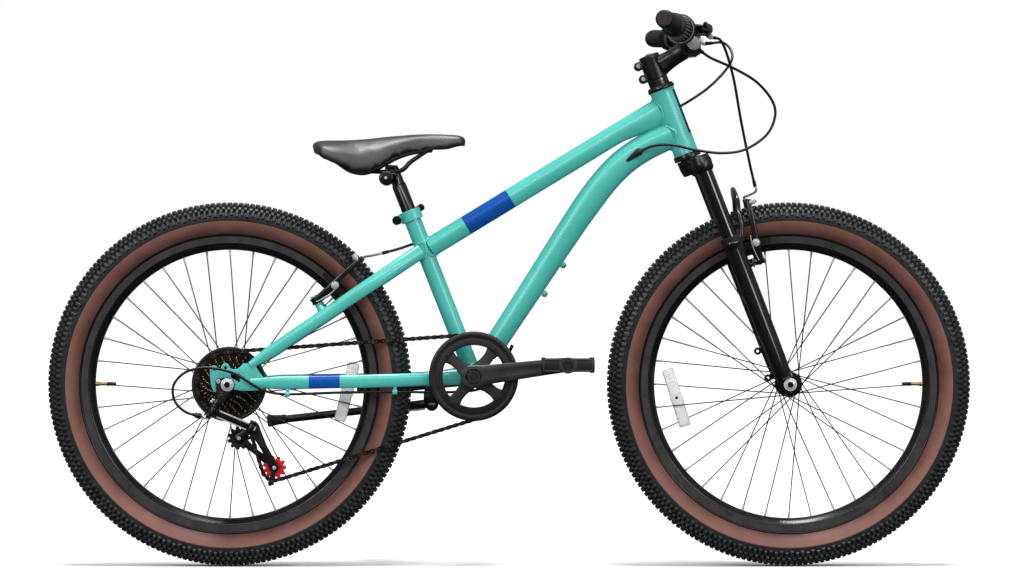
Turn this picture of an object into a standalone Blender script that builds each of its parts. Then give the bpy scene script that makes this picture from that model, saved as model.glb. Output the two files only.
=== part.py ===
"""Fat-tyred bicycle with a suspension fork, rim brakes and a seven-speed drive.

Metres, +Z up, +X towards the front wheel, -Y towards the chain side.
The origin is on the ground, midway between the axles, on the centre plane.
"""

import math

import bmesh
import bpy
from mathutils import Matrix, Vector

# Fits
GAP = 0.0003
RUNNING_GAP = 0.0006

# Wheels
WHEELBASE = 0.984
RIM_RADIUS = 0.2627
TYRE_HEIGHT = 0.0573
TYRE_RADIUS = RIM_RADIUS + TYRE_HEIGHT
TYRE_WIDTH = 0.074
TYRE_WALL = 0.0040
RIM_DEPTH = 0.0264
RIM_WIDTH = 0.038
RIM_WALL = 0.0025
RIM_BEAD_DEPTH = 0.0095
SPOKES_PER_SIDE = 18
SPOKE_RADIUS = 0.0010
SPOKE_LAP = 0.0017
SPOKE_TWIST = math.radians(60)
WHEEL_STEPS = 32
HUB_STEPS = 12
AXLE_RADIUS = 0.005
FLANGE_RADIUS = 0.0225
FRONT_HUB_WIDTH = 0.100
REAR_HUB_WIDTH = 0.135
FRONT_FLANGE_HALF = 0.034
REAR_FLANGE_LEFT = 0.034
REAR_FLANGE_RIGHT = 0.0205

# Frame
STAY_CLEARANCE = 0.1103
CHAINSTAY_LENGTH = TYRE_RADIUS + STAY_CLEARANCE
BOTTOM_BRACKET_RISE = 0.0145
SHELL_RADIUS = 0.020
SHELL_WIDTH = 0.073
SHELL_WALL = 0.003
SEAT_ANGLE = math.radians(68.5)
SEAT_TUBE_LENGTH = 0.310
SEAT_TUBE_RADIUS = 0.015
HEAD_ANGLE = math.radians(68.9)
HEAD_TUBE_LENGTH = 0.119
HEAD_TUBE_RADIUS = 0.0218
HEADSET_RADIUS = 0.0245
HEADSET_HEIGHT = 0.010
TUBE_WALL = 0.0018
TOP_TUBE_RADIUS = 0.0175
TOP_TUBE_SEAT_HEIGHT = 0.2365
TOP_TUBE_HEAD_HEIGHT = 0.095
DOWN_TUBE_HEAD_HEIGHT = 0.040
DOWN_TUBE_LOW_ANGLE = math.radians(56)
DOWN_TUBE_HIGH_ANGLE = math.radians(22)
DOWN_TUBE_LOW_REACH = 0.42
DOWN_TUBE_HIGH_REACH = 0.15
DOWN_TUBE_DEPTH = 0.0475
DOWN_TUBE_LOW_DEPTH = 0.0365
DOWN_TUBE_WIDTH = 0.043
BOSS_SHARES = (0.178, 0.253)
BOSS_RISE = 0.003
BOSS_RADIUS = 0.006
CHAINSTAY_DEPTH = 0.0235
CHAINSTAY_WIDTH = 0.016
SEATSTAY_DEPTH = 0.026
SEATSTAY_WIDTH = 0.017
SEATSTAY_SEAT_HEIGHT = 0.2400
STAY_TYRE_GAP = 0.006
DROPOUT_THICKNESS = 0.006

# Fork
FORK_CLEARANCE = 0.1236
FORK_LENGTH = TYRE_RADIUS + FORK_CLEARANCE
FORK_RAKE = 0.0218
FORK_TRAVEL = 0.050
LEG_SPACING = 0.120
LEG_OFFSET = 0.016
LEG_RADIUS = 0.0165
STANCHION_RADIUS = 0.014
STEERER_RADIUS = 0.0143
CROWN_DROP = 0.013
CROWN_HEIGHT = 0.028
SEAL_DROP = 0.165
ARCH_TOP = -0.092
ARCH_FORWARD = 0.050
FORK_TAB = 0.008

# Cockpit
STEM_HEIGHT = 0.040
STEM_STACK = 0.141
STEM_LENGTH = 0.074
STEM_RISE = 0.012
BAR_RADIUS = 0.0127
BAR_HALF_WIDTH = 0.310
BAR_RISE = 0.0155
BAR_BACK_SLOPE = 0.21
BAR_UP_SLOPE = 0.06
BAR_CLAMP_HALF = 0.024
GRIP_RADIUS = 0.0158
GRIP_LENGTH = 0.092
LEFT_GRIP_LENGTH = 0.126
TWIST_LENGTH = 0.052
TWIST_RADIUS = 0.0190
TWIST_GAP = 0.008
LEVER_INSETS = {-1: 0.190, 1: 0.160}
LEVER_REACH = 0.056

# Seat
SEATPOST_RADIUS = 0.0127
SEATPOST_SHOW = 0.085
SEATPOST_INSERT = 0.115
SADDLE_LENGTH = 0.273
SADDLE_WIDTH = 0.158
SADDLE_SETBACK = 0.1388
SADDLE_RISE = 0.0525
RAIL_RADIUS = 0.0035
RAIL_SPACING = 0.044
CLAMP_LENGTH = 0.018
CAM_RADIUS = 0.0065

# Drive
CHAIN_PITCH = 0.0127
CHAIN_HALF_DEPTH = 0.0043
CHAIN_WIDTH = 0.007
CHAIN_GAP = 0.0010
CHAINRING_TEETH = 36
FREEWHEEL_TEETH = (28, 24, 22, 20, 18, 16, 14)
JOCKEY_TEETH = 11
JOCKEY_WIDTH = 0.008
CHAINLINE = 0.052
LOW_COG_Y = 0.030
COG_SPACING = 0.005
COG_THICKNESS = 0.002
FREEWHEEL_BORE = 0.0165
CRANK_LENGTH = 0.165
CRANK_ANGLE = math.radians(7.3)
CRANK_THICKNESS = 0.013
CRANK_BOSS_Y = 0.068
CRANK_BOSS_RADIUS = 0.0172
CRANK_PEDAL_Y = 0.083
SPINDLE_RADIUS = 0.0085
GUARD_RADIUS = 0.0785
RING_BORE = 0.0545
SPIDER_ANGLE = math.radians(-38)
PEDAL_LENGTH = 0.092
PEDAL_WIDTH = 0.088
PEDAL_THICKNESS = 0.020
PROTECTOR_RADIUS = 0.066
LINK_HALF = 0.0075

# Brakes
BRAKE_PIVOT_Y = 0.041
BRAKE_BELOW_RIM = 0.040
BRAKE_DROP = FORK_LENGTH - RIM_RADIUS + BRAKE_BELOW_RIM
BRAKE_FORWARD = 0.046
STAY_FOOT_RADIUS = 0.1057
REAR_BRAKE_ALONG = RIM_RADIUS - STAY_FOOT_RADIUS
REAR_BRAKE_OUT = 0.024
BRAKE_ARM_LENGTH = 0.106
BRAKE_ARM_THICKNESS = 0.009
PAD_GAP = 0.002
PAD_LENGTH = 0.058
PAD_HEIGHT = 0.010

# Cables
CABLE_RADIUS = 0.0025
CABLE_SIDES = 2

# Kickstand
STAND_LENGTH = 0.294
STAND_RADIUS = 0.007
STAND_SPLAY = math.radians(6.5)

PAINT = ((0.20, 0.72, 0.62), 0.30, 0.0)
BLACK_METAL = ((0.02, 0.02, 0.022), 0.35, 0.6)
BLACK_PLASTIC = ((0.025, 0.025, 0.027), 0.45, 0.0)
BLACK_RUBBER = ((0.03, 0.03, 0.03), 0.80, 0.0)
BRIGHT_METAL = ((0.70, 0.70, 0.72), 0.28, 1.0)
BROWN_STEEL = ((0.22, 0.15, 0.10), 0.45, 0.8)
RED_PLASTIC = ((0.75, 0.03, 0.05), 0.35, 0.0)
LEATHER = ((0.03, 0.03, 0.032), 0.50, 0.0)

ACROSS = Vector((0, 1, 0))
UPRIGHT = Vector((0, 0, 1))
SMOOTH_ANGLE = math.radians(35)

FRONT_AXLE = Vector((WHEELBASE / 2, 0, TYRE_RADIUS))
REAR_AXLE = Vector((-WHEELBASE / 2, 0, TYRE_RADIUS))
BOTTOM_BRACKET = REAR_AXLE + Vector((
    math.sqrt(CHAINSTAY_LENGTH ** 2 - BOTTOM_BRACKET_RISE ** 2), 0, BOTTOM_BRACKET_RISE))
SEAT_UP = Vector((-math.cos(SEAT_ANGLE), 0, math.sin(SEAT_ANGLE)))
SEAT_FORWARD = Vector((math.sin(SEAT_ANGLE), 0, math.cos(SEAT_ANGLE)))
STEER_UP = Vector((-math.cos(HEAD_ANGLE), 0, math.sin(HEAD_ANGLE)))
STEER_FORWARD = Vector((math.sin(HEAD_ANGLE), 0, math.cos(HEAD_ANGLE)))
HEAD_FOOT = FRONT_AXLE + STEER_UP * FORK_LENGTH - STEER_FORWARD * FORK_RAKE

# Where the hanger bolt, the derailleur's pivots and the kickstand's hinge lie.
HANGER_BOLT = REAR_AXLE + Vector((-0.0097, 0, -0.0216))
LINK_START = REAR_AXLE + Vector((-0.025, -0.088, -0.046))
LINK_END = REAR_AXLE + Vector((0.040, -0.052, -0.076))
LINK_RUN = (LINK_END - LINK_START).normalized()
LINK_AXIS = Vector((-LINK_RUN.z, 0, LINK_RUN.x)).normalized()
LINK_BACK = LINK_AXIS.cross(LINK_RUN)
CAGE_PIVOT = REAR_AXLE + Vector((0.044, -0.040, -0.076))
UPPER_JOCKEY = REAR_AXLE + Vector((0.0179, -LOW_COG_Y, -0.0944))
LOWER_JOCKEY = REAR_AXLE + Vector((0.0802, -LOW_COG_Y, -0.1464))
STAND_PIVOT = BOTTOM_BRACKET + Vector((-0.0748, 0.050, -0.0495))
TWIST_INNER = BAR_HALF_WIDTH - GRIP_LENGTH - TWIST_GAP - TWIST_LENGTH
LEVER_Y = {sign: BAR_HALF_WIDTH - inset for sign, inset in LEVER_INSETS.items()}
GRIP_LENGTHS = {-1: GRIP_LENGTH, 1: LEFT_GRIP_LENGTH}

BODIES = {}


def steer(along, forward, side=0.0):
    """A point measured from the foot of the head tube, up the steering axis and forward of it."""
    return HEAD_FOOT + STEER_UP * along + STEER_FORWARD * forward + ACROSS * side


def seat(along, forward, side=0.0):
    """A point measured from the crank axis, up the seat tube and forward of it."""
    return BOTTOM_BRACKET + SEAT_UP * along + SEAT_FORWARD * forward + ACROSS * side


def around(centre, radius, angle, side=0.0):
    """A point at an angle round an axle, counted from +X towards +Z."""
    return centre + Vector((radius * math.cos(angle), side, radius * math.sin(angle)))


def pitch_radius(teeth):
    """The radius on which a sprocket carries its chain."""
    return CHAIN_PITCH / (2 * math.sin(math.pi / teeth))


def bore(radius, sides):
    """The corner radius of a faceted hole whose flats clear a bar of a radius."""
    return (radius + GAP) / math.cos(math.pi / sides)


def clear_scene():
    """Empties the file of objects."""
    for item in list(bpy.data.objects):
        bpy.data.objects.remove(item)


def add_body(name, pivot, parent=None):
    """Adds the empty that a moving group hangs from, on its joint's axis."""
    empty = bpy.data.objects.new(name + "_axis", None)
    bpy.context.scene.collection.objects.link(empty)
    start = Vector(pivot)
    if parent:
        empty.parent = BODIES[parent][0]
        start = start - BODIES[parent][1]
    empty.location = start
    BODIES[name] = (empty, Vector(pivot))


def make_object(name, shape, finish):
    """Turns a bmesh into an object with its own material."""
    bmesh.ops.recalc_face_normals(shape, faces=shape.faces)
    mesh = bpy.data.meshes.new(name)
    shape.to_mesh(mesh)
    shape.free()
    mesh.shade_smooth()
    mesh.set_sharp_from_angle(angle=SMOOTH_ANGLE)
    item = bpy.data.objects.new(name, mesh)
    colour, roughness, metallic = finish
    paint = bpy.data.materials.new(name + "_finish")
    paint.use_nodes = True
    shader = paint.node_tree.nodes["Principled BSDF"]
    shader.inputs["Base Color"].default_value = (*colour, 1)
    shader.inputs["Roughness"].default_value = roughness
    shader.inputs["Metallic"].default_value = metallic
    mesh.materials.append(paint)
    return item


def combine(item, shapes, operation):
    """Adds hidden solids to an object, or cuts them out of it."""
    group = bpy.data.collections.new(item.name + "_" + operation.lower())
    bpy.context.scene.collection.children.link(group)
    for number, shape in enumerate(shapes):
        helper = make_object(f"{group.name}_{number}", shape, BRIGHT_METAL)
        helper.hide_render = True
        helper.display_type = "WIRE"
        group.objects.link(helper)
    modifier = item.modifiers.new(operation.title(), "BOOLEAN")
    modifier.operation = operation
    modifier.operand_type = "COLLECTION"
    modifier.collection = group
    modifier.solver = "EXACT"


def node(name, body, finish, shapes, cuts=()):
    """Makes one named piece from a solid, what is joined to it and what is cut from it."""
    base = shapes[0]
    empty, pivot = BODIES[body]
    bmesh.ops.translate(base, verts=base.verts, vec=-pivot)
    item = make_object(name, base, finish)
    bpy.context.scene.collection.objects.link(item)
    item.parent = empty
    if len(shapes) > 1:
        combine(item, shapes[1:], "UNION")
    if cuts:
        combine(item, list(cuts), "DIFFERENCE")
    return item


def facing(origin, direction, forward=None):
    """The placement that carries +Z to a direction and, if given, +X towards forward."""
    up = Vector(direction).normalized()
    if forward is None:
        turn = UPRIGHT.rotation_difference(up).to_matrix().to_4x4()
        return Matrix.Translation(origin) @ turn
    front = (Vector(forward) - up * up.dot(Vector(forward))).normalized()
    left = up.cross(front)
    turn = Matrix((front, left, up)).transposed().to_4x4()
    return Matrix.Translation(origin) @ turn


def rod(start, end, radius, sides=16, end_radius=None):
    """A round bar between two points."""
    shape = bmesh.new()
    run = Vector(end) - Vector(start)
    last = radius if end_radius is None else end_radius
    bmesh.ops.create_cone(
        shape, cap_ends=True, segments=sides, radius1=radius, radius2=last, depth=run.length,
        matrix=facing((Vector(start) + Vector(end)) / 2, run))
    return shape


def block(origin, size, direction=UPRIGHT, forward=(1, 0, 0)):
    """A box centred on a point, with its height along a direction."""
    shape = bmesh.new()
    bmesh.ops.create_cube(shape, size=1.0)
    bmesh.ops.scale(shape, verts=shape.verts, vec=size)
    bmesh.ops.transform(shape, verts=shape.verts, matrix=facing(origin, direction, forward))
    return shape


def turned(profile, origin, direction=ACROSS, steps=24, closed=True):
    """A solid turned about an axis from points of (radius, distance along)."""
    shape = bmesh.new()
    points = [shape.verts.new((radius, 0, along)) for radius, along in profile]
    pairs = list(zip(points, points[1:]))
    if closed:
        pairs.append((points[-1], points[0]))
    edges = [shape.edges.new(pair) for pair in pairs]
    bmesh.ops.spin(
        shape, geom=points + edges, cent=(0, 0, 0), axis=(0, 0, 1), dvec=(0, 0, 0),
        angle=2 * math.pi, steps=steps, use_merge=True)
    bmesh.ops.remove_doubles(shape, verts=shape.verts, dist=1e-6)
    bmesh.ops.transform(shape, verts=shape.verts, matrix=facing(origin, direction))
    return shape


def ring_solid(inner, outer, low, high, origin, direction=ACROSS, steps=24):
    """A plain ring between two radii and two heights."""
    profile = [(inner, low), (outer, low), (outer, high), (inner, high)]
    return turned(profile, origin, direction, steps)


def plate(outline, low, high):
    """A flat plate in the plane of the wheels, from an outline of (x, z)."""
    shape = bmesh.new()
    corners = [shape.verts.new((x, low, z)) for x, z in outline]
    face = shape.faces.new(corners)
    extruded = bmesh.ops.extrude_face_region(shape, geom=[face])["geom"]
    moved = [part for part in extruded if isinstance(part, bmesh.types.BMVert)]
    bmesh.ops.translate(shape, verts=moved, vec=(0, high - low, 0))
    return shape


def smooth_route(points, count):
    """Evenly spaced points along a smooth curve through the given ones."""
    ends = [2 * points[0] - points[1]] + list(points) + [2 * points[-1] - points[-2]]
    fine = []
    parts = 24
    for i in range(1, len(ends) - 2):
        before, start, end, after = ends[i - 1:i + 3]
        for k in range(parts):
            t = k / parts
            fine.append(0.5 * (
                2 * start + (end - before) * t + (2 * before - 5 * start + 4 * end - after) * t ** 2
                + (3 * start - before - 3 * end + after) * t ** 3))
    fine.append(ends[-2].copy())
    travelled = [0.0]
    for a, b in zip(fine, fine[1:]):
        travelled.append(travelled[-1] + (b - a).length)
    route = []
    at = 0
    for k in range(count):
        goal = travelled[-1] * k / (count - 1)
        while at < len(fine) - 2 and travelled[at + 1] < goal:
            at += 1
        share = (goal - travelled[at]) / (travelled[at + 1] - travelled[at])
        route.append(fine[at].lerp(fine[at + 1], min(max(share, 0.0), 1.0)))
    return route


def loft(route, widths, depths, sides=16):
    """A bar along a route; its sections are ellipses, wide across and deep in the wheels' plane."""
    shape = bmesh.new()
    rings = []
    for k, point in enumerate(route):
        before = route[max(k - 1, 0)]
        after = route[min(k + 1, len(route) - 1)]
        along = (after - before).normalized()
        across = (ACROSS - along * along.y).normalized()
        up = along.cross(across)
        verts = []
        for n in range(sides):
            angle = 2 * math.pi * n / sides
            offset = across * (math.cos(angle) * widths[k] / 2)
            offset = offset + up * (math.sin(angle) * depths[k] / 2)
            verts.append(shape.verts.new(point + offset))
        rings.append([shape.edges.new((verts[n], verts[(n + 1) % sides])) for n in range(sides)])
    join_rings(shape, rings)
    return shape


def join_rings(shape, rings):
    """Skins a row of rings and closes its two ends."""
    for a, b in zip(rings, rings[1:]):
        bmesh.ops.bridge_loops(shape, edges=a + b)
    for ring in (rings[0], rings[-1]):
        bmesh.ops.contextual_create(shape, geom=ring)


def fade(start, end, count):
    """Evenly stepped values between two sizes."""
    return [start + (end - start) * k / (count - 1) for k in range(count)]


def add_bodies():
    """Lays out the moving groups and their axes."""
    add_body("frame", (0, 0, 0))
    add_body("steering", HEAD_FOOT, "frame")
    add_body("fork_lowers", steer(-SEAL_DROP, LEG_OFFSET), "steering")
    add_body("front_wheel", FRONT_AXLE, "fork_lowers")
    add_body("rear_wheel", REAR_AXLE, "frame")
    add_body("freewheel", REAR_AXLE, "frame")
    add_body("crank", BOTTOM_BRACKET, "frame")
    for side, sign in (("right", -1), ("left", 1)):
        add_body("pedal_" + side, pedal_axle(sign), "crank")
        add_body("front_brake_" + side, front_brake_pivot(sign), "fork_lowers")
        add_body("rear_brake_" + side, rear_brake_pivot(sign), "frame")
        add_body("brake_lever_" + side, lever_pivot(sign), "steering")
    add_body("shifter", bar_point(-TWIST_INNER), "steering")
    add_body("seatpost", seat(SEAT_TUBE_LENGTH, 0), "frame")
    add_body("seat_lever", seat_lever_pivot(), "frame")
    add_body("derailleur_link", LINK_START, "frame")
    add_body("derailleur_knuckle", LINK_END, "derailleur_link")
    add_body("derailleur_cage", CAGE_PIVOT, "derailleur_knuckle")
    add_body("jockey_upper", UPPER_JOCKEY, "derailleur_cage")
    add_body("jockey_lower", LOWER_JOCKEY, "derailleur_cage")
    add_body("kickstand", STAND_PIVOT, "frame")


# Wheels

def tyre_profile():
    """The tyre's section: a tread and two walls round the air space, open towards the rim."""
    half = TYRE_WIDTH / 2
    bead = RIM_RADIUS - RIM_BEAD_DEPTH
    height = TYRE_HEIGHT
    bead_half = RIM_WIDTH / 2 - RIM_WALL - GAP
    outer = [
        (bead, bead_half), (RIM_RADIUS + height * 0.04, bead_half),
        (RIM_RADIUS + height * 0.30, half * 0.90), (RIM_RADIUS + height * 0.55, half),
        (RIM_RADIUS + height * 0.84, half * 0.84), (TYRE_RADIUS, half * 0.32)]
    inner = [
        (bead, bead_half - TYRE_WALL), (RIM_RADIUS + height * 0.60, half - TYRE_WALL * 1.8),
        (TYRE_RADIUS - TYRE_WALL * 1.8, half * 0.40)]
    left = outer + [(r, -y) for r, y in reversed(outer)]
    right = [(r, -y) for r, y in inner] + [(r, y) for r, y in reversed(inner)]
    return left + right


def rim_profile():
    """The rim's section: a nosed box below a channel that holds the tyre."""
    half = RIM_WIDTH / 2
    foot = RIM_RADIUS - RIM_DEPTH
    floor = RIM_RADIUS - RIM_BEAD_DEPTH - RUNNING_GAP
    edge = [
        (foot, half * 0.45), (foot + RIM_DEPTH * 0.40, half * 0.94), (RIM_RADIUS, half),
        (RIM_RADIUS, half - RIM_WALL), (floor, half - RIM_WALL)]
    return [(r, -y) for r, y in reversed(edge)] + edge


def hub_profile(left_flange, right_flange, left_end, right_end, shoulder):
    """A hub shell's section, from its right end to its left end, round the axle."""
    inside = bore(AXLE_RADIUS, HUB_STEPS)
    thickness = 0.0015
    waist = FLANGE_RADIUS * 0.55
    return [
        (inside, -right_end), (shoulder, -right_end), (shoulder, -right_flange - thickness),
        (FLANGE_RADIUS, -right_flange - thickness), (FLANGE_RADIUS, -right_flange + thickness),
        (waist, -right_flange + 4 * thickness), (waist, left_flange - 4 * thickness),
        (FLANGE_RADIUS, left_flange - thickness), (FLANGE_RADIUS, left_flange + thickness),
        (shoulder * 0.9, left_flange + thickness), (shoulder * 0.8, left_end), (inside, left_end)]


def spoke_shapes(centre, flange, sign, start_angle):
    """The crossed spokes of one side, from the hub's flange to the rim."""
    rim_radius = (RIM_RADIUS - RIM_DEPTH) * math.cos(math.pi / WHEEL_STEPS) - RUNNING_GAP
    shapes = []
    for k in range(SPOKES_PER_SIDE):
        angle = start_angle + 2 * math.pi * k / SPOKES_PER_SIDE
        lead = SPOKE_TWIST if k % 2 else -SPOKE_TWIST
        level = flange + (SPOKE_LAP if k % 2 else -SPOKE_LAP)
        inner = around(centre, FLANGE_RADIUS - 0.002, angle + lead, sign * level)
        outer = around(centre, rim_radius, angle, sign * RIM_WIDTH * 0.10)
        shapes.append(rod(inner, outer, SPOKE_RADIUS, 3))
    return shapes


def add_wheel(name, centre, flanges, ends, shoulder):
    """Adds one wheel's tyre, rim and spoked hub."""
    tyre = turned(tyre_profile(), centre, ACROSS, WHEEL_STEPS)
    node(name + "_tyre", name + "_wheel", BLACK_RUBBER, [tyre])
    rim = turned(rim_profile(), centre, ACROSS, WHEEL_STEPS)
    node(name + "_rim", name + "_wheel", BLACK_METAL, [rim])
    left_flange, right_flange = flanges
    hub = turned(hub_profile(left_flange, right_flange, *ends, shoulder), centre, ACROSS,
                 HUB_STEPS)
    step = 2 * math.pi / SPOKES_PER_SIDE
    spokes = spoke_shapes(centre, left_flange, 1, 0.0)
    spokes = spokes + spoke_shapes(centre, right_flange, -1, step / 2)
    node(name + "_hub_and_spokes", name + "_wheel", BLACK_METAL, [hub] + spokes)


def axle_profile(hub_width, tab, half_length):
    """A wheel axle with its locknuts inside the dropouts and its nuts outside them."""
    nut = 0.0085
    inner = hub_width / 2 - GAP
    outer = hub_width / 2 + tab + GAP
    half = [
        (AXLE_RADIUS, inner - 0.0022), (nut, inner - 0.0022), (nut, inner), (AXLE_RADIUS, inner),
        (AXLE_RADIUS, outer), (nut, outer), (nut, outer + 0.008), (AXLE_RADIUS, outer + 0.008),
        (AXLE_RADIUS, half_length), (0, half_length)]
    return [(r, -y) for r, y in reversed(half)] + half


# Frame

def dropout_outline(hanger):
    """The dropout plate's edge round the rear axle, with the gear hanger below it if asked."""
    points = [
        (0.062, 0.014), (0.050, 0.034), (0.028, 0.037), (0.012, 0.031), (0.0075, 0.0385),
        (-0.0035, 0.0400), (-0.0090, 0.031), (-0.024, 0.018), (-0.0285, 0.0085),
        (-0.0285, 0.0055), (0.0, 0.0055)]
    slot = [around(Vector((0, 0, 0)), bore(AXLE_RADIUS, 9), math.radians(a))
            for a in (60, 20, -20, -60)]
    points = points[:-1] + [(-0.004, 0.0055)] + [(p.x, p.z) for p in slot]
    points += [(-0.004, -0.0055), (-0.020, -0.0055)]
    if hanger:
        points += [(-0.0215, -0.020), (-0.0170, -0.0295), (-0.0085, -0.0325), (0.001, -0.027)]
    else:
        points += [(-0.016, -0.013)]
    points += [(0.010, -0.016), (0.040, -0.010), (0.062, -0.009)]
    return [(REAR_AXLE.x + x, REAR_AXLE.z + z) for x, z in points]


def dropout_levels(sign):
    """The inner and outer faces of a dropout plate."""
    inner = REAR_HUB_WIDTH / 2
    levels = (sign * inner, sign * (inner + DROPOUT_THICKNESS))
    return min(levels), max(levels)


def chainstay_route(sign):
    """The centre line of a chainstay, bowed round the tyre and drawn in behind the cranks."""
    beside = TYRE_WIDTH / 2 + STAY_TYRE_GAP + CHAINSTAY_WIDTH / 2
    plate_y = (REAR_HUB_WIDTH + DROPOUT_THICKNESS) / 2
    front = BOTTOM_BRACKET.x
    rise = BOTTOM_BRACKET.z
    points = [
        (REAR_AXLE.x + 0.040, plate_y, REAR_AXLE.z + 0.003),
        (REAR_AXLE.x + 0.150, plate_y - 0.006, rise - 0.010),
        (front - 0.150, beside, rise - 0.0075),
        (front - 0.082, CHAINLINE - CHAIN_WIDTH / 2 - CHAINSTAY_WIDTH / 2 - 0.0020, rise - 0.005),
        (front, SHELL_WIDTH / 2 - CHAINSTAY_WIDTH / 2 - 0.004, rise)]
    return smooth_route([Vector((x, sign * y, z)) for x, y, z in points], 9)


def seatstay_route(sign):
    """The centre line of a seatstay, from the dropout past the tyre to the seat tube."""
    top = seat(SEATSTAY_SEAT_HEIGHT, 0)
    foot = REAR_AXLE + Vector((0.040, 0, 0.034))
    run = top - foot
    beside = TYRE_WIDTH / 2 + STAY_TYRE_GAP + SEATSTAY_WIDTH / 2
    plate_y = (REAR_HUB_WIDTH + DROPOUT_THICKNESS) / 2
    sides = ((0.0, plate_y), (0.25, plate_y - 0.006), (0.50, beside), (0.66, beside - 0.001),
             (0.84, beside * 0.66), (1.0, SEATSTAY_WIDTH / 2 + 0.002))
    points = [foot + run * share + ACROSS * (sign * y) for share, y in sides]
    return smooth_route(points, 9)


def seat_tube_shape(grow=0.0):
    """The seat tube; grown, it is the cutter that clears its neighbours."""
    outer = SEAT_TUBE_RADIUS + grow
    length = SEAT_TUBE_LENGTH + grow
    if grow:
        return rod(seat(0, 0), seat(length, 0), outer, 16)
    return ring_solid(bore(SEATPOST_RADIUS, 16), outer, 0.0, length, BOTTOM_BRACKET, SEAT_UP, 16)


def head_tube_profile():
    """The head tube with its two pressed headset cups."""
    inside = HEAD_TUBE_RADIUS - 0.0045
    seat_bore = bore(STEERER_RADIUS, 20)
    top = HEAD_TUBE_LENGTH
    cup = HEADSET_HEIGHT
    return [
        (seat_bore, -cup), (HEADSET_RADIUS, -cup), (HEADSET_RADIUS, 0), (HEAD_TUBE_RADIUS, 0),
        (HEAD_TUBE_RADIUS, top), (HEADSET_RADIUS, top), (HEADSET_RADIUS - 0.002, top + cup),
        (seat_bore, top + cup), (seat_bore, top), (inside, top - 0.004),
        (inside, 0.004), (seat_bore, 0)]


def top_tube_shape(grow=0.0):
    """The round top tube; grown, it clears its neighbours, and shrunk, it is its own bore."""
    start = seat(TOP_TUBE_SEAT_HEIGHT, 0)
    end = steer(TOP_TUBE_HEAD_HEIGHT, 0)
    size = 2 * (TOP_TUBE_RADIUS + grow)
    return loft([start, end], [size, size], [size, size], 16)


def down_tube_curve(share):
    """The down tube's centre line: straight from the crank axis, then bent in to the head tube."""
    start = BOTTOM_BRACKET
    end = steer(DOWN_TUBE_HEAD_HEIGHT, 0)
    low = Vector((math.cos(DOWN_TUBE_LOW_ANGLE), 0, math.sin(DOWN_TUBE_LOW_ANGLE)))
    high = Vector((math.cos(DOWN_TUBE_HIGH_ANGLE), 0, math.sin(DOWN_TUBE_HIGH_ANGLE)))
    first = start + low * DOWN_TUBE_LOW_REACH
    second = end - high * DOWN_TUBE_HIGH_REACH
    back = 1 - share
    return (start * back ** 3 + first * (3 * back * back * share)
            + second * (3 * back * share * share) + end * share ** 3)


def down_tube_shape(grow=0.0):
    """The deep, curved down tube, flattened where it meets the crank shell."""
    count = 11
    shares = fade(0.0, 1.0, count)
    route = [down_tube_curve(share) for share in shares]
    depths = [DOWN_TUBE_LOW_DEPTH + (DOWN_TUBE_DEPTH - DOWN_TUBE_LOW_DEPTH) * min(1, s / 0.45)
              + 2 * grow for s in shares]
    widths = [DOWN_TUBE_WIDTH + 2 * grow for _ in shares]
    return loft(route, widths, depths, 16)


def boss_place(share):
    """Where a bottle boss stands: the down tube's centre there and the way out, down and forward."""
    centre = down_tube_curve(share)
    along = (down_tube_curve(share + 0.01) - centre).normalized()
    return centre, ACROSS.cross(along)


def shell_profile():
    """The crank shell with the two bearing cups screwed into its ends."""
    half = SHELL_WIDTH / 2
    inside = SHELL_RADIUS - SHELL_WALL
    cup = 0.002
    seat_bore = bore(SPINDLE_RADIUS, 16)
    edge = [(inside, half - 0.012), (seat_bore, half - 0.010), (seat_bore, half + cup),
            (SHELL_RADIUS - 0.001, half + cup), (SHELL_RADIUS, half)]
    return edge + [(r, -y) for r, y in reversed(edge)]


def shell_clearance():
    """The cutter that clears the crank shell."""
    half = SHELL_WIDTH / 2 + 0.004
    middle = BOTTOM_BRACKET
    return rod(middle - ACROSS * half, middle + ACROSS * half, SHELL_RADIUS + GAP, 16)


def head_clearance():
    """The cutter that clears the head tube."""
    return rod(steer(-0.02, 0), steer(HEAD_TUBE_LENGTH + 0.02, 0), HEAD_TUBE_RADIUS + GAP, 20)


def add_front_triangle():
    """Adds the head, top, down and seat tubes and the crank shell."""
    head = turned(head_tube_profile(), HEAD_FOOT, STEER_UP, 20)
    node("head_tube", "frame", PAINT, [head])
    cuts = [top_tube_shape(-TUBE_WALL), seat_tube_shape(GAP), head_clearance()]
    node("top_tube", "frame", PAINT, [top_tube_shape()], cuts)
    bosses = []
    for share in BOSS_SHARES:
        centre, out = boss_place(share)
        bosses.append(rod(centre + out * (DOWN_TUBE_DEPTH / 2 - 0.004),
                          centre + out * (DOWN_TUBE_DEPTH / 2 + BOSS_RISE), BOSS_RADIUS, 12))
    cuts = [down_tube_shape(-TUBE_WALL), top_tube_shape(GAP), head_clearance(), shell_clearance(),
            seat_tube_shape(GAP)]
    node("down_tube", "frame", PAINT, [down_tube_shape()] + bosses, cuts)
    node("seat_tube", "frame", PAINT, [seat_tube_shape()], [shell_clearance()])
    shell = turned(shell_profile(), BOTTOM_BRACKET, ACROSS, 16)
    node("bottom_bracket_shell", "frame", PAINT, [shell])


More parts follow.
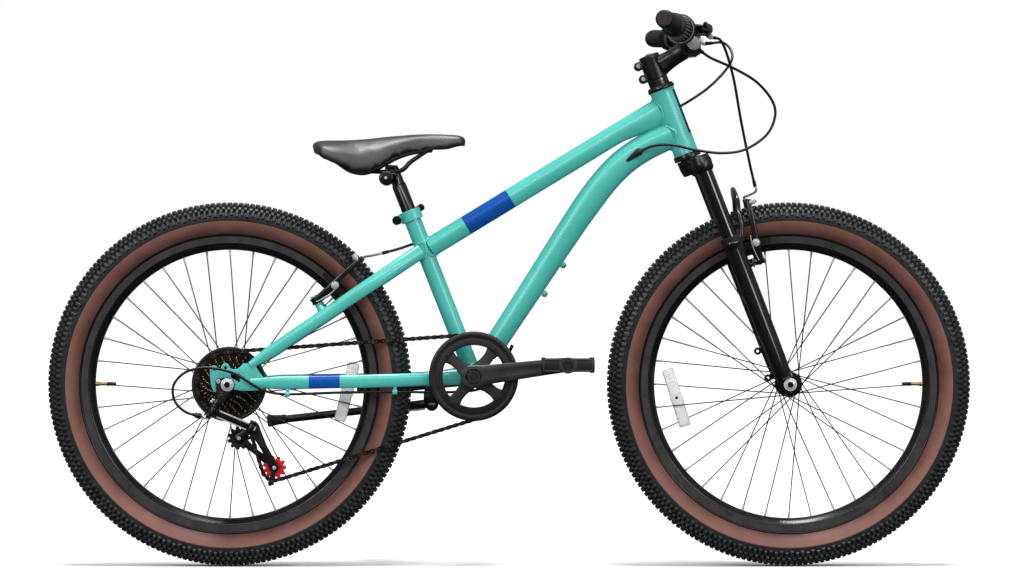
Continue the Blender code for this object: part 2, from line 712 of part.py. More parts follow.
def add_rear_triangle():
    """Adds the chainstays with their dropouts, and the seatstays with their brake bosses."""
    for side, sign in (("right", -1), ("left", 1)):
        low, high = dropout_levels(sign)
        route = chainstay_route(sign)
        count = len(route)
        depths = fade(CHAINSTAY_DEPTH, CHAINSTAY_DEPTH, count - 3) + fade(
            CHAINSTAY_DEPTH * 1.1, CHAINSTAY_DEPTH * 1.3, 3)
        stay = loft(route, fade(CHAINSTAY_WIDTH * 0.8, CHAINSTAY_WIDTH, count), depths, 12)
        dropout = plate(dropout_outline(sign < 0), low, high)
        window = plate([(REAR_AXLE.x + x, REAR_AXLE.z + z)
                        for x, z in ((0.014, 0.004), (0.024, 0.004), (0.020, 0.018))],
                       low - 0.002, high + 0.002)
        cuts = [shell_clearance(), seat_tube_shape(GAP), down_tube_shape(GAP), window]
        if sign > 0:
            cuts.append(stand_bracket_shape(GAP))
        node("chainstay_" + side, "frame", PAINT, [stay, dropout], cuts)

        route = seatstay_route(sign)
        stay = loft(route, fade(SEATSTAY_WIDTH * 0.85, SEATSTAY_WIDTH, 9),
                    fade(SEATSTAY_DEPTH * 0.8, SEATSTAY_DEPTH, 9), 12)
        pivot = rear_brake_pivot(sign)
        out = seatstay_axes()[2]
        root = rod(rear_boss_root(sign), pivot - out * 0.009, 0.0075, 10, 0.0070)
        boss = rod(pivot - out * 0.012, pivot, 0.0065, 10)
        shapes = [stay, root, boss]
        if sign < 0:
            bridge = seatstay_route(sign)[7]
            far = seatstay_route(-sign)[7]
            inset = ACROSS * (SEATSTAY_WIDTH / 2 + GAP)
            shapes.append(rod(bridge, far - inset, 0.0065, 12))
        slot = plate(dropout_outline(sign < 0), low - GAP, high + GAP)
        cuts = [seat_tube_shape(GAP), top_tube_shape(GAP), slot,
                loft(chainstay_route(sign), [CHAINSTAY_WIDTH + 2 * GAP] * 9,
                     [CHAINSTAY_DEPTH + 2 * GAP] * 9, 12)]
        if sign > 0:
            cuts.append(block(seat(SEATSTAY_SEAT_HEIGHT, 0, -0.05), (0.3, 0.1 - 2 * GAP, 0.3)))
        else:
            cuts.append(block(seat(SEATSTAY_SEAT_HEIGHT, 0, 0.05), (0.1, 0.1, 0.1)))
        node("seatstay_" + side, "frame", PAINT, shapes, cuts)


# Seat

def seat_lever_pivot():
    """The far end of the seat clamp's bolt, behind the seat tube."""
    return seat(SEAT_TUBE_LENGTH - 0.006, -SEAT_TUBE_RADIUS - 0.011, 0.020)


def add_seat():
    """Adds the seat clamp and its lever, the post with its head, the rails and the saddle."""
    collar_low = SEAT_TUBE_LENGTH - 0.016
    collar = ring_solid(bore(SEAT_TUBE_RADIUS, 16), SEAT_TUBE_RADIUS + 0.0045, collar_low,
                        SEAT_TUBE_LENGTH + 0.003, BOTTOM_BRACKET, SEAT_UP, 16)
    pivot = seat_lever_pivot()
    near = pivot - ACROSS * 0.040
    ears = block((near + pivot) / 2 + SEAT_FORWARD * 0.004, (0.015, 0.020, 0.015), SEAT_UP,
                 SEAT_FORWARD)
    bolt = rod(near, pivot - ACROSS * (CAM_RADIUS + GAP), 0.003, 10)
    nut = rod(near - ACROSS * 0.001, near + ACROSS * 0.008, 0.0065, 12)
    hole = rod(seat(collar_low - 0.01, 0), seat(SEAT_TUBE_LENGTH + 0.02, 0),
               bore(SEAT_TUBE_RADIUS, 16), 16)
    node("seat_clamp", "frame", PAINT, [collar, ears, bolt, nut], [hole])

    cam = rod(pivot - SEAT_UP * 0.0065, pivot + SEAT_UP * 0.0065, CAM_RADIUS, 16)
    tip = seat(SEAT_TUBE_LENGTH + 0.002, SEAT_TUBE_RADIUS + 0.012, 0.026)
    middle = seat(SEAT_TUBE_LENGTH - 0.004, 0, 0.030)
    handle = smooth_route([pivot + ACROSS * 0.003, middle, tip], 6)
    lever = loft_round(handle, fade(0.0065, 0.0045, 6), 8)
    node("seat_clamp_lever", "seat_lever", BLACK_METAL, [cam, lever])

    foot = SEAT_TUBE_LENGTH - SEATPOST_INSERT
    crown = SEAT_TUBE_LENGTH + SEATPOST_SHOW
    neck = SEATPOST_RADIUS - 0.0016
    profile = [(0, foot), (SEATPOST_RADIUS, foot), (SEATPOST_RADIUS, crown - 0.035),
               (neck, crown - 0.031), (neck, crown), (0, crown)]
    post = turned(profile, BOTTOM_BRACKET, SEAT_UP, 16, closed=False)
    head = clamp_centre()
    half = RAIL_SPACING / 2 + RAIL_RADIUS + 0.004
    barrel = rod(head - ACROSS * (half + 0.003), head + ACROSS * (half + 0.003), 0.0115, 12)
    grooves = [rod(head + rail_offset(sign) - rail_direction() * 0.03,
                   head + rail_offset(sign) + rail_direction() * 0.03, bore(RAIL_RADIUS, 8), 8)
               for sign in (-1, 1)]
    yoke = block(head, (CLAMP_LENGTH, 2 * half, 0.020), rail_direction().cross(ACROSS) * -1,
                 rail_direction())
    node("seatpost", "seatpost", BLACK_METAL, [post, barrel, yoke], grooves)

    rails = rail_route()
    node("saddle_rails", "seatpost", BLACK_METAL, [loft_round(rails, [RAIL_RADIUS] * len(rails), 8)])
    node("saddle", "seatpost", LEATHER, [saddle_shape()], [saddle_channel()])


def clamp_centre():
    """The middle of the saddle clamp on top of the post."""
    return seat(SEAT_TUBE_LENGTH + SEATPOST_SHOW - 0.006, -0.004)


def saddle_tail():
    """The saddle's back end, at the height of its top."""
    return clamp_centre() + Vector((-SADDLE_SETBACK, 0, SADDLE_RISE))


def rail_direction():
    """The way that the saddle's rails run through the clamp."""
    return Vector((math.cos(math.radians(3)), 0, math.sin(math.radians(3))))


def rail_offset(sign):
    """From the clamp's middle to the middle of one rail."""
    return Vector((0, sign * RAIL_SPACING / 2, 0))


def rail_route():
    """The bent wire that carries the saddle: back end, clamp, nose and the same way back."""
    head = clamp_centre()
    along = rail_direction()
    tail = saddle_tail()
    tail_x = tail.x + 0.045
    nose_x = tail.x + SADDLE_LENGTH * 0.80
    under = tail.z - 0.0305
    half = []
    half.append(Vector((tail_x, RAIL_SPACING / 2 + 0.008, under)))
    half.append(Vector((tail_x + 0.022, RAIL_SPACING / 2 + 0.002, head.z + 0.004)))
    half.append(head + rail_offset(1) - along * (CLAMP_LENGTH / 2 + 0.012))
    half.append(head + rail_offset(1) + along * (CLAMP_LENGTH / 2 + 0.008))
    half.append(Vector((nose_x - 0.030, RAIL_SPACING * 0.40, under - 0.010)))
    half.append(Vector((nose_x - 0.004, RAIL_SPACING * 0.25, under + 0.004)))
    other = [Vector((p.x, -p.y, p.z)) for p in reversed(half)]
    nose = Vector((nose_x + 0.002, 0, under + 0.006))
    route = smooth_route(half[:3], 4) + smooth_route(half[3:] + [nose] + other[:3], 11)
    return route + smooth_route(other[3:], 4)


def saddle_section(share):
    """Half width, top, edge depth and crown of the saddle at a share of its length from the tail."""
    nose = 0.019
    wide = SADDLE_WIDTH / 2
    spread = (1 - share) ** 1.35
    swell = math.sin(math.pi * min(share / 0.30, 1.0) / 2) ** 0.5
    half = nose + (wide - nose) * max(0.0, (spread - 0.10) / 0.90) ** 0.95
    half = half * (0.60 + 0.40 * swell)
    if share > 0.94:
        half = half * math.sqrt(max(0.05, 1 - ((share - 0.94) / 0.064) ** 2))
    dip = -0.012 * math.sin(math.pi * share) + 0.009 * share
    drop = 0.020 + 0.026 * math.exp(-((share - 0.33) / 0.20) ** 2)
    return half, saddle_tail().z + dip, drop


def saddle_shape():
    """The saddle: a crowned cushion, wide at the tail, whose sides draw in and hang as skirts."""
    shape = bmesh.new()
    stations = 16
    across = 10
    rings = []
    for k in range(stations):
        share = k / (stations - 1)
        half, top, drop = saddle_section(share)
        end = min(1.0, math.sqrt(max(0.0, 1 - (1 - share / 0.06) ** 2)) + 0.25) if share < 0.06 else 1.0
        half = half * end
        x = saddle_tail().x + SADDLE_LENGTH * share
        verts = []
        for n in range(across + 1):
            angle = math.pi * n / across
            y = half * math.cos(angle)
            bulge = math.sin(angle) ** 0.55
            verts.append(shape.verts.new((x, y, top - drop * end * (1 - bulge))))
        tuck = half * 0.86
        for y in (-tuck, -tuck * 0.4, tuck * 0.4, tuck):
            lift = 0.006 if abs(y) < tuck * 0.9 else 0.0
            floor = top - drop * end - 0.004 + lift * end
            floor = min(floor, top - 0.012 * end)
            verts.append(shape.verts.new((x, y, floor)))
        rings.append([shape.edges.new((verts[n], verts[(n + 1) % len(verts)]))
                      for n in range(len(verts))])
    join_rings(shape, rings)
    return shape


def saddle_channel():
    """The hollow under the saddle that the rails and the clamp sit in."""
    tail = saddle_tail()
    low = tail.z - 0.08
    high = tail.z - 0.0265
    middle = Vector((tail.x + SADDLE_LENGTH * 0.44, 0, (low + high) / 2))
    return block(middle, (SADDLE_LENGTH * 0.80, RAIL_SPACING + 0.030, high - low))


def loft_round(route, radii, sides=8):
    """A round bar of changing radius along any route, turning its sections with the bends."""
    shape = bmesh.new()
    along = (route[1] - route[0]).normalized()
    side = along.orthogonal().normalized()
    rings = []
    for k, point in enumerate(route):
        before = route[max(k - 1, 0)]
        after = route[min(k + 1, len(route) - 1)]
        heading = (after - before).normalized()
        side = (side - heading * side.dot(heading)).normalized()
        up = heading.cross(side)
        verts = []
        for n in range(sides):
            angle = 2 * math.pi * n / sides
            offset = side * math.cos(angle) + up * math.sin(angle)
            verts.append(shape.verts.new(point + offset * radii[k]))
        rings.append([shape.edges.new((verts[n], verts[(n + 1) % sides])) for n in range(sides)])
    join_rings(shape, rings)
    return shape


# Fork and steering

def add_fork():
    """Adds the crown with its steerer, the stanchions, the lower legs and the front axle."""
    top = STEM_STACK + STEM_HEIGHT - 0.002
    crown_top = -HEADSET_HEIGHT - GAP * 2
    crown_foot = crown_top - CROWN_HEIGHT
    profile = [(0, crown_foot), (0.019, crown_foot), (0.0215, crown_top - 0.004),
               (0.0215, crown_top), (STEERER_RADIUS, crown_top), (STEERER_RADIUS, top), (0, top)]
    steerer = turned(profile, HEAD_FOOT, STEER_UP, 16, closed=False)
    half = LEG_SPACING / 2
    shapes = [steerer]
    for sign in (-1, 1):
        arm = block(steer(crown_top - 0.015, LEG_OFFSET / 2 + 0.002, sign * half / 2),
                    (0.036, half, 0.022), STEER_UP, STEER_FORWARD)
        cup = rod(steer(crown_foot - 0.004, LEG_OFFSET, sign * half),
                  steer(crown_top - 0.002, LEG_OFFSET, sign * half), LEG_RADIUS + 0.002, 16)
        end = steer(-SEAL_DROP - FORK_TRAVEL * 2.6, LEG_OFFSET, sign * half)
        stanchion = rod(steer(crown_top - 0.010, LEG_OFFSET, sign * half), end, STANCHION_RADIUS, 14)
        shapes += [arm, cup, stanchion]
    node("fork_crown", "steering", BLACK_METAL, shapes)

    shapes = []
    cuts = []
    reach = FORK_LENGTH + 0.010
    for sign in (-1, 1):
        line = [(SEAL_DROP, LEG_RADIUS + 0.0025), (SEAL_DROP + 0.012, LEG_RADIUS + 0.0025),
                (SEAL_DROP + 0.016, LEG_RADIUS), (reach - 0.035, LEG_RADIUS - 0.001),
                (reach, LEG_RADIUS - 0.0025)]
        profile = [(0, -line[0][0])] + [(r, -drop) for drop, r in line] + [(0, -line[-1][0])]
        foot = HEAD_FOOT + STEER_FORWARD * LEG_OFFSET + ACROSS * (sign * half)
        shapes.append(turned(profile, foot, STEER_UP, 16, closed=False))
        depth = SEAL_DROP + FORK_TRAVEL * 3.8
        cuts.append(rod(steer(-SEAL_DROP + 0.01, LEG_OFFSET, sign * half),
                        steer(-depth, LEG_OFFSET, sign * half), bore(STANCHION_RADIUS, 14), 14))
        tab_in = FRONT_HUB_WIDTH / 2
        tab_out = tab_in + FORK_TAB
        tab = FRONT_AXLE + ACROSS * (sign * (tab_in + tab_out) / 2)
        shapes.append(rod(tab - ACROSS * FORK_TAB * 0.5, tab + ACROSS * FORK_TAB * 0.5, 0.016, 14))
        outside = FRONT_AXLE + ACROSS * (sign * (tab_out + 0.02))
        cuts.append(rod(outside - ACROSS * 0.02, outside + ACROSS * 0.02, 0.0135, 12))
        inside = FRONT_AXLE + ACROSS * (sign * (tab_in - 0.02))
        cuts.append(rod(inside - ACROSS * 0.02, inside + ACROSS * 0.02, 0.028, 16))
        cuts.append(block(tab - STEER_UP * 0.02, (2 * (AXLE_RADIUS + GAP), 0.03, 0.04), STEER_UP,
                          STEER_FORWARD))
        cuts.append(rod(tab - ACROSS * 0.02, tab + ACROSS * 0.02, bore(AXLE_RADIUS, 10), 10))
        pivot = front_brake_pivot(sign)
        root = steer(-BRAKE_DROP, LEG_OFFSET, sign * (half - 0.004))
        shapes.append(rod(root, pivot - STEER_FORWARD * 0.012, 0.0095, 10, 0.0070))
        shapes.append(rod(pivot - STEER_FORWARD * 0.015, pivot, 0.0065, 10))
    arch_low = -SEAL_DROP - 0.020
    arch_high = ARCH_TOP - 0.012
    for sign in (-1, 1):
        post = loft_round([steer(arch_low, LEG_OFFSET + 0.006, sign * half),
                           steer(-SEAL_DROP + 0.005, LEG_OFFSET + 0.024, sign * half),
                           steer(-SEAL_DROP + 0.045, ARCH_FORWARD, sign * (half - 0.006)),
                           steer(arch_high, ARCH_FORWARD + 0.003, sign * (half * 0.62)),
                           steer(ARCH_TOP, ARCH_FORWARD + 0.004, sign * half * 0.20),
                           steer(ARCH_TOP + 0.001, ARCH_FORWARD + 0.004, -sign * 0.004)],
                          [0.0095, 0.0095, 0.0085, 0.0085, 0.0085, 0.0085], 8)
        shapes.append(post)
    for drop in (0.372, 0.423):
        mount = steer(-drop, LEG_OFFSET - 0.020, half - 0.006)
        shapes.append(block(mount, (0.024, 0.007, 0.016), STEER_UP, STEER_FORWARD))
    node("fork_lowers", "fork_lowers", BLACK_METAL, shapes, cuts)
    axle = turned(axle_profile(FRONT_HUB_WIDTH, FORK_TAB, 0.073), FRONT_AXLE, ACROSS, 8, False)
    node("front_axle", "fork_lowers", BRIGHT_METAL, [axle])


def bar_point(y, forward=0.0, up=0.0):
    """A point on the handlebar's centre line, or off it by a distance forward and up."""
    reach = abs(y)
    clamp = steer(STEM_STACK + STEM_HEIGHT / 2 + STEM_RISE, STEM_LENGTH)
    rise = BAR_RISE * smooth_step((reach - BAR_CLAMP_HALF) / 0.055)
    out = max(0.0, reach - BAR_CLAMP_HALF - 0.02)
    return clamp + Vector((-BAR_BACK_SLOPE * out + forward, y, rise + BAR_UP_SLOPE * out + up))


def smooth_step(value):
    """Eases from 0 to 1."""
    value = min(max(value, 0.0), 1.0)
    return value * value * (3 - 2 * value)


def bar_direction(sign):
    """The way that a grip's axis points, outwards."""
    return (bar_point(sign * BAR_HALF_WIDTH) - bar_point(sign * 0.20)).normalized()


def bar_sleeve(inner_y, outer_y, profile, steps=16):
    """A sleeve on the bar; the profile gives radii at shares of its length, outwards."""
    sign = 1 if outer_y > 0 else -1
    start = bar_point(inner_y)
    length = (bar_point(outer_y) - start).length
    inside = bore(BAR_RADIUS, steps)
    points = [(inside, 0)] + [(r, share * length) for share, r in profile] + [(inside, length)]
    return turned(points, start, bar_direction(sign), steps)


def lever_pivot(sign):
    """The pivot of a brake lever, in front of the bar."""
    return bar_point(sign * (LEVER_Y[sign] - 0.004), 0.034, 0.002)


def barrel_end(sign):
    """The end of a brake lever's cable adjuster, where its cable leaves."""
    return bar_point(sign * (LEVER_Y[sign] - 0.030), 0.042, 0.002)


def add_cockpit():
    """Adds the stem, the bar, its grips, the twist shifter and the brake levers."""
    clamp_low = STEM_STACK
    clamp_high = STEM_STACK + STEM_HEIGHT
    bar_middle = bar_point(0)
    sleeve = ring_solid(bore(STEERER_RADIUS, 16), STEERER_RADIUS + 0.0048, clamp_low, clamp_high,
                        HEAD_FOOT, STEER_UP, 16)
    neck_start = steer((clamp_low + clamp_high) / 2, STEERER_RADIUS + 0.002)
    neck = rod(neck_start, neck_start.lerp(bar_middle, 0.86), 0.0165, 16, 0.0150)
    outer = BAR_RADIUS + 0.0055
    barrel = rod(bar_middle - ACROSS * BAR_CLAMP_HALF, bar_middle + ACROSS * BAR_CLAMP_HALF,
                 outer, 16)
    pinch = block(steer(clamp_low + STEM_HEIGHT / 2, -STEERER_RADIUS - 0.006), (0.014, 0.013, 0.034),
                  STEER_UP, STEER_FORWARD)
    bores = [rod(steer(clamp_low - 0.01, 0), steer(clamp_high + 0.01, 0), bore(STEERER_RADIUS, 16), 16),
             rod(bar_middle - ACROSS * 0.05, bar_middle + ACROSS * 0.05, bore(BAR_RADIUS, 12), 12)]
    node("stem", "steering", BLACK_METAL, [sleeve, neck, barrel, pinch], bores)

    spacer_low = HEAD_TUBE_LENGTH + HEADSET_HEIGHT + GAP
    spacer = ring_solid(bore(STEERER_RADIUS, 16), STEERER_RADIUS + 0.004, spacer_low,
                        STEM_STACK - GAP, HEAD_FOOT, STEER_UP, 16)
    node("steerer_spacer", "steering", BLACK_METAL, [spacer])

    reaches = [-BAR_HALF_WIDTH, -0.20, -0.10, -0.078, -0.056, -0.040, -BAR_CLAMP_HALF]
    route = [bar_point(y) for y in reaches + [-y for y in reversed(reaches)]]
    bar = loft_round(route, [BAR_RADIUS] * len(route), 12)
    node("handlebar", "steering", BLACK_METAL, [bar])

    for side, sign in (("right", -1), ("left", 1)):
        inner = sign * (BAR_HALF_WIDTH - GRIP_LENGTHS[sign])
        outer_y = sign * (BAR_HALF_WIDTH + 0.0003)
        flange = GRIP_RADIUS + 0.0055
        profile = [(0.0, flange), (0.04, flange), (0.06, GRIP_RADIUS), (0.92, GRIP_RADIUS),
                   (0.95, GRIP_RADIUS + 0.0015), (1.0, GRIP_RADIUS + 0.0005)]
        node("grip_" + side, "steering", BLACK_RUBBER, [bar_sleeve(inner, outer_y, profile)])

        clamp_y = sign * LEVER_Y[sign]
        start = clamp_y - sign * 0.010
        ring = bar_sleeve(start, clamp_y + sign * 0.010,
                          [(0.0, BAR_RADIUS + 0.005), (1.0, BAR_RADIUS + 0.005)], 12)
        hood = block(bar_point(clamp_y - sign * 0.001, 0.0265, 0.002), (0.029, 0.018, 0.016))
        barrel = rod(bar_point(clamp_y - sign * 0.008, 0.034, 0.002), barrel_end(sign), 0.0055, 12)
        hole = rod(bar_point(start - sign * 0.03), bar_point(clamp_y + sign * 0.03),
                   bore(BAR_RADIUS, 12), 12)
        mouth = block(lever_pivot(sign) + Vector((0.010, sign * 0.010, 0)), (0.040, 0.036, 0.0104))
        node("lever_bracket_" + side, "steering", BLACK_METAL, [ring, hood, barrel], [hole, mouth])

        pivot = lever_pivot(sign)
        root = rod(pivot - UPRIGHT * 0.0034, pivot + UPRIGHT * 0.0034, 0.0075, 12)
        reach = LEVER_Y[sign]
        blade = smooth_route([
            pivot, bar_point(sign * (reach + 0.022), LEVER_REACH - 0.006, 0.0),
            bar_point(sign * (reach + 0.060), LEVER_REACH, -0.001),
            bar_point(sign * (reach + 0.098), LEVER_REACH - 0.002, -0.002),
            bar_point(sign * (reach + 0.118), LEVER_REACH + 0.004, -0.002)], 8)
        radii = [0.0033, 0.0040, 0.0045, 0.0045, 0.0045, 0.0045, 0.0045, 0.0050]
        node("brake_lever_" + side, "brake_lever_" + side, BLACK_METAL,
             [loft_round(blade, radii, 8), root])

    profile = [(0.0, TWIST_RADIUS - 0.002), (0.10, TWIST_RADIUS), (0.78, TWIST_RADIUS - 0.001),
               (0.84, TWIST_RADIUS + 0.005), (1.0, TWIST_RADIUS + 0.005)]
    ring = bar_sleeve(-TWIST_INNER, -(TWIST_INNER + TWIST_LENGTH), profile)
    node("twist_shifter", "shifter", BLACK_RUBBER, [ring])


# Brakes

def front_brake_pivot(sign):
    """The front end of the fork's brake boss."""
    return steer(-BRAKE_DROP, BRAKE_FORWARD, sign * BRAKE_PIVOT_Y)


def rear_brake_pivot(sign):
    """The outer end of the seatstay's brake boss."""
    foot, along, out = seatstay_axes()
    return foot + along * REAR_BRAKE_ALONG + out * REAR_BRAKE_OUT + ACROSS * (sign * BRAKE_PIVOT_Y)


def seatstay_axes():
    """The seatstay's start, its direction and the direction square to it, away from the wheel."""
    foot = REAR_AXLE + Vector((0.040, 0, 0.034))
    along = (seat(SEATSTAY_SEAT_HEIGHT, 0) - foot).normalized()
    return foot, along, Vector((-along.z, 0, along.x))


def rear_boss_root(sign):
    """The point inside the seatstay that the brake boss grows from."""
    foot, along, out = seatstay_axes()
    side = sign * (TYRE_WIDTH / 2 + STAY_TYRE_GAP + SEATSTAY_WIDTH / 2)
    return foot + along * REAR_BRAKE_ALONG + out * 0.002 + ACROSS * side


def brake_arm(pivot, centre, out, sign):
    """One brake arm with its pad: out is the way that the boss points."""
    radial = (pivot - centre)
    radial.y = 0
    up = (radial - out * radial.dot(out)).normalized()
    shift = ACROSS * (sign * 0.006)
    start = pivot + out * 0.006
    end = start + up * BRAKE_ARM_LENGTH + out * 0.018 + shift
    eye = rod(pivot + out * (RUNNING_GAP * 2), pivot + out * 0.013, 0.0085, 12)
    arm = loft_round([start + ACROSS * (sign * 0.001), start.lerp(end, 0.35) + shift,
                      start.lerp(end, 0.7) + shift, end], [0.0060, 0.0055, 0.0050, 0.0048], 8)
    reach = start + up * pad_height(pivot, centre, up) + out * 0.0035
    inner_y = sign * (RIM_WIDTH / 2 + PAD_GAP)
    stud = rod(Vector((reach.x, inner_y + sign * 0.004, reach.z)),
               reach + ACROSS * (sign * 0.016), 0.0042, 10)
    tangent = ACROSS.cross(Vector((reach.x - centre.x, 0, reach.z - centre.z))).normalized()
    pad_middle = Vector((reach.x, inner_y + sign * 0.0045, reach.z))
    pad = block(pad_middle, (PAD_LENGTH, 0.009, PAD_HEIGHT), tangent.cross(ACROSS), tangent)
    return [arm, eye, stud, pad]


def pad_height(pivot, centre, up):
    """How far along the arm the brake track's middle lies."""
    track = RIM_RADIUS - RIM_DEPTH * 0.28
    along = pivot - centre
    along.y = 0
    lift = along.dot(up)
    aside = (along - up * lift).length + 0.008
    return math.sqrt(track ** 2 - aside ** 2) - lift


def add_brakes():
    """Adds the front and rear pairs of brake arms."""
    out = seatstay_axes()[2]
    for side, sign in (("right", -1), ("left", 1)):
        pivot = front_brake_pivot(sign)
        front = brake_arm(pivot, FRONT_AXLE, STEER_FORWARD, sign)
        node("front_brake_arm_" + side, "front_brake_" + side, BLACK_METAL, front)
        pivot = rear_brake_pivot(sign)
        rear = brake_arm(pivot, REAR_AXLE, out, sign)
        node("rear_brake_arm_" + side, "rear_brake_" + side, BLACK_METAL, rear)


# Drive

def pedal_axle(sign):
    """The point where a pedal's axle leaves its crank."""
    angle = CRANK_ANGLE if sign < 0 else CRANK_ANGLE + math.pi
    return around(BOTTOM_BRACKET, CRANK_LENGTH, angle, sign * (CRANK_PEDAL_Y + CRANK_THICKNESS / 2))


def add_cranks():
    """Adds the spindle, the chainring, its guard, both cranks and the pedals."""
    spindle_half = CRANK_BOSS_Y + CRANK_THICKNESS / 2 - 0.004
    spindle = rod(BOTTOM_BRACKET - ACROSS * spindle_half, BOTTOM_BRACKET + ACROSS * spindle_half,
                  SPINDLE_RADIUS, 12)
    node("bottom_bracket_spindle", "crank", BRIGHT_METAL, [spindle])
    ring_edge = pitch_radius(CHAINRING_TEETH) - CHAIN_HALF_DEPTH - CHAIN_GAP
    ring_low = -CHAINLINE - 0.001
    ring = ring_solid(RING_BORE, ring_edge, ring_low, ring_low + 0.002, BOTTOM_BRACKET, ACROSS, 32)
    node("chainring", "crank", BLACK_METAL, [ring])
    guard_high = ring_low - 0.005
    guard = ring_solid(RING_BORE, GUARD_RADIUS, guard_high - 0.0025, guard_high, BOTTOM_BRACKET,
                       ACROSS, 32)
    node("chainguard", "crank", BLACK_PLASTIC, [guard])
    for side, sign in (("right", -1), ("left", 1)):
        inner = CRANK_BOSS_Y - CRANK_THICKNESS / 2
        outer = CRANK_BOSS_Y + CRANK_THICKNESS / 2
        boss_foot = SHELL_WIDTH / 2 + 0.016
        boss = rod(BOTTOM_BRACKET + ACROSS * (sign * boss_foot),
                   BOTTOM_BRACKET + ACROSS * (sign * outer), CRANK_BOSS_RADIUS, 14)
        angle = CRANK_ANGLE if sign < 0 else CRANK_ANGLE + math.pi
        heading = Vector((math.cos(angle), 0, math.sin(angle)))
        width = heading.cross(ACROSS)
        arm = bmesh.new()
        rings = []
        for reach, middle, half in ((0.0, CRANK_BOSS_Y, 0.0150), (0.045, CRANK_BOSS_Y, 0.0135),
                                    (0.110, CRANK_PEDAL_Y - 0.003, 0.0115),
                                    (CRANK_LENGTH, CRANK_PEDAL_Y, 0.0110),
                                    (CRANK_LENGTH + 0.009, CRANK_PEDAL_Y, 0.0070)):
            centre = BOTTOM_BRACKET + heading * reach + ACROSS * (sign * middle)
            thick = CRANK_THICKNESS / 2
            corners = ((-1, -0.6), (-0.6, -1), (0.6, -1), (1, -0.6), (1, 0.6), (0.6, 1),
                       (-0.6, 1), (-1, 0.6))
            verts = [arm.verts.new(centre + width * (half * a) + ACROSS * (thick * b))
                     for a, b in corners]
            rings.append([arm.edges.new((verts[n], verts[(n + 1) % 8])) for n in range(8)])
        join_rings(arm, rings)
        shapes = [boss, arm]
        if sign < 0:
            reach = RING_BORE + 0.009
            level = ring_low - 0.0005 - 0.002
            for quarter in range(4):
                turn = SPIDER_ANGLE + quarter * math.pi / 2
                out = Vector((math.cos(turn), 0, math.sin(turn)))
                middle = BOTTOM_BRACKET + out * (reach / 2) + ACROSS * level
                shapes.append(block(middle, (reach, 0.018, 0.004), ACROSS, out))
        hole = rod(BOTTOM_BRACKET + ACROSS * (sign * (inner - 0.03)),
                   BOTTOM_BRACKET + ACROSS * (sign * (spindle_half + GAP)),
                   bore(SPINDLE_RADIUS, 12), 12)
        stub = pedal_axle(sign)
        shapes.append(rod(stub - ACROSS * (sign * 0.004), stub + ACROSS * (sign * 0.072), 0.0045, 12))
        node("crank_" + side, "crank", BLACK_METAL, shapes, [hole])
        add_pedal(side, sign, stub)


def add_pedal(side, sign, stub):
    """Adds a pedal: a barrel on the axle with a cage plate in front of it and behind it."""
    start = stub + ACROSS * (sign * 0.004)
    end = start + ACROSS * (sign * PEDAL_WIDTH)
    middle = (start + end) / 2
    barrel = rod(start, end, 0.0110, 12)
    shapes = [barrel]
    for edge in (-1, 1):
        bar = middle + Vector((edge * (PEDAL_LENGTH / 2 - 0.004), 0, 0))
        shapes.append(block(bar, (0.008, PEDAL_WIDTH * 0.96, PEDAL_THICKNESS)))
    for place in (0.10, 0.88):
        bar = start.lerp(end, place)
        shapes.append(block(bar, (PEDAL_LENGTH - 0.004, 0.009, PEDAL_THICKNESS * 0.85)))
    hole = rod(stub - ACROSS * (sign * 0.01), start + ACROSS * (sign * 0.0695), bore(0.0045, 12), 12)
    node("pedal_" + side, "pedal_" + side, BLACK_PLASTIC, shapes, [hole])


def add_freewheel():
    """Adds the seven stepped sprockets and the clear disc that guards the spokes."""
    inside = bore(FREEWHEEL_BORE, 14)
    profile = []
    for k, teeth in enumerate(FREEWHEEL_TEETH):
        radius = pitch_radius(teeth) - CHAIN_HALF_DEPTH - CHAIN_GAP
        level = -LOW_COG_Y - COG_SPACING * k
        valley = radius - 0.010
        profile.append((radius, level + COG_THICKNESS / 2))
        profile.append((radius, level - COG_THICKNESS / 2))
        if k < len(FREEWHEEL_TEETH) - 1:
            step = pitch_radius(FREEWHEEL_TEETH[k + 1]) - CHAIN_HALF_DEPTH - 0.005
            profile.append((min(valley, step), level - COG_THICKNESS / 2))
            profile.append((min(valley, step), level - COG_SPACING + COG_THICKNESS / 2))
    last = profile[-1][1] - 0.001
    profile += [(0.021, profile[-1][1]), (0.021, last), (inside, last), (inside, profile[0][1])]
    node("freewheel", "freewheel", BROWN_STEEL, [turned(profile, REAR_AXLE, ACROSS, 14)])
    level = -(REAR_FLANGE_RIGHT + LOW_COG_Y - CHAIN_WIDTH / 2) / 2 - 0.0008
    disc = ring_solid(bore(FREEWHEEL_BORE, 24), PROTECTOR_RADIUS, level - 0.0008, level + 0.0008,
                      REAR_AXLE, ACROSS, 24)
    node("spoke_protector", "rear_wheel", BLACK_PLASTIC, [disc])


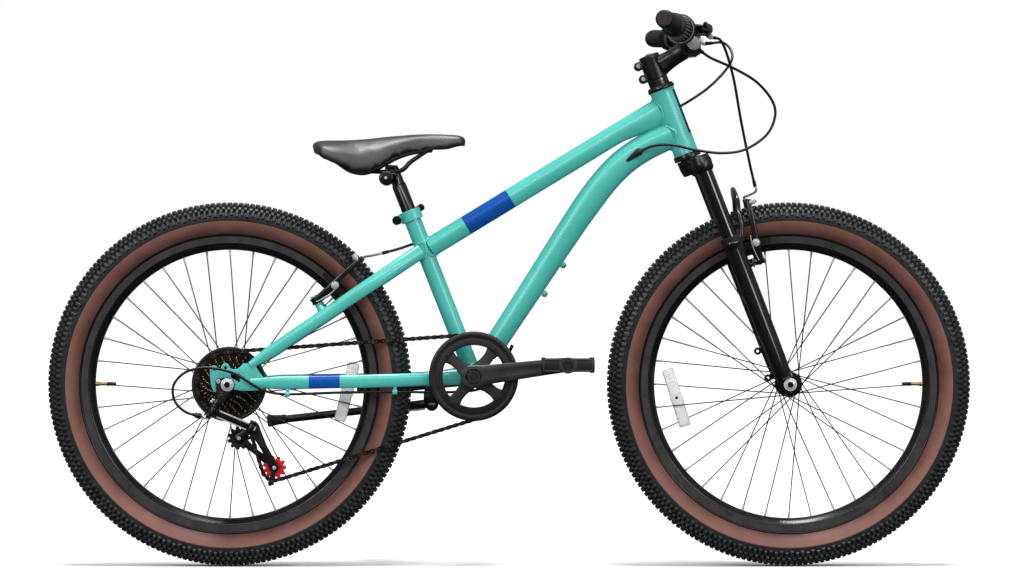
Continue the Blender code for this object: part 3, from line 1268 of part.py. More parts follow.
def chain_path():
    """The chain's loop round the ring, the low sprocket and both jockey wheels."""
    wheels = [
        (BOTTOM_BRACKET, pitch_radius(CHAINRING_TEETH), -1, -CHAINLINE, 14),
        (LOWER_JOCKEY, pitch_radius(JOCKEY_TEETH), -1, -LOW_COG_Y, 8),
        (UPPER_JOCKEY, pitch_radius(JOCKEY_TEETH), 1, -LOW_COG_Y, 5),
        (REAR_AXLE, pitch_radius(FREEWHEEL_TEETH[0]), -1, -LOW_COG_Y, 14)]
    joins = []
    for k, here in enumerate(wheels):
        joins.append(common_tangent(here, wheels[(k + 1) % len(wheels)]))
    route = []
    for k, (centre, radius, turn, level, steps) in enumerate(wheels):
        start = joins[k - 1][1]
        end = joins[k][0]
        first = math.atan2(start.z - centre.z, start.x - centre.x)
        last = math.atan2(end.z - centre.z, end.x - centre.x)
        sweep = (last - first) % (2 * math.pi)
        if turn < 0:
            sweep = sweep - 2 * math.pi
        for n in range(steps + 1):
            point = around(centre, radius, first + sweep * n / steps)
            route.append(Vector((point.x, level, point.z)))
    return route


def common_tangent(here, there):
    """The straight run between two wheels, leaving the first and meeting the second."""
    centre_a, radius_a, turn_a = here[0], here[1], here[2]
    centre_b, radius_b, turn_b = there[0], there[1], there[2]
    run = Vector((centre_b.x - centre_a.x, 0, centre_b.z - centre_a.z))
    length = run.length
    heading = math.atan2(run.z, run.x)
    lean = math.asin((turn_a * radius_a - turn_b * radius_b) / length)
    side = heading + lean
    normal = Vector((math.sin(side), 0, -math.cos(side)))
    return (centre_a + normal * (turn_a * radius_a), centre_b + normal * (turn_b * radius_b))


def add_chain():
    """Adds the chain as one band of its real width and depth."""
    shape = bmesh.new()
    route = chain_path()
    count = len(route)
    rings = []
    for k, point in enumerate(route):
        along = (route[(k + 1) % count] - route[k - 1]).normalized()
        across = (ACROSS - along * along.y).normalized()
        up = along.cross(across)
        verts = []
        for a, b in ((-1, -1), (1, -1), (1, 1), (-1, 1)):
            verts.append(shape.verts.new(
                point + across * (a * CHAIN_WIDTH / 2) + up * (b * CHAIN_HALF_DEPTH)))
        rings.append([shape.edges.new((verts[n], verts[(n + 1) % 4])) for n in range(4)])
    for a, b in zip(rings, rings[1:] + rings[:1]):
        bmesh.ops.bridge_loops(shape, edges=a + b)
    node("chain", "frame", BROWN_STEEL, [shape])


def add_derailleur():
    """Adds the hanger body, the link, the outer knuckle, the cage and its two jockey wheels."""
    outer = REAR_HUB_WIDTH / 2 + DROPOUT_THICKNESS
    hanger = Vector((HANGER_BOLT.x, -(outer + GAP), HANGER_BOLT.z))
    away = Vector((HANGER_BOLT.x, LINK_START.y - 0.006, HANGER_BOLT.z))
    barrel = rod(hanger, away, 0.0095, 16)
    lobe = rod(Vector((hanger.x - 0.004, away.y + 0.005, hanger.z - 0.004)),
               LINK_START + LINK_AXIS * 0.013 + LINK_BACK * 0.002, 0.0075, 10)
    arm = rod(LINK_START + LINK_AXIS * 0.0135, LINK_START - LINK_AXIS * 0.0135, 0.0055, 12)
    node("derailleur_body", "frame", BLACK_METAL, [barrel, lobe, arm],
         [rod(LINK_START + LINK_AXIS * (LINK_HALF + GAP), LINK_START - LINK_AXIS * 0.02, 0.0125, 16)])

    link_start = rod(LINK_START - LINK_AXIS * LINK_HALF, LINK_START + LINK_AXIS * LINK_HALF,
                     0.0070, 12)
    link_end = rod(LINK_END - LINK_AXIS * LINK_HALF, LINK_END + LINK_AXIS * LINK_HALF, 0.0070, 12)
    web = block((LINK_START + LINK_END) / 2, ((LINK_END - LINK_START).length, 0.009, 0.013),
                LINK_AXIS, LINK_RUN)
    node("derailleur_link", "derailleur_link", BLACK_METAL, [web, link_start, link_end])

    fork = rod(LINK_END + LINK_AXIS * (LINK_HALF + GAP), LINK_END + LINK_AXIS * 0.0135, 0.0065, 12)
    hub_high = CAGE_PIVOT.y - 0.0012
    knuckle = rod(Vector((CAGE_PIVOT.x, hub_high, CAGE_PIVOT.z)),
                  Vector((CAGE_PIVOT.x, hub_high - 0.013, CAGE_PIVOT.z)), 0.0095, 16)
    bridge = rod(LINK_END + LINK_AXIS * 0.0115,
                 Vector((CAGE_PIVOT.x, hub_high - 0.0065, CAGE_PIVOT.z)), 0.0060, 10)
    keep_clear = rod(LINK_END - LINK_AXIS * 0.02, LINK_END + LINK_AXIS * (LINK_HALF + GAP), 0.0105, 16)
    node("derailleur_knuckle", "derailleur_knuckle", BLACK_METAL, [knuckle, bridge, fork],
         [keep_clear])

    inner_y = -LOW_COG_Y + JOCKEY_WIDTH / 2 + 0.0015
    outer_y = -LOW_COG_Y - JOCKEY_WIDTH / 2 - 0.0015
    path = [CAGE_PIVOT, UPPER_JOCKEY, LOWER_JOCKEY]
    shapes = []
    for near, far in ((path[0], path[1]), (path[0], path[2])):
        run = far - near
        run.y = 0
        middle = Vector(((near.x + far.x) / 2, outer_y - 0.001, (near.z + far.z) / 2))
        shapes.append(block(middle, (run.length, 0.013, 0.002), ACROSS, run))
    run = UPPER_JOCKEY - LOWER_JOCKEY
    middle = (UPPER_JOCKEY + LOWER_JOCKEY) / 2
    shapes.append(block(Vector((middle.x, inner_y + 0.001, middle.z)), (run.length, 0.012, 0.002),
                        ACROSS, run))
    for centre in path[1:]:
        shapes.append(rod(Vector((centre.x, inner_y + 0.002, centre.z)),
                          Vector((centre.x, outer_y - 0.0035, centre.z)), 0.0030, 10))
    shapes.append(rod(Vector((CAGE_PIVOT.x, outer_y, CAGE_PIVOT.z)),
                      Vector((CAGE_PIVOT.x, outer_y - 0.002, CAGE_PIVOT.z)), 0.0110, 16))
    node("derailleur_cage", "derailleur_cage", BLACK_METAL, shapes)
    for name, centre, finish in (("jockey_upper", UPPER_JOCKEY, BLACK_PLASTIC),
                                 ("jockey_lower", LOWER_JOCKEY, RED_PLASTIC)):
        edge = pitch_radius(JOCKEY_TEETH) - CHAIN_HALF_DEPTH - CHAIN_GAP
        wheel = ring_solid(0.0033, edge, -JOCKEY_WIDTH / 2, JOCKEY_WIDTH / 2,
                           Vector((centre.x, -LOW_COG_Y, centre.z)), ACROSS, 16)
        node(name, name, finish, [wheel])


# Kickstand

def stand_bracket_shape(grow=0.0):
    """The block that bolts under the left chainstay."""
    middle = Vector((STAND_PIVOT.x, 0.031, STAND_PIVOT.z + 0.017))
    size = (0.030 + 2 * grow, 0.020 + 2 * grow, 0.034 + 2 * grow)
    return block(middle, size)


def add_kickstand():
    """Adds the kickstand's bracket and its folded leg."""
    axis = Vector((0, math.cos(STAND_SPLAY), math.sin(STAND_SPLAY)))
    pin = rod(STAND_PIVOT - axis * 0.020, STAND_PIVOT + axis * 0.0075, 0.0045, 12)
    stay = loft(chainstay_route(1), [CHAINSTAY_WIDTH + 2 * GAP] * 9,
                [CHAINSTAY_DEPTH * 1.2 + 2 * GAP] * 9, 12)
    node("kickstand_bracket", "frame", BLACK_METAL, [stand_bracket_shape(), pin], [stay])
    swing = Vector((-1, 0, -0.110)).normalized()
    foot = STAND_PIVOT + swing * STAND_LENGTH + ACROSS * 0.010
    eye = rod(STAND_PIVOT - axis * 0.0070, STAND_PIVOT + axis * 0.0070, 0.0115, 14)
    leg = loft_round([STAND_PIVOT + swing * 0.004, STAND_PIVOT.lerp(foot, 0.45),
                      STAND_PIVOT.lerp(foot, 0.90), STAND_PIVOT.lerp(foot, 0.93), foot],
                     [STAND_RADIUS, STAND_RADIUS, STAND_RADIUS, STAND_RADIUS * 1.25,
                      STAND_RADIUS * 1.55], 12)
    hole = rod(STAND_PIVOT - axis * 0.03, STAND_PIVOT + axis * 0.03, bore(0.0045, 12), 12)
    node("kickstand_leg", "kickstand", BLACK_METAL, [leg, eye], [hole])


# Cables

def add_cable(name, body, points, count):
    """Adds a cable: a capped round tube on a smooth curve through the route's points."""
    curve = bpy.data.curves.new(name, "CURVE")
    curve.dimensions = "3D"
    curve.bevel_depth = CABLE_RADIUS
    curve.bevel_resolution = CABLE_SIDES
    curve.use_fill_caps = True
    empty, pivot = BODIES[body]
    route = smooth_route(points, count)
    spline = curve.splines.new("POLY")
    spline.points.add(len(route) - 1)
    for slot, point in zip(spline.points, route):
        slot.co = (*(point - pivot), 1)
    item = bpy.data.objects.new(name, curve)
    bpy.context.scene.collection.objects.link(item)
    item.parent = empty
    colour, roughness, metallic = BLACK_PLASTIC
    paint = bpy.data.materials.new(name + "_finish")
    paint.use_nodes = True
    shader = paint.node_tree.nodes["Principled BSDF"]
    shader.inputs["Base Color"].default_value = (*colour, 1)
    shader.inputs["Roughness"].default_value = roughness
    shader.inputs["Metallic"].default_value = metallic
    curve.materials.append(paint)


def front_brake_route():
    """The front brake cable's centre line, from the right lever to the top of the brake arms."""
    return [
        barrel_end(-1) + Vector((0.0009, 0.0020, -0.0083)), steer(0.1575, 0.1251, -0.0700),
        steer(0.0981, 0.1236, -0.0450), steer(0.0158, 0.1090, -0.0240),
        steer(-0.0590, 0.0973, -0.0080), steer(-0.0979, 0.0925, 0.0)]


def rear_brake_route():
    """The rear brake cable's, from the left lever along the top tube to the rear arms."""
    return [
        barrel_end(1) + Vector((0.0072, -0.0020, -0.0101)), steer(0.1594, 0.1398, 0.0980),
        steer(0.1274, 0.1392, 0.0700), steer(0.0984, 0.0894, 0.0480),
        steer(0.0827, 0.0245, 0.0360), beside_top_tube(0.901, -0.0082, 0.0240),
        beside_top_tube(0.577, -0.0053, 0.0225), beside_top_tube(0.203, -0.0039, 0.0225),
        seat(0.2478, 0.0245, 0.0235), seat(0.2550, -0.0103, 0.0220),
        seat(0.2567, -0.0419, 0.0140), seat(0.2603, -0.0727, 0.0060)]


def shift_front_route():
    """The gear cable's first stretch, from the twist shifter into the down tube."""
    return [
        steer(0.1577, 0.0802, -0.1300), steer(0.1384, 0.0942, -0.1120),
        steer(0.1074, 0.1272, -0.0850), steer(0.0725, 0.1566, -0.0600),
        steer(0.0344, 0.1719, -0.0380), steer(0.0058, 0.1684, -0.0320),
        steer(-0.0206, 0.1422, -0.0340), steer(-0.0311, 0.0973, -0.0400),
        steer(-0.0221, 0.0558, -0.0460), steer(0.0, 0.0140, -0.0460),
        steer(0.0228, -0.0201, -0.0400), steer(0.0328, -0.0516, -0.0320),
        steer(0.0319, -0.0798, -0.0262)]


def shift_rear_route():
    """Its second stretch, out of the down tube, along the chainstay and round to the derailleur."""
    from_shell = [
        (0.0679, -0.0100, 0.0540), (0.0499, -0.0130, 0.0175), (0.0279, -0.0170, -0.0125),
        (0.0, -0.0220, -0.0255), (-0.0581, -0.0360, -0.0285), (-0.1381, -0.0510, -0.0275)]
    from_axle = [
        (0.1920, -0.0620, -0.0140), (0.1050, -0.0700, -0.0165), (0.0670, -0.0785, -0.0110),
        (0.0420, -0.0820, 0.0020), (0.0120, -0.0850, 0.0200), (-0.0300, -0.0870, 0.0300),
        (-0.0680, -0.0880, 0.0240), (-0.0900, -0.0890, 0.0050), (-0.0940, -0.0890, -0.0150),
        (-0.0870, -0.0885, -0.0340), (-0.0700, -0.0880, -0.0480), (-0.0480, -0.0880, -0.0540)]
    return ([BOTTOM_BRACKET + Vector(offset) for offset in from_shell]
            + [REAR_AXLE + Vector(offset) for offset in from_axle])


def beside_top_tube(share, up, side):
    """A point at a share of the top tube's length, off its centre line by two distances."""
    start = seat(TOP_TUBE_SEAT_HEIGHT, 0)
    run = steer(TOP_TUBE_HEAD_HEIGHT, 0) - start
    along = run.normalized()
    return start + run * share + Vector((-along.z, 0, along.x)) * up + ACROSS * side


def add_cables():
    """Adds the two brake cables and the two stretches of gear cable."""
    add_cable("front_brake_cable", "steering", front_brake_route(), 16)
    add_cable("rear_brake_cable", "frame", rear_brake_route(), 28)
    add_cable("shift_cable_front", "frame", shift_front_route(), 18)
    add_cable("shift_cable_rear", "frame", shift_rear_route(), 18)


def build():
    """Builds the whole bicycle."""
    clear_scene()
    add_bodies()
    add_wheel("front", FRONT_AXLE, (FRONT_FLANGE_HALF, FRONT_FLANGE_HALF), (0.046, 0.046), 0.010)
    add_wheel("rear", REAR_AXLE, (REAR_FLANGE_LEFT, REAR_FLANGE_RIGHT), (0.060, 0.058),
              FREEWHEEL_BORE)
    axle = axle_profile(REAR_HUB_WIDTH, DROPOUT_THICKNESS, 0.086)
    node("rear_axle", "frame", BRIGHT_METAL, [turned(axle, REAR_AXLE, ACROSS, 8, False)])
    add_front_triangle()
    add_rear_triangle()
    add_seat()
    add_fork()
    add_cockpit()
    add_brakes()
    add_cranks()
    add_freewheel()
    add_chain()
    add_derailleur()
    add_kickstand()
    add_cables()


build()
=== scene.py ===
"""Looks of the fat-tyred bicycle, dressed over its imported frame.

Metres, +Z up, +X towards the front wheel, -Y towards the chain side.
"""

import math

import bmesh
import bpy
from mathutils import Matrix, Vector


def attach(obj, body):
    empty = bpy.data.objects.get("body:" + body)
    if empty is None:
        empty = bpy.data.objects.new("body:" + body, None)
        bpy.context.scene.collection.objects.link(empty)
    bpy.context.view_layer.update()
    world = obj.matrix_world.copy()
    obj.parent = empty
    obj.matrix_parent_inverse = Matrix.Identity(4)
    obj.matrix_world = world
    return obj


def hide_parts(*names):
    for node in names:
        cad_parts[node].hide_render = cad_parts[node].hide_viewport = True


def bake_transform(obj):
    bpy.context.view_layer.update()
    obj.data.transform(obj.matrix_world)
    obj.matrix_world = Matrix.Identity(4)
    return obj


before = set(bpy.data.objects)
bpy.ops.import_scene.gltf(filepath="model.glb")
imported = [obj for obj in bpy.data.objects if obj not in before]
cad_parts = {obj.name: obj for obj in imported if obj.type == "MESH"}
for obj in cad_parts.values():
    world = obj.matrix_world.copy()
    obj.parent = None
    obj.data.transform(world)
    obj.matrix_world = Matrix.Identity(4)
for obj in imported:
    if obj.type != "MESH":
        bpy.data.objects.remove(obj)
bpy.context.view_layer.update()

# Main sizes, as the frame has them
WHEELBASE = 0.984
RIM_RADIUS = 0.2627
TYRE_RADIUS = 0.320
HEAD_ANGLE = math.radians(68.9)
SEAT_ANGLE = math.radians(68.5)
CHAINSTAY_LENGTH = 0.4303
BOTTOM_BRACKET_RISE = 0.0145
FORK_LENGTH = 0.4436
FORK_RAKE = 0.0218
SEAT_TUBE_LENGTH = 0.310
CHAIN_PITCH = 0.0127

ACROSS = Vector((0, 1, 0))
UPRIGHT = Vector((0, 0, 1))
FRONT_AXLE = Vector((WHEELBASE / 2, 0, TYRE_RADIUS))
REAR_AXLE = Vector((-WHEELBASE / 2, 0, TYRE_RADIUS))
BOTTOM_BRACKET = REAR_AXLE + Vector((
    math.sqrt(CHAINSTAY_LENGTH ** 2 - BOTTOM_BRACKET_RISE ** 2), 0, BOTTOM_BRACKET_RISE))
SEAT_UP = Vector((-math.cos(SEAT_ANGLE), 0, math.sin(SEAT_ANGLE)))
SEAT_FORWARD = Vector((math.sin(SEAT_ANGLE), 0, math.cos(SEAT_ANGLE)))
STEER_UP = Vector((-math.cos(HEAD_ANGLE), 0, math.sin(HEAD_ANGLE)))
STEER_FORWARD = Vector((math.sin(HEAD_ANGLE), 0, math.cos(HEAD_ANGLE)))
HEAD_FOOT = FRONT_AXLE + STEER_UP * FORK_LENGTH - STEER_FORWARD * FORK_RAKE


def steer(along, forward, side=0.0):
    """A point measured from the foot of the head tube, up the steering axis and forward of it."""
    return HEAD_FOOT + STEER_UP * along + STEER_FORWARD * forward + ACROSS * side


def seat(along, forward, side=0.0):
    """A point measured from the crank axis, up the seat tube and forward of it."""
    return BOTTOM_BRACKET + SEAT_UP * along + SEAT_FORWARD * forward + ACROSS * side


def around(centre, radius, angle, side=0.0):
    """A point at an angle round an axle, counted from +X towards +Z."""
    return centre + Vector((radius * math.cos(angle), side, radius * math.sin(angle)))


def smooth_step(value):
    """Eases from 0 to 1."""
    value = min(max(value, 0.0), 1.0)
    return value * value * (3 - 2 * value)


# Finishes

def linear(red, green, blue):
    """A display colour, 0 to 255, as the linear values that a shader takes."""
    shades = []
    for value in (red, green, blue):
        share = value / 255
        shades.append(share / 12.92 if share < 0.04045 else ((share + 0.055) / 1.055) ** 2.4)
    return (*shades, 1.0)


def add(tree, kind, inputs=None, **settings):
    """Adds a shader node, with its settings and its inputs as values or links."""
    made = tree.nodes.new("ShaderNode" + kind)
    for key, value in settings.items():
        setattr(made, key, value)
    for key, value in (inputs or {}).items():
        if isinstance(value, bpy.types.NodeSocket):
            tree.links.new(value, made.inputs[key])
        else:
            made.inputs[key].default_value = value
    return made


def new_finish(name, shader_values):
    """A new material: its node tree, its shader and the piece's own coordinates."""
    made = bpy.data.materials.new(name)
    made.use_nodes = True
    tree = made.node_tree
    shader = tree.nodes["Principled BSDF"]
    for key, value in shader_values.items():
        shader.inputs[key].default_value = value
    place = add(tree, "TexCoord").outputs["Object"]
    return made, tree, shader, place


def drift(tree, place, size, detail=2.0, rough=0.5):
    """A soft random pattern whose patches are about 1 / size metres wide."""
    return add(tree, "TexNoise", {
        "Vector": place, "Scale": size, "Detail": detail, "Roughness": rough}).outputs[0]


def remap(tree, value, low, high, to_low, to_high):
    """Stretches a pattern's values from one range to another and holds its ends."""
    return add(tree, "MapRange", {
        "Value": value, "From Min": low, "From Max": high, "To Min": to_low,
        "To Max": to_high}).outputs[0]


def blend_colours(tree, share, first, second):
    """Goes from one colour to another with a pattern."""
    made = add(tree, "Mix", data_type="RGBA")
    for slot, value in ((0, share), (6, first), (7, second)):
        if isinstance(value, bpy.types.NodeSocket):
            tree.links.new(value, made.inputs[slot])
        else:
            made.inputs[slot].default_value = value
    return made.outputs[2]


def sum_of(tree, operation, first, second):
    """Joins two numbers."""
    return add(tree, "Math", {0: first, 1: second}, operation=operation).outputs[0]


def relief(tree, shader, height, depth):
    """Gives the surface a fine relief of a depth in metres."""
    bump = add(tree, "Bump", {"Height": height, "Distance": depth, "Strength": 1.0})
    tree.links.new(bump.outputs[0], shader.inputs["Normal"])
    return bump


def plain_finish(name, tone, light, rough, metallic=0.0, patch=30.0, grain=1400.0, depth=0.00003,
                 worn=None, rough_spread=0.10, **extra):
    """A surface whose tone and gloss drift, with a fine grain and, if asked, rubbed edges."""
    made, tree, shader, place = new_finish(name, {"Metallic": metallic, **extra})
    clouds = drift(tree, place, patch, 4.0, 0.6)
    fine = drift(tree, place, grain, 2.0)
    mixed = blend_colours(tree, remap(tree, clouds, 0.35, 0.68, 0.0, 1.0), tone, light)
    if worn:
        edges = add(tree, "NewGeometry").outputs["Pointiness"]
        rubbed = remap(tree, edges, 0.56, 0.74, 0.0, 0.5)
        rubbed = sum_of(tree, "MULTIPLY", rubbed, remap(tree, fine, 0.40, 0.62, 0.2, 1.0))
        mixed = blend_colours(tree, rubbed, mixed, worn)
    tree.links.new(mixed, shader.inputs["Base Color"])
    smudge = drift(tree, place, patch * 2.3, 5.0, 0.65)
    gloss = remap(tree, smudge, 0.3, 0.7, rough - rough_spread / 2, rough + rough_spread / 2)
    tree.links.new(gloss, shader.inputs["Roughness"])
    relief(tree, shader, fine, depth)
    return made


def enamel(name, tone, light, coat=0.5, shine=0.5):
    """Glossy frame enamel: a colour coat with a faint orange peel under a clear one."""
    made, tree, shader, place = new_finish(name, {
        "Metallic": 0.0, "Coat Weight": coat, "Coat Roughness": 0.20, "Specular IOR Level": shine})
    clouds = drift(tree, place, 7.0, 3.0)
    flakes = drift(tree, place, 5200.0, 1.0)
    mixed = blend_colours(tree, remap(tree, clouds, 0.3, 0.7, 0.0, 1.0), tone, light)
    mixed = blend_colours(tree, remap(tree, flakes, 0.66, 0.72, 0.0, 0.25), mixed,
                          tuple(min(1.0, c * 1.5) for c in light[:3]) + (1.0,))
    tree.links.new(mixed, shader.inputs["Base Color"])
    gloss = remap(tree, drift(tree, place, 60.0, 4.0), 0.3, 0.7, 0.26, 0.36)
    tree.links.new(gloss, shader.inputs["Roughness"])
    relief(tree, shader, drift(tree, place, 160.0, 1.0), 0.000003)
    return made


def ring_distance(tree, place, centre):
    """The distance of each point from an axle's line, as a shader value."""
    moved = add(tree, "VectorMath", {0: place, 1: tuple(centre)}, operation="SUBTRACT").outputs[0]
    flat = add(tree, "VectorMath", {0: moved, 1: (1, 0, 1)}, operation="MULTIPLY").outputs[0]
    return add(tree, "VectorMath", {0: flat}, operation="LENGTH").outputs["Value"]


def turned_finish(name, centre, tone, light, rough, metallic, pitch, depth, **extra):
    """A surface with fine circular tool marks round an axle."""
    made, tree, shader, place = new_finish(name, {"Metallic": metallic, **extra})
    radius = ring_distance(tree, place, centre)
    rings = add(tree, "TexNoise", {"W": radius, "Scale": 1 / pitch, "Detail": 3.0},
                noise_dimensions="1D").outputs[0]
    clouds = drift(tree, place, 40.0, 4.0)
    both = sum_of(tree, "ADD", sum_of(tree, "MULTIPLY", rings, 0.7),
                  sum_of(tree, "MULTIPLY", clouds, 0.3))
    tree.links.new(blend_colours(tree, remap(tree, both, 0.35, 0.65, 0.0, 1.0), tone, light),
                   shader.inputs["Base Color"])
    tree.links.new(remap(tree, rings, 0.3, 0.7, rough - 0.06, rough + 0.08),
                   shader.inputs["Roughness"])
    relief(tree, shader, rings, depth)
    return made


def sidewall_finish(name, centre):
    """Brown tyre wall: faint rings, a thread crossing them and a dusty bloom."""
    made, tree, shader, place = new_finish(name, {"Metallic": 0.0, "Sheen Weight": 0.08})
    radius = ring_distance(tree, place, centre)
    rings = add(tree, "TexNoise", {"W": radius, "Scale": 900.0, "Detail": 2.0},
                noise_dimensions="1D").outputs[0]
    clouds = drift(tree, place, 22.0, 5.0, 0.6)
    specks = drift(tree, place, 1500.0, 2.0)
    tone = blend_colours(tree, remap(tree, radius, RIM_RADIUS, RIM_RADIUS + 0.020, 0.0, 1.0),
                         linear(84, 50, 42), linear(124, 79, 68))
    tone = blend_colours(tree, remap(tree, clouds, 0.42, 0.75, 0.0, 0.5), tone, linear(140, 96, 84))
    tone = blend_colours(tree, remap(tree, specks, 0.60, 0.75, 0.0, 0.5), tone, linear(66, 40, 34))
    tree.links.new(tone, shader.inputs["Base Color"])
    tree.links.new(remap(tree, clouds, 0.3, 0.7, 0.50, 0.64), shader.inputs["Roughness"])
    relief(tree, shader, sum_of(tree, "ADD", rings, specks), 0.00005)
    return made


def rubber(name, tone, light, rough=0.62):
    """Black rubber with a slightly greyed, grainy skin."""
    return plain_finish(name, tone, light, rough, patch=60.0, grain=2200.0, depth=0.00006,
                        rough_spread=0.16)


MINT = enamel("mint_enamel", linear(66, 178, 168), linear(78, 190, 180))
BLUE = enamel("blue_enamel", linear(0, 70, 148), linear(2, 82, 166), 0.1, 0.2)
NAVY = enamel("navy_enamel", linear(3, 12, 58), linear(7, 18, 72), 0.1, 0.3)
BLACK_COAT = plain_finish("satin_black_coat", linear(9, 9, 10), linear(17, 17, 18), 0.30,
                          depth=0.000008, worn=linear(44, 44, 46),
                          **{"Coat Weight": 0.3, "Coat Roughness": 0.20})
GLOSS_BLACK = plain_finish("gloss_black_tube", linear(5, 5, 6), linear(10, 10, 11), 0.24,
                           depth=0.000004, **{"Coat Weight": 0.5, "Coat Roughness": 0.13})
MATT_BLACK = plain_finish("matt_black_forging", linear(32, 32, 33), linear(46, 46, 47), 0.46,
                          depth=0.00002, worn=linear(110, 110, 112))
BLACK_PLASTIC = plain_finish("black_plastic", linear(16, 16, 17), linear(26, 26, 27), 0.42,
                             grain=1800.0, depth=0.00005)
BLACK_ALLOY = plain_finish("black_alloy", linear(16, 16, 17), linear(28, 28, 30), 0.34, 0.6,
                           worn=linear(120, 120, 122))
RUBBER = rubber("black_rubber", linear(17, 17, 17), linear(32, 31, 31))
TREAD = rubber("tread_rubber", linear(29, 30, 32), linear(52, 54, 57), 0.46)
CASING = rubber("casing_rubber", linear(16, 17, 18), linear(32, 33, 35), 0.44)
CHROME = plain_finish("bright_plating", linear(200, 202, 206), linear(232, 233, 236), 0.18, 0.25,
                      patch=80.0, depth=0.00001)
STEEL = plain_finish("spoke_steel", linear(58, 58, 62), linear(92, 92, 96), 0.32, 0.9, patch=120.0)
SILVER = plain_finish("silver_alloy", linear(160, 162, 166), linear(200, 202, 206), 0.24, 0.20,
                      patch=70.0, worn=linear(225, 225, 228))
CHAIN_STEEL = plain_finish("oiled_chain_steel", linear(56, 48, 42), linear(104, 92, 80), 0.30, 0.7,
                           patch=260.0, worn=linear(150, 138, 122))
COG_STEEL = plain_finish("browned_cog_steel", linear(22, 19, 17), linear(44, 37, 31), 0.34, 0.7,
                         patch=180.0)
# Bright gold for the cogs' tooth tips: a painted glint, drawn into the colour of dark steel teeth.
TOOTH_TIP_GLINT_PAINT = plain_finish("tooth_tip_painted_glint", linear(60, 44, 26), linear(236, 204, 140), 0.24, 0.6,
                           patch=160.0)
RED_PLASTIC = plain_finish("red_plastic", linear(190, 6, 16), linear(222, 18, 28), 0.30,
                           patch=120.0, **{"Coat Weight": 0.3})
SMOKY = plain_finish("smoky_plastic", linear(22, 22, 24), linear(40, 40, 43), 0.25, patch=60.0)
CLEAR = plain_finish("clear_reflector", linear(224, 225, 225), linear(250, 250, 250), 0.16,
                     patch=90.0, grain=520.0, depth=0.0006, **{"Coat Weight": 0.6})
CABLE = plain_finish("cable_sheath", linear(15, 15, 16), linear(24, 24, 25), 0.33, patch=90.0)
BRASS = plain_finish("brass", linear(168, 138, 70), linear(196, 168, 96), 0.35, 0.8, patch=90.0)


# Shapes

def facing(origin, direction, forward=None):
    """The placement that carries +Z to a direction and, if given, +X towards forward."""
    up = Vector(direction).normalized()
    if forward is None:
        turn = UPRIGHT.rotation_difference(up).to_matrix().to_4x4()
        return Matrix.Translation(origin) @ turn
    front = (Vector(forward) - up * up.dot(Vector(forward))).normalized()
    turn = Matrix((front, up.cross(front), up)).transposed().to_4x4()
    return Matrix.Translation(origin) @ turn


def merged(*shapes):
    """Puts several shapes together as one."""
    whole = shapes[0]
    for shape in shapes[1:]:
        spare = bpy.data.meshes.new("spare")
        shape.to_mesh(spare)
        shape.free()
        whole.from_mesh(spare)
        bpy.data.meshes.remove(spare)
    return whole


def tinted(shape, slot):
    """Gives every face of a shape one of its piece's finishes."""
    for face in shape.faces:
        face.material_index = slot
    return shape


def softened(shape, width, segments=2, angle=40):
    """Rounds the edges that turn by more than an angle."""
    limit = math.radians(angle)
    edges = [e for e in shape.edges if len(e.link_faces) == 2 and e.calc_face_angle(0) > limit]
    bmesh.ops.bevel(shape, geom=edges, offset=width, offset_type="OFFSET", segments=segments,
                    profile=0.5, affect="EDGES", clamp_overlap=True, material=-1)
    return shape


def rod(start, end, radius, sides=24, end_radius=None, soft=0.0):
    """A round bar between two points, tapered if asked."""
    shape = bmesh.new()
    run = Vector(end) - Vector(start)
    last = radius if end_radius is None else end_radius
    bmesh.ops.create_cone(
        shape, cap_ends=True, segments=sides, radius1=radius, radius2=last, depth=run.length,
        matrix=facing((Vector(start) + Vector(end)) / 2, run))
    return softened(shape, soft, 2, 50) if soft else shape


def block(origin, size, direction=UPRIGHT, forward=(1, 0, 0), soft=0.0):
    """A box centred on a point, with its height along a direction."""
    shape = bmesh.new()
    bmesh.ops.create_cube(shape, size=1.0)
    bmesh.ops.scale(shape, verts=shape.verts, vec=size)
    if soft:
        softened(shape, soft)
    bmesh.ops.transform(shape, verts=shape.verts, matrix=facing(origin, direction, forward))
    return shape


def turned(profile, origin, direction=ACROSS, steps=96, closed=True, slots=None):
    """A solid turned about an axis from points of (radius, distance along)."""
    shape = bmesh.new()
    points = [shape.verts.new((radius, 0, along)) for radius, along in profile]
    pairs = list(zip(points, points[1:]))
    if closed:
        pairs.append((points[-1], points[0]))
    edges = [shape.edges.new(pair) for pair in pairs]
    bmesh.ops.spin(
        shape, geom=points + edges, cent=(0, 0, 0), axis=(0, 0, 1), dvec=(0, 0, 0),
        angle=2 * math.pi, steps=steps, use_merge=True)
    bmesh.ops.remove_doubles(shape, verts=shape.verts, dist=1e-6)
    if slots:
        for face in shape.faces:
            middle = face.calc_center_median()
            face.material_index = slots(math.hypot(middle.x, middle.y), middle.z)
    bmesh.ops.recalc_face_normals(shape, faces=shape.faces)
    bmesh.ops.transform(shape, verts=shape.verts, matrix=facing(origin, direction))
    return shape


def ring_solid(inner, outer, low, high, origin, direction=ACROSS, steps=64, soft=0.0):
    """A plain ring between two radii and two heights."""
    shape = turned([(inner, low), (outer, low), (outer, high), (inner, high)], origin, direction,
                   steps)
    return softened(shape, soft) if soft else shape


def plate(outline, low, high, soft=0.0):
    """A flat plate in the plane of the wheels, from an outline of (x, z)."""
    shape = bmesh.new()
    corners = [shape.verts.new((x, low, z)) for x, z in outline]
    face = shape.faces.new(corners)
    extruded = bmesh.ops.extrude_face_region(shape, geom=[face])["geom"]
    moved = [part for part in extruded if isinstance(part, bmesh.types.BMVert)]
    bmesh.ops.translate(shape, verts=moved, vec=(0, high - low, 0))
    bmesh.ops.recalc_face_normals(shape, faces=shape.faces)
    return softened(shape, soft) if soft else shape


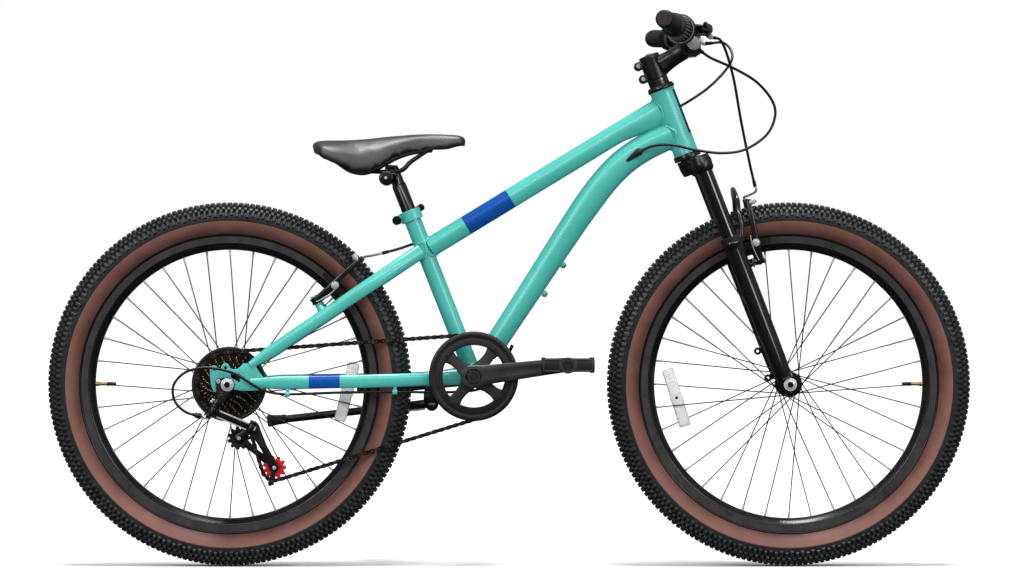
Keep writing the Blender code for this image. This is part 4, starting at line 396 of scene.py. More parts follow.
def cut_plate(edges, low, high, soft=0.0):
    """A flat plate in the plane of the wheels, from its outer edge and the edges of its holes."""
    shape = bmesh.new()
    for edge in edges:
        ring_of(shape, [Vector((point.x, low, point.z)) for point in edge])
    bmesh.ops.triangle_fill(shape, use_beauty=True, use_dissolve=False, edges=shape.edges[:],
                            normal=ACROSS)
    extruded = bmesh.ops.extrude_face_region(shape, geom=shape.faces[:])["geom"]
    moved = [part for part in extruded if isinstance(part, bmesh.types.BMVert)]
    bmesh.ops.translate(shape, verts=moved, vec=(0, high - low, 0))
    bmesh.ops.recalc_face_normals(shape, faces=shape.faces)
    return softened(shape, soft) if soft else shape


def smooth_route(points, count):
    """Evenly spaced points along a smooth curve through the given ones."""
    ends = [2 * points[0] - points[1]] + list(points) + [2 * points[-1] - points[-2]]
    fine = []
    parts = 24
    for i in range(1, len(ends) - 2):
        before, start, end, after = ends[i - 1:i + 3]
        for k in range(parts):
            t = k / parts
            fine.append(0.5 * (
                2 * start + (end - before) * t + (2 * before - 5 * start + 4 * end - after) * t ** 2
                + (3 * start - before - 3 * end + after) * t ** 3))
    fine.append(ends[-2].copy())
    travelled = [0.0]
    for a, b in zip(fine, fine[1:]):
        travelled.append(travelled[-1] + (b - a).length)
    route = []
    at = 0
    for k in range(count):
        goal = travelled[-1] * k / (count - 1)
        while at < len(fine) - 2 and travelled[at + 1] < goal:
            at += 1
        share = (goal - travelled[at]) / (travelled[at + 1] - travelled[at])
        route.append(fine[at].lerp(fine[at + 1], min(max(share, 0.0), 1.0)))
    return route


def skinned(shape, rings, closed=False):
    """Skins a row of edge rings and caps its ends, or joins the last to the first."""
    following = rings[1:] + (rings[:1] if closed else [])
    for a, b in zip(rings, following):
        bmesh.ops.bridge_loops(shape, edges=a + b)
    if not closed:
        for ring in (rings[0], rings[-1]):
            bmesh.ops.contextual_create(shape, geom=ring)
    bmesh.ops.recalc_face_normals(shape, faces=shape.faces)
    return shape


def ring_of(shape, points):
    """A closed ring of edges through points."""
    verts = [shape.verts.new(point) for point in points]
    return [shape.edges.new((verts[n], verts[(n + 1) % len(verts)])) for n in range(len(verts))]


def loft(route, widths, depths, sides=40, square=2.0):
    """A bar along a route in the wheels' plane; its sections are ellipses or, squarer, boxes."""
    shape = bmesh.new()
    rings = []
    for k, point in enumerate(route):
        along = (route[min(k + 1, len(route) - 1)] - route[max(k - 1, 0)]).normalized()
        across = (ACROSS - along * along.y).normalized()
        up = along.cross(across)
        rings.append(ring_of(shape, rounded_ring(point, across, up, widths[k] / 2, depths[k] / 2,
                                                 square, sides)))
    return skinned(shape, rings)


def tube(route, radii, sides=12, closed=False):
    """A round bar of any radius along any route, turning its sections with the bends."""
    shape = bmesh.new()
    count = len(route)
    radii = radii if isinstance(radii, (list, tuple)) else [radii] * count
    side = (route[1] - route[0]).normalized().orthogonal().normalized()
    rings = []
    for k, point in enumerate(route):
        before = route[k - 1] if closed or k else route[0]
        after = route[(k + 1) % count] if closed else route[min(k + 1, count - 1)]
        heading = (after - before).normalized()
        side = (side - heading * side.dot(heading)).normalized()
        up = heading.cross(side)
        rings.append(ring_of(shape, [
            point + (side * math.cos(turn) + up * math.sin(turn)) * radii[k]
            for turn in (2 * math.pi * n / sides for n in range(sides))]))
    return skinned(shape, rings, closed)


def fade(start, end, count):
    """Evenly stepped values between two sizes."""
    return [start + (end - start) * k / (count - 1) for k in range(count)]


def repeated(shape, centre, count, axis=ACROSS):
    """Copies a shape round an axis, evenly, a number of times in all."""
    everything = shape.verts[:] + shape.edges[:] + shape.faces[:]
    bmesh.ops.spin(
        shape, geom=everything, cent=centre, axis=axis, dvec=(0, 0, 0),
        angle=2 * math.pi * (count - 1) / count, steps=count - 1, use_duplicate=True)
    return shape


def rounded_ring(centre, side, front, wide, deep, power, count=24):
    """Points round a centre on an oval whose corners fill out with its power."""
    points = []
    for n in range(count):
        angle = 2 * math.pi * n / count
        c, s = math.cos(angle), math.sin(angle)
        grow = (abs(c) ** power + abs(s) ** power) ** (-1 / power)
        points.append(centre + side * (wide * c * grow) + front * (deep * s * grow))
    return points


def piece(name, body, shape, finishes, nodes=(), smooth=32):
    """Makes a shape a finished piece for CAD nodes, on a body, or fixed where it stands when given two."""
    mesh = bpy.data.meshes.new(name)
    shape.to_mesh(mesh)
    shape.free()
    mesh.shade_smooth()
    mesh.set_sharp_from_angle(angle=math.radians(smooth))
    for made in finishes if isinstance(finishes, (list, tuple)) else [finishes]:
        mesh.materials.append(made)
    item = bpy.data.objects.new(name, mesh)
    bpy.context.scene.collection.objects.link(item)
    if isinstance(body, tuple):
        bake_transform(item)
    else:
        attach(item, body)
    if nodes:
        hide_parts(*([nodes] if isinstance(nodes, str) else nodes))
    return item


def hex_nut(centre, direction, across_flats, height, soft=0.0004, forward=None):
    """A six-sided nut or bolt head centred on a point."""
    shape = bmesh.new()
    bmesh.ops.create_cone(
        shape, cap_ends=True, segments=6, radius1=across_flats / math.sqrt(3),
        radius2=across_flats / math.sqrt(3), depth=height, matrix=facing(centre, direction, forward))
    return softened(shape, soft, 2, 30)


def socket_bolt(centre, direction, radius, height):
    """A round bolt head with a six-sided socket in its end, standing on a point."""
    shape = bmesh.new()
    bmesh.ops.create_cone(shape, cap_ends=True, segments=24, radius1=radius, radius2=radius,
                          depth=height, matrix=Matrix.Translation((0, 0, height / 2)))
    softened(shape, radius * 0.12, 2, 50)
    top = max(shape.faces, key=lambda f: f.calc_center_median().z)
    bmesh.ops.inset_region(shape, faces=[top], thickness=radius * 0.45, depth=0)
    bmesh.ops.inset_region(shape, faces=[top], thickness=radius * 0.02, depth=-height * 0.55)
    bmesh.ops.transform(shape, verts=shape.verts, matrix=facing(centre, direction))
    return shape


# Wheels

TREAD_CELLS = 100
KNOB_HEIGHT = 0.0054
TYRE_STEPS = 168
SPOKES_PER_SIDE = 18
SPOKE_RADIUS = 0.00105
SPOKE_LAP = 0.0017
SPOKE_LEAD = math.radians(60)
FLANGE_RADIUS = 0.0225
RIM_FOOT = 0.2363


def tyre_section():
    """Points of (radius, side) over the tyre, from one bead over the crown to the other."""
    half = [(0.2545, 0.0158), (0.2630, 0.0164), (0.2655, 0.0195), (0.2700, 0.0252),
            (0.2765, 0.0308), (0.2845, 0.0347), (0.2862, 0.0356), (0.2885, 0.0358),
            (0.2900, 0.0353), (0.2960, 0.0353), (0.3025, 0.0318), (0.3080, 0.0254),
            (0.3122, 0.0168), (0.3141, 0.0080), (0.3145, 0.0)]
    points = half + [(radius, -side) for radius, side in reversed(half[:-1])]
    return [Vector((radius, side, 0)) for radius, side in points]


def on_tread(side):
    """The radius of the tyre's skin at a distance from its middle, and the slope there."""
    section = smooth_route(tyre_section(), 240)
    crown = [p for p in section if p.x > 0.293]
    nearest = min(range(1, len(crown) - 1), key=lambda n: abs(crown[n].y - side))
    along = (crown[nearest + 1] - crown[nearest - 1]).normalized()
    return crown[nearest], Vector((-along.y, along.x, 0))


def knob(centre, side, turn, width, length, height):
    """One tread block on the tyre's skin, its foot sunk and its top edges cut back."""
    foot, out = on_tread(side)
    if out.x < 0:
        out = -out
    shape = bmesh.new()
    bmesh.ops.create_cube(shape, size=1.0)
    bmesh.ops.scale(shape, verts=shape.verts, vec=(width, length, height + 0.002))
    top = [v for v in shape.verts if v.co.z > 0]
    bmesh.ops.scale(shape, verts=top, vec=(0.86, 0.86, 1))
    edges = [e for e in shape.edges if all(v.co.z > 0 for v in e.verts)]
    bmesh.ops.bevel(shape, geom=edges, offset=0.0006, offset_type="OFFSET", segments=1,
                    profile=0.5, affect="EDGES", material=-1)
    place = centre + Vector((foot.x, foot.y, 0)) + out * (height / 2 - 0.001)
    across = Vector((-out.y, out.x, 0))
    bmesh.ops.transform(shape, verts=shape.verts, matrix=facing(place, out, across))
    bmesh.ops.rotate(shape, cent=centre, verts=shape.verts, matrix=Matrix.Rotation(turn, 3, "Y"))
    return shape


def tread_blocks(centre):
    """The knobs: one short stretch of the pattern, copied round the wheel."""
    pitch = math.pi / TREAD_CELLS
    rows = [(0.0048, 0.0, 0.0074, 0.0076), (0.0044, 1.0, 0.0066, 0.0082),
            (0.0134, 0.12, 0.0070, 0.0066), (0.0138, 1.08, 0.0078, 0.0058),
            (0.0216, 0.46, 0.0066, 0.0066), (0.0212, 1.50, 0.0074, 0.0056),
            (0.0290, 0.02, 0.0078, 0.0062), (0.0286, 1.04, 0.0068, 0.0066),
            (0.0338, 0.50, 0.0096, 0.0052), (0.0344, 1.52, 0.0112, 0.0058)]
    cells = []
    for side, step, width, length in rows:
        for sign in (1, -1) if side else (1,):
            height = KNOB_HEIGHT if side < 0.030 else KNOB_HEIGHT * 0.62
            cells.append(knob(centre, sign * side, step * pitch, width, length, height))
    return repeated(merged(*cells), centre, TREAD_CELLS)


def rim_section():
    """Points of (radius, side) round the rim: foot, wall, brake track, lip and inner floor."""
    half = [(0.2363, 0.0), (0.2363, 0.0062), (0.2372, 0.0088), (0.2410, 0.0130), (0.2452, 0.0166),
            (0.2466, 0.0177), (0.2474, 0.0179), (0.2478, 0.0174), (0.2482, 0.0183),
            (0.2600, 0.0188), (0.2606, 0.0182), (0.2611, 0.0187), (0.2620, 0.0190),
            (0.2627, 0.0184), (0.2627, 0.0170), (0.2616, 0.0166), (0.2550, 0.0164),
            (0.2530, 0.0110), (0.2526, 0.0)]
    return half + [(radius, -side) for radius, side in reversed(half[1:-1])]


def hub_section(left, right, left_end, right_end, shoulder):
    """Points of (radius, side) along a hub shell with two flanges."""
    core = 0.0053
    rim = FLANGE_RADIUS
    waist = 0.0118
    return [
        (core, -right_end), (shoulder - 0.001, -right_end), (shoulder, -right_end + 0.001),
        (shoulder, -right - 0.0032), (rim - 0.0045, -right - 0.0018), (rim - 0.0006, -right - 0.0016),
        (rim, -right - 0.0010), (rim, -right + 0.0010), (rim - 0.0006, -right + 0.0016),
        (rim - 0.0045, -right + 0.0018), (waist + 0.0024, -right + 0.0052), (waist, -right + 0.0095),
        (waist * 0.93, (left - right) / 2), (waist, left - 0.0095), (waist + 0.0024, left - 0.0052),
        (rim - 0.0045, left - 0.0018), (rim - 0.0006, left - 0.0016), (rim, left - 0.0010),
        (rim, left + 0.0010), (rim - 0.0006, left + 0.0016), (rim - 0.0045, left + 0.0018),
        (shoulder * 0.92, left + 0.0032), (shoulder * 0.86, left_end - 0.001),
        (shoulder * 0.82, left_end), (core, left_end)]


def spoke_set(centre, flange, sign, start_angle):
    """The crossed spokes of one side, each with its head at the flange and nipple at the rim."""
    shapes = []
    for k in range(SPOKES_PER_SIDE):
        angle = start_angle + 2 * math.pi * k / SPOKES_PER_SIDE
        lead = SPOKE_LEAD if k % 2 else -SPOKE_LEAD
        lap = SPOKE_LAP if k % 2 else -SPOKE_LAP
        inner = around(centre, FLANGE_RADIUS - 0.0022, angle + lead, sign * (flange + lap))
        outer = around(centre, RIM_FOOT + 0.002, angle, sign * 0.0038)
        run = (outer - inner).normalized()
        shapes.append(tinted(rod(inner, outer, SPOKE_RADIUS, 8), 0))
        shapes.append(tinted(rod(outer - run * 0.0125, outer, 0.0017, 8, 0.0021), 1))
        head = inner + ACROSS * (sign * lap * 0.5)
        shapes.append(tinted(rod(head - ACROSS * 0.0012, head + ACROSS * 0.0012, 0.0019, 8), 0))
    return shapes


def reflector(centre, reach, angle, tilt):
    """A clear wheel reflector clipped across the spokes, with its ribbed lens and its frame."""
    length, width = 0.106, 0.021
    middle = around(centre, reach, angle, 0.0)
    out = Vector((math.cos(tilt), 0, math.sin(tilt)))
    body = tinted(block(middle, (width, length, 0.009), ACROSS, out, 0.0035), 0)
    faces = [tinted(block(middle + ACROSS * (side * 0.0042), (width - 0.004, length - 0.007, 0.0026),
                          ACROSS, out, 0.0008), 0) for side in (-1, 1)]
    along = out.cross(ACROSS)
    ribs = []
    for n in range(-6, 7):
        for side in (-1, 1):
            spot = middle + along * (n * 0.0072) + ACROSS * (side * 0.0054)
            ribs.append(tinted(rod(spot - out * 0.0070, spot + out * 0.0070, 0.0006, 6), 0))
    clip = tinted(block(middle, (width + 0.002, 0.0150, 0.0102), ACROSS, out, 0.0020), 0)
    pin = tinted(rod(middle - ACROSS * 0.0062, middle + ACROSS * 0.0062, 0.0026, 16, None, 0.0004), 1)
    return merged(body, *faces, *ribs, clip, pin)


def valve(centre, angle):
    """A tyre valve standing in from the rim, with its nut and cap."""
    root = around(centre, RIM_FOOT + 0.006, angle)
    end = around(centre, RIM_FOOT - 0.036, angle)
    run = (end - root).normalized()
    stem = tinted(tube([root, root + run * 0.010, root + run * 0.014, root + run * 0.026],
                       [0.0042, 0.0040, 0.0030, 0.0029], 16), 0)
    cap = tinted(rod(root + run * 0.026, end, 0.0036, 16, 0.0030, 0.0006), 1)
    return merged(stem, cap)


def dress_wheel(name, centre, flanges, ends, shoulder, reflector_place, valve_angle):
    """The tyre with its tread, the rim, the hub with its spokes, and what is clipped to them."""
    body = name + "_wheel"
    section = [(p.x, p.y) for p in smooth_route(tyre_section(), 56)]
    casing = turned(section, centre, ACROSS, TYRE_STEPS, slots=casing_slot)
    wall = sidewall_finish(name + "_brown_sidewall", centre)
    piece(name + "_tyre_casing", body, casing, [CASING, wall], name + "_tyre", 50)
    piece(name + "_tyre_tread", body, tread_blocks(centre), TREAD, name + "_tyre", 25)
    track = turned_finish(name + "_brake_track", centre, linear(58, 54, 55), linear(130, 126, 128),
                          0.30, 0.9, 0.00022, 0.00002)
    rim = turned(rim_section(), centre, ACROSS, TYRE_STEPS, slots=rim_slot)
    piece(name + "_rim_hoop", body, rim, [BLACK_COAT, track], name + "_rim")
    shell = tinted(turned(hub_section(*flanges, *ends, shoulder), centre, ACROSS, 64), 0)
    piece(name + "_hub_shell", body, shell, BLACK_ALLOY, name + "_hub_and_spokes")
    step = 2 * math.pi / SPOKES_PER_SIDE
    spokes = spoke_set(centre, flanges[0], 1, 0.0) + spoke_set(centre, flanges[1], -1, step / 2)
    piece(name + "_spokes", body, merged(*spokes), [STEEL, SILVER],
          name + "_hub_and_spokes")
    piece(name + "_reflector", body, reflector(centre, *reflector_place), [CLEAR, SMOKY])
    piece(name + "_valve", body, valve(centre, valve_angle), [BRASS, RUBBER])


def casing_slot(radius, side):
    """Brown on the walls, black from the tread's foot outwards and in the bead."""
    return 1 if 0.2638 < radius < 0.2858 else 0


def rim_slot(radius, side):
    """Bare metal on the brake track, black elsewhere."""
    return 1 if 0.2482 < radius < 0.2600 and abs(side) > 0.0180 else 0


FRONT_REFLECTOR = (0.1987, math.radians(187.0), math.radians(17.5))
REAR_REFLECTOR = (0.2067, math.radians(-3.9), math.radians(-14.0))

dress_wheel("front", FRONT_AXLE, (0.034, 0.034), (0.046, 0.046), 0.010, FRONT_REFLECTOR, 0.0)
dress_wheel("rear", REAR_AXLE, (0.034, 0.0205), (0.060, 0.058), 0.0165, REAR_REFLECTOR, math.pi)


# Gears and chain

CHAINLINE = 0.052
LOW_COG_Y = 0.030
COG_SPACING = 0.005
COG_TEETH = (28, 24, 22, 20, 18, 16, 14)
RING_TEETH = 36
JOCKEY_TEETH = 11
LOWER_JOCKEY = REAR_AXLE + Vector((0.0802, -LOW_COG_Y, -0.1464))
UPPER_JOCKEY = REAR_AXLE + Vector((0.0179, -LOW_COG_Y, -0.0944))
CAGE_PIVOT = REAR_AXLE + Vector((0.044, -0.040, -0.076))
LINK_START = REAR_AXLE + Vector((-0.025, -0.088, -0.046))
LINK_END = REAR_AXLE + Vector((0.040, -0.052, -0.076))
HANGER_BOLT = REAR_AXLE + Vector((-0.0097, 0, -0.0216))


def pitch_radius(teeth):
    """The radius on which a sprocket carries its chain."""
    return CHAIN_PITCH / (2 * math.sin(math.pi / teeth))


def toothed(centre, teeth, inner, low, high, phase=0.0, point=0.55, clear=0.0):
    """A sprocket: roller valleys and blunt teeth round a bored plate."""
    pitch = pitch_radius(teeth)
    roller = 0.0040
    outline = []
    for tooth in range(teeth):
        start = phase + 2 * math.pi * tooth / teeth
        half = math.pi / teeth
        for share, reach in ((0.0, pitch - roller), (0.16, pitch - roller * 0.90),
                             (0.38, pitch - roller * 0.42), (0.62, pitch + roller * 0.18),
                             (0.84, pitch + roller * point), (1.0, pitch + roller * (point + 0.12)),
                             (1.16, pitch + roller * point), (1.38, pitch + roller * 0.18),
                             (1.62, pitch - roller * 0.42), (1.84, pitch - roller * 0.90)):
            outline.append((reach - clear, start + half * share))
    bored = [(inner, angle) for _, angle in outline[::4]]
    edge = [around(centre, reach, angle) for reach, angle in outline]
    hole = [around(centre, reach, angle) for reach, angle in bored]
    return cut_plate([edge, hole], low, high)


def dress_freewheel():
    """Seven toothed sprockets on a carrier, with painted glints on their tooth tips, a lockring, and the
    disc that guards the spokes.
    """
    shapes = []
    for k, teeth in enumerate(COG_TEETH):
        level = -LOW_COG_Y - COG_SPACING * k
        root = pitch_radius(teeth) - 0.0062
        phase = 0.11 * k
        shapes.append(tinted(toothed(REAR_AXLE, teeth, root, level - 0.0009, level + 0.0009,
                                     phase), 0))
        # Small bright gold blocks on each tooth tip: a painted glint.
        turn = phase + math.pi / teeth
        tip = around(REAR_AXLE, pitch_radius(teeth) - 0.0012, turn, level)
        out = around(Vector(), 1.0, turn)
        shapes.append(tinted(repeated(block(tip, (0.0014, 0.0022, 0.0044), out, out.cross(ACROSS),
                                            0.0003), REAR_AXLE, teeth), 1))
        shapes.append(tinted(ring_solid(0.019, root + 0.0004, level - 0.0008, level + 0.0008,
                                        REAR_AXLE, ACROSS, 64), 0))
    low = -LOW_COG_Y - COG_SPACING * 6
    shapes.append(tinted(ring_solid(0.0168, 0.0225, low, -LOW_COG_Y, REAR_AXLE, ACROSS, 48), 0))
    lock = [(0.0168, low - 0.0010), (0.0168, low - 0.0024), (0.0205, low - 0.0024),
            (0.0212, low - 0.0017), (0.0212, low - 0.0010)]
    shapes.append(tinted(turned(lock, REAR_AXLE, ACROSS, 48), 0))
    piece("toothed_freewheel", "freewheel", merged(*shapes), [COG_STEEL, TOOTH_TIP_GLINT_PAINT],
          "freewheel")

    level = -(0.0205 + LOW_COG_Y - 0.0035) / 2 - 0.0008
    disc = [(0.0170, level - 0.0008), (0.0600, level - 0.0008), (0.0640, level - 0.0014),
            (0.0655, level - 0.0014), (0.0660, level - 0.0008), (0.0660, level + 0.0008),
            (0.0640, level + 0.0008), (0.0170, level + 0.0008)]
    rim = ring_solid(0.0612, 0.0656, level - 0.0022, level - 0.0012, REAR_AXLE, ACROSS, 96, 0.0003)
    guard = merged(tinted(turned(disc, REAR_AXLE, ACROSS, 96), 0), tinted(rim, 1))
    piece("spoke_guard_disc", "rear_wheel", guard, [SMOKY, MATT_BLACK],
          "spoke_protector")


def common_tangent(here, there):
    """The straight run between two wheels, leaving the first and meeting the second."""
    centre_a, radius_a, turn_a = here[0], here[1], here[2]
    centre_b, radius_b, turn_b = there[0], there[1], there[2]
    run = Vector((centre_b.x - centre_a.x, 0, centre_b.z - centre_a.z))
    heading = math.atan2(run.z, run.x)
    lean = math.asin((turn_a * radius_a - turn_b * radius_b) / run.length)
    normal = Vector((math.sin(heading + lean), 0, -math.cos(heading + lean)))
    return centre_a + normal * (turn_a * radius_a), centre_b + normal * (turn_b * radius_b)


def chain_path():
    """The chain's loop round the ring, both jockey wheels and the low sprocket."""
    wheels = [
        (BOTTOM_BRACKET, pitch_radius(RING_TEETH), -1, -CHAINLINE),
        (LOWER_JOCKEY, pitch_radius(JOCKEY_TEETH), -1, -LOW_COG_Y),
        (UPPER_JOCKEY, pitch_radius(JOCKEY_TEETH), 1, -LOW_COG_Y),
        (REAR_AXLE, pitch_radius(COG_TEETH[0]), -1, -LOW_COG_Y)]
    joins = [common_tangent(here, wheels[(k + 1) % 4]) for k, here in enumerate(wheels)]
    route = []
    for k, (centre, radius, turn, level) in enumerate(wheels):
        start, end = joins[k - 1][1], joins[k][0]
        first = math.atan2(start.z - centre.z, start.x - centre.x)
        sweep = (math.atan2(end.z - centre.z, end.x - centre.x) - first) % (2 * math.pi)
        sweep = sweep - 2 * math.pi if turn < 0 else sweep
        for n in range(49):
            point = around(centre, radius, first + sweep * n / 48)
            route.append(Vector((point.x, level, point.z)))
    return route


def spaced(route, spacing):
    """Points at an even spacing along a closed route, as near to the spacing as fits."""
    loop = route + [route[0]]
    travelled = [0.0]
    for a, b in zip(loop, loop[1:]):
        travelled.append(travelled[-1] + (b - a).length)
    count = 2 * round(travelled[-1] / spacing / 2)
    points = []
    at = 0
    for k in range(count):
        goal = travelled[-1] * k / count
        while travelled[at + 1] < goal:
            at += 1
        share = (goal - travelled[at]) / max(travelled[at + 1] - travelled[at], 1e-9)
        points.append(loop[at].lerp(loop[at + 1], share))
    return points


def link_plate(start, end, offset, waist, thickness):
    """One waisted side plate of a chain link, between two pins."""
    run = end - start
    half = run.length / 2
    end_radius = 0.0041
    outline = []
    for sign in (1, -1):
        for angle in (-75, -30, 0, 30, 75):
            turn = math.radians(angle)
            outline.append((sign * (half + end_radius * math.cos(turn)),
                            sign * end_radius * math.sin(turn)))
        outline.append((0.0, sign * waist))
    shape = bmesh.new()
    face = shape.faces.new([shape.verts.new((x, y, -thickness / 2)) for x, y in outline])
    top = bmesh.ops.extrude_face_region(shape, geom=[face])["geom"]
    bmesh.ops.translate(shape, verts=[v for v in top if isinstance(v, bmesh.types.BMVert)],
                        vec=(0, 0, thickness))
    bmesh.ops.recalc_face_normals(shape, faces=shape.faces)
    across = (ACROSS - run.normalized() * run.normalized().y).normalized()
    bmesh.ops.transform(shape, verts=shape.verts,
                        matrix=facing((start + end) / 2 + across * offset, across, run))
    return shape


def dress_chain():
    """The roller chain, link by link, on its run round the drive."""
    pins = spaced(chain_path(), CHAIN_PITCH)
    shapes = []
    for k, start in enumerate(pins):
        end = pins[(k + 1) % len(pins)]
        offset = 0.0028 if k % 2 else 0.0019
        for sign in (-1, 1):
            shapes.append(tinted(link_plate(start, end, sign * offset, 0.0029, 0.0009), k % 2))
        run = (end - start).normalized()
        across = (ACROSS - run * run.y).normalized()
        shapes.append(tinted(rod(start - across * 0.0035, start + across * 0.0035, 0.0017, 8), 0))
        shapes.append(tinted(rod(start - across * 0.0014, start + across * 0.0014, 0.0038, 10), 0))
    piece("roller_chain", "frame", merged(*shapes), [CHAIN_STEEL, COG_STEEL], "chain")


dress_freewheel()
dress_chain()


# Frame

HEAD_LENGTH = 0.119
HEAD_RADIUS = 0.0218
TOP_TUBE_RADIUS = 0.0175
FLARE = 0.013
SEAT_TUBE_RADIUS = 0.015
SHELL_RADIUS = 0.020
SHELL_WIDTH = 0.073
DOWN_TUBE_DEPTH = 0.0475
DOWN_TUBE_LOW_DEPTH = 0.0365
DOWN_TUBE_WIDTH = 0.043
CHAINSTAY_DEPTH = 0.0235
CHAINSTAY_WIDTH = 0.016
SEATSTAY_DEPTH = 0.026
SEATSTAY_WIDTH = 0.017
REAR_HUB_WIDTH = 0.135
DROPOUT_THICKNESS = 0.006
SEATSTAY_TOP = 0.2400
TOP_TUBE_START = seat(0.2365, 0)
TOP_TUBE_END = steer(0.095, 0)
PLATE_Y = (REAR_HUB_WIDTH + DROPOUT_THICKNESS) / 2
STAY_BESIDE = 0.074 / 2 + 0.006


def down_tube_curve(share):
    """The down tube's centre line: straight from the crank axis, then bent in to the head tube."""
    start, end = BOTTOM_BRACKET, steer(0.040, 0)
    low, high = math.radians(56), math.radians(22)
    first = start + Vector((math.cos(low), 0, math.sin(low))) * 0.42
    second = end - Vector((math.cos(high), 0, math.sin(high))) * 0.15
    back = 1 - share
    return (start * back ** 3 + first * (3 * back * back * share)
            + second * (3 * back * share * share) + end * share ** 3)


def boss_place(share):
    """Where a bottle boss stands: the down tube's centre there and the way out of it."""
    centre = down_tube_curve(share)
    return centre, ACROSS.cross((down_tube_curve(share + 0.01) - centre).normalized())


def beside_top_tube(share, up, side):
    """A point at a share of the top tube's length, off its centre line by two distances."""
    run = TOP_TUBE_END - TOP_TUBE_START
    along = run.normalized()
    return TOP_TUBE_START + run * share + Vector((-along.z, 0, along.x)) * up + ACROSS * side


def chainstay_route(sign, count):
    """The centre line of a chainstay, bowed round the tyre and drawn in behind the cranks."""
    rise = BOTTOM_BRACKET.z
    front = BOTTOM_BRACKET.x
    points = [
        (REAR_AXLE.x + 0.040, PLATE_Y, REAR_AXLE.z + 0.003),
        (REAR_AXLE.x + 0.150, PLATE_Y - 0.006, rise - 0.010),
        (front - 0.150, STAY_BESIDE + CHAINSTAY_WIDTH / 2, rise - 0.0075),
        (front - 0.082, CHAINLINE - 0.0035 - CHAINSTAY_WIDTH / 2 - 0.0020, rise - 0.005),
        (front, SHELL_WIDTH / 2 - CHAINSTAY_WIDTH / 2 - 0.004, rise)]
    return smooth_route([Vector((x, sign * y, z)) for x, y, z in points], count)


def seatstay_axes():
    """The seatstay's start, its direction and the direction square to it, away from the wheel."""
    foot = REAR_AXLE + Vector((0.040, 0, 0.034))
    along = (seat(SEATSTAY_TOP, 0) - foot).normalized()
    return foot, along, Vector((-along.z, 0, along.x))


def seatstay_route(sign, count):
    """The centre line of a seatstay, from the dropout past the tyre to the seat tube."""
    foot = seatstay_axes()[0]
    run = seat(SEATSTAY_TOP, 0) - foot
    beside = STAY_BESIDE + SEATSTAY_WIDTH / 2
    sides = ((0.0, PLATE_Y), (0.25, PLATE_Y - 0.006), (0.50, beside), (0.66, beside - 0.001),
             (0.84, beside * 0.66), (1.0, SEATSTAY_WIDTH / 2 + 0.002))
    return smooth_route([foot + run * share + ACROSS * (sign * y) for share, y in sides], count)


WELD_RIPPLE = 0.00035


def weld_bead(points, size=0.0022):
    """A stacked weld bead: a closed bar through points, rippled in thickness as a weld is."""
    route = smooth_route(points + points[:1], 8 * len(points) + 1)[:-1]
    radii = [size + WELD_RIPPLE * math.sin(2 * math.pi * k / 3) for k in range(len(route))]
    return tube(route, radii, 8, True)


def meeting(centre, along, width, depth, base, axis, reach, count=20):
    """Where an oval bar along a direction meets a round one: a ring of points on the round one."""
    along = along.normalized()
    axis = axis.normalized()
    across = (ACROSS - along * along.y).normalized()
    up = along.cross(across)
    flat_run = along - axis * along.dot(axis)
    points = []
    for n in range(count):
        angle = 2 * math.pi * n / count
        start = centre + across * (math.cos(angle) * width / 2) + up * (math.sin(angle) * depth / 2)
        away = start - base
        away = away - axis * away.dot(axis)
        a = flat_run.dot(flat_run)
        b = 2 * away.dot(flat_run)
        c = away.dot(away) - reach * reach
        inside = b * b - 4 * a * c
        if inside < 0:
            continue
        points.append(start + along * ((-b - math.sqrt(inside)) / (2 * a)))
    return points


def banded(shape, slot, first, last, axis_point, direction):
    """Paints the faces that lie between two distances along a direction."""
    for cut in (first, last):
        spot = axis_point + direction * cut
        everything = shape.verts[:] + shape.edges[:] + shape.faces[:]
        bmesh.ops.bisect_plane(shape, geom=everything, plane_co=spot, plane_no=direction)
    for face in shape.faces:
        if first < (face.calc_center_median() - axis_point).dot(direction) < last:
            face.material_index = slot
    return shape


def head_section():
    """Points of (radius, height) over the head tube and its pressed headset cups."""
    top = HEAD_LENGTH
    return [
        (0.0150, -0.0098), (0.0236, -0.0098), (0.0243, -0.0090), (0.0243, -0.0018),
        (0.0236, -0.0006), (0.0226, -0.0004), (0.0224, 0.0004), (0.0218, 0.0016),
        (0.0218, top - 0.0016), (0.0224, top - 0.0004), (0.0226, top + 0.0004),
        (0.0238, top + 0.0008), (0.0243, top + 0.0018), (0.0240, top + 0.0060),
        (0.0222, top + 0.0090), (0.0205, top + 0.0098), (0.0150, top + 0.0098)]


def head_slot(radius, height):
    """Black headset cups on an enamelled tube."""
    return 0 if -0.0001 < height < HEAD_LENGTH + 0.0001 else 1


def paint_head_stripe(shape):
    """A navy stripe down the front of the head tube."""
    low, high, spread = 0.031, 0.114, math.radians(38)
    cuts = [(HEAD_FOOT + STEER_UP * low, STEER_UP), (HEAD_FOOT + STEER_UP * high, STEER_UP)]
    for sign in (-1, 1):
        edge = STEER_FORWARD * math.cos(spread) + ACROSS * (sign * math.sin(spread))
        cuts.append((HEAD_FOOT, edge.cross(STEER_UP)))
    for spot, normal in cuts:
        everything = shape.verts[:] + shape.edges[:] + shape.faces[:]
        bmesh.ops.bisect_plane(shape, geom=everything, plane_co=spot, plane_no=normal)
    for face in shape.faces:
        away = face.calc_center_median() - HEAD_FOOT
        forward = away.dot(STEER_FORWARD)
        if low < away.dot(STEER_UP) < high and math.hypot(forward, away.y) > HEAD_RADIUS - 0.001 \
                and forward > 0 and abs(math.atan2(away.y, forward)) < spread:
            face.material_index = 2


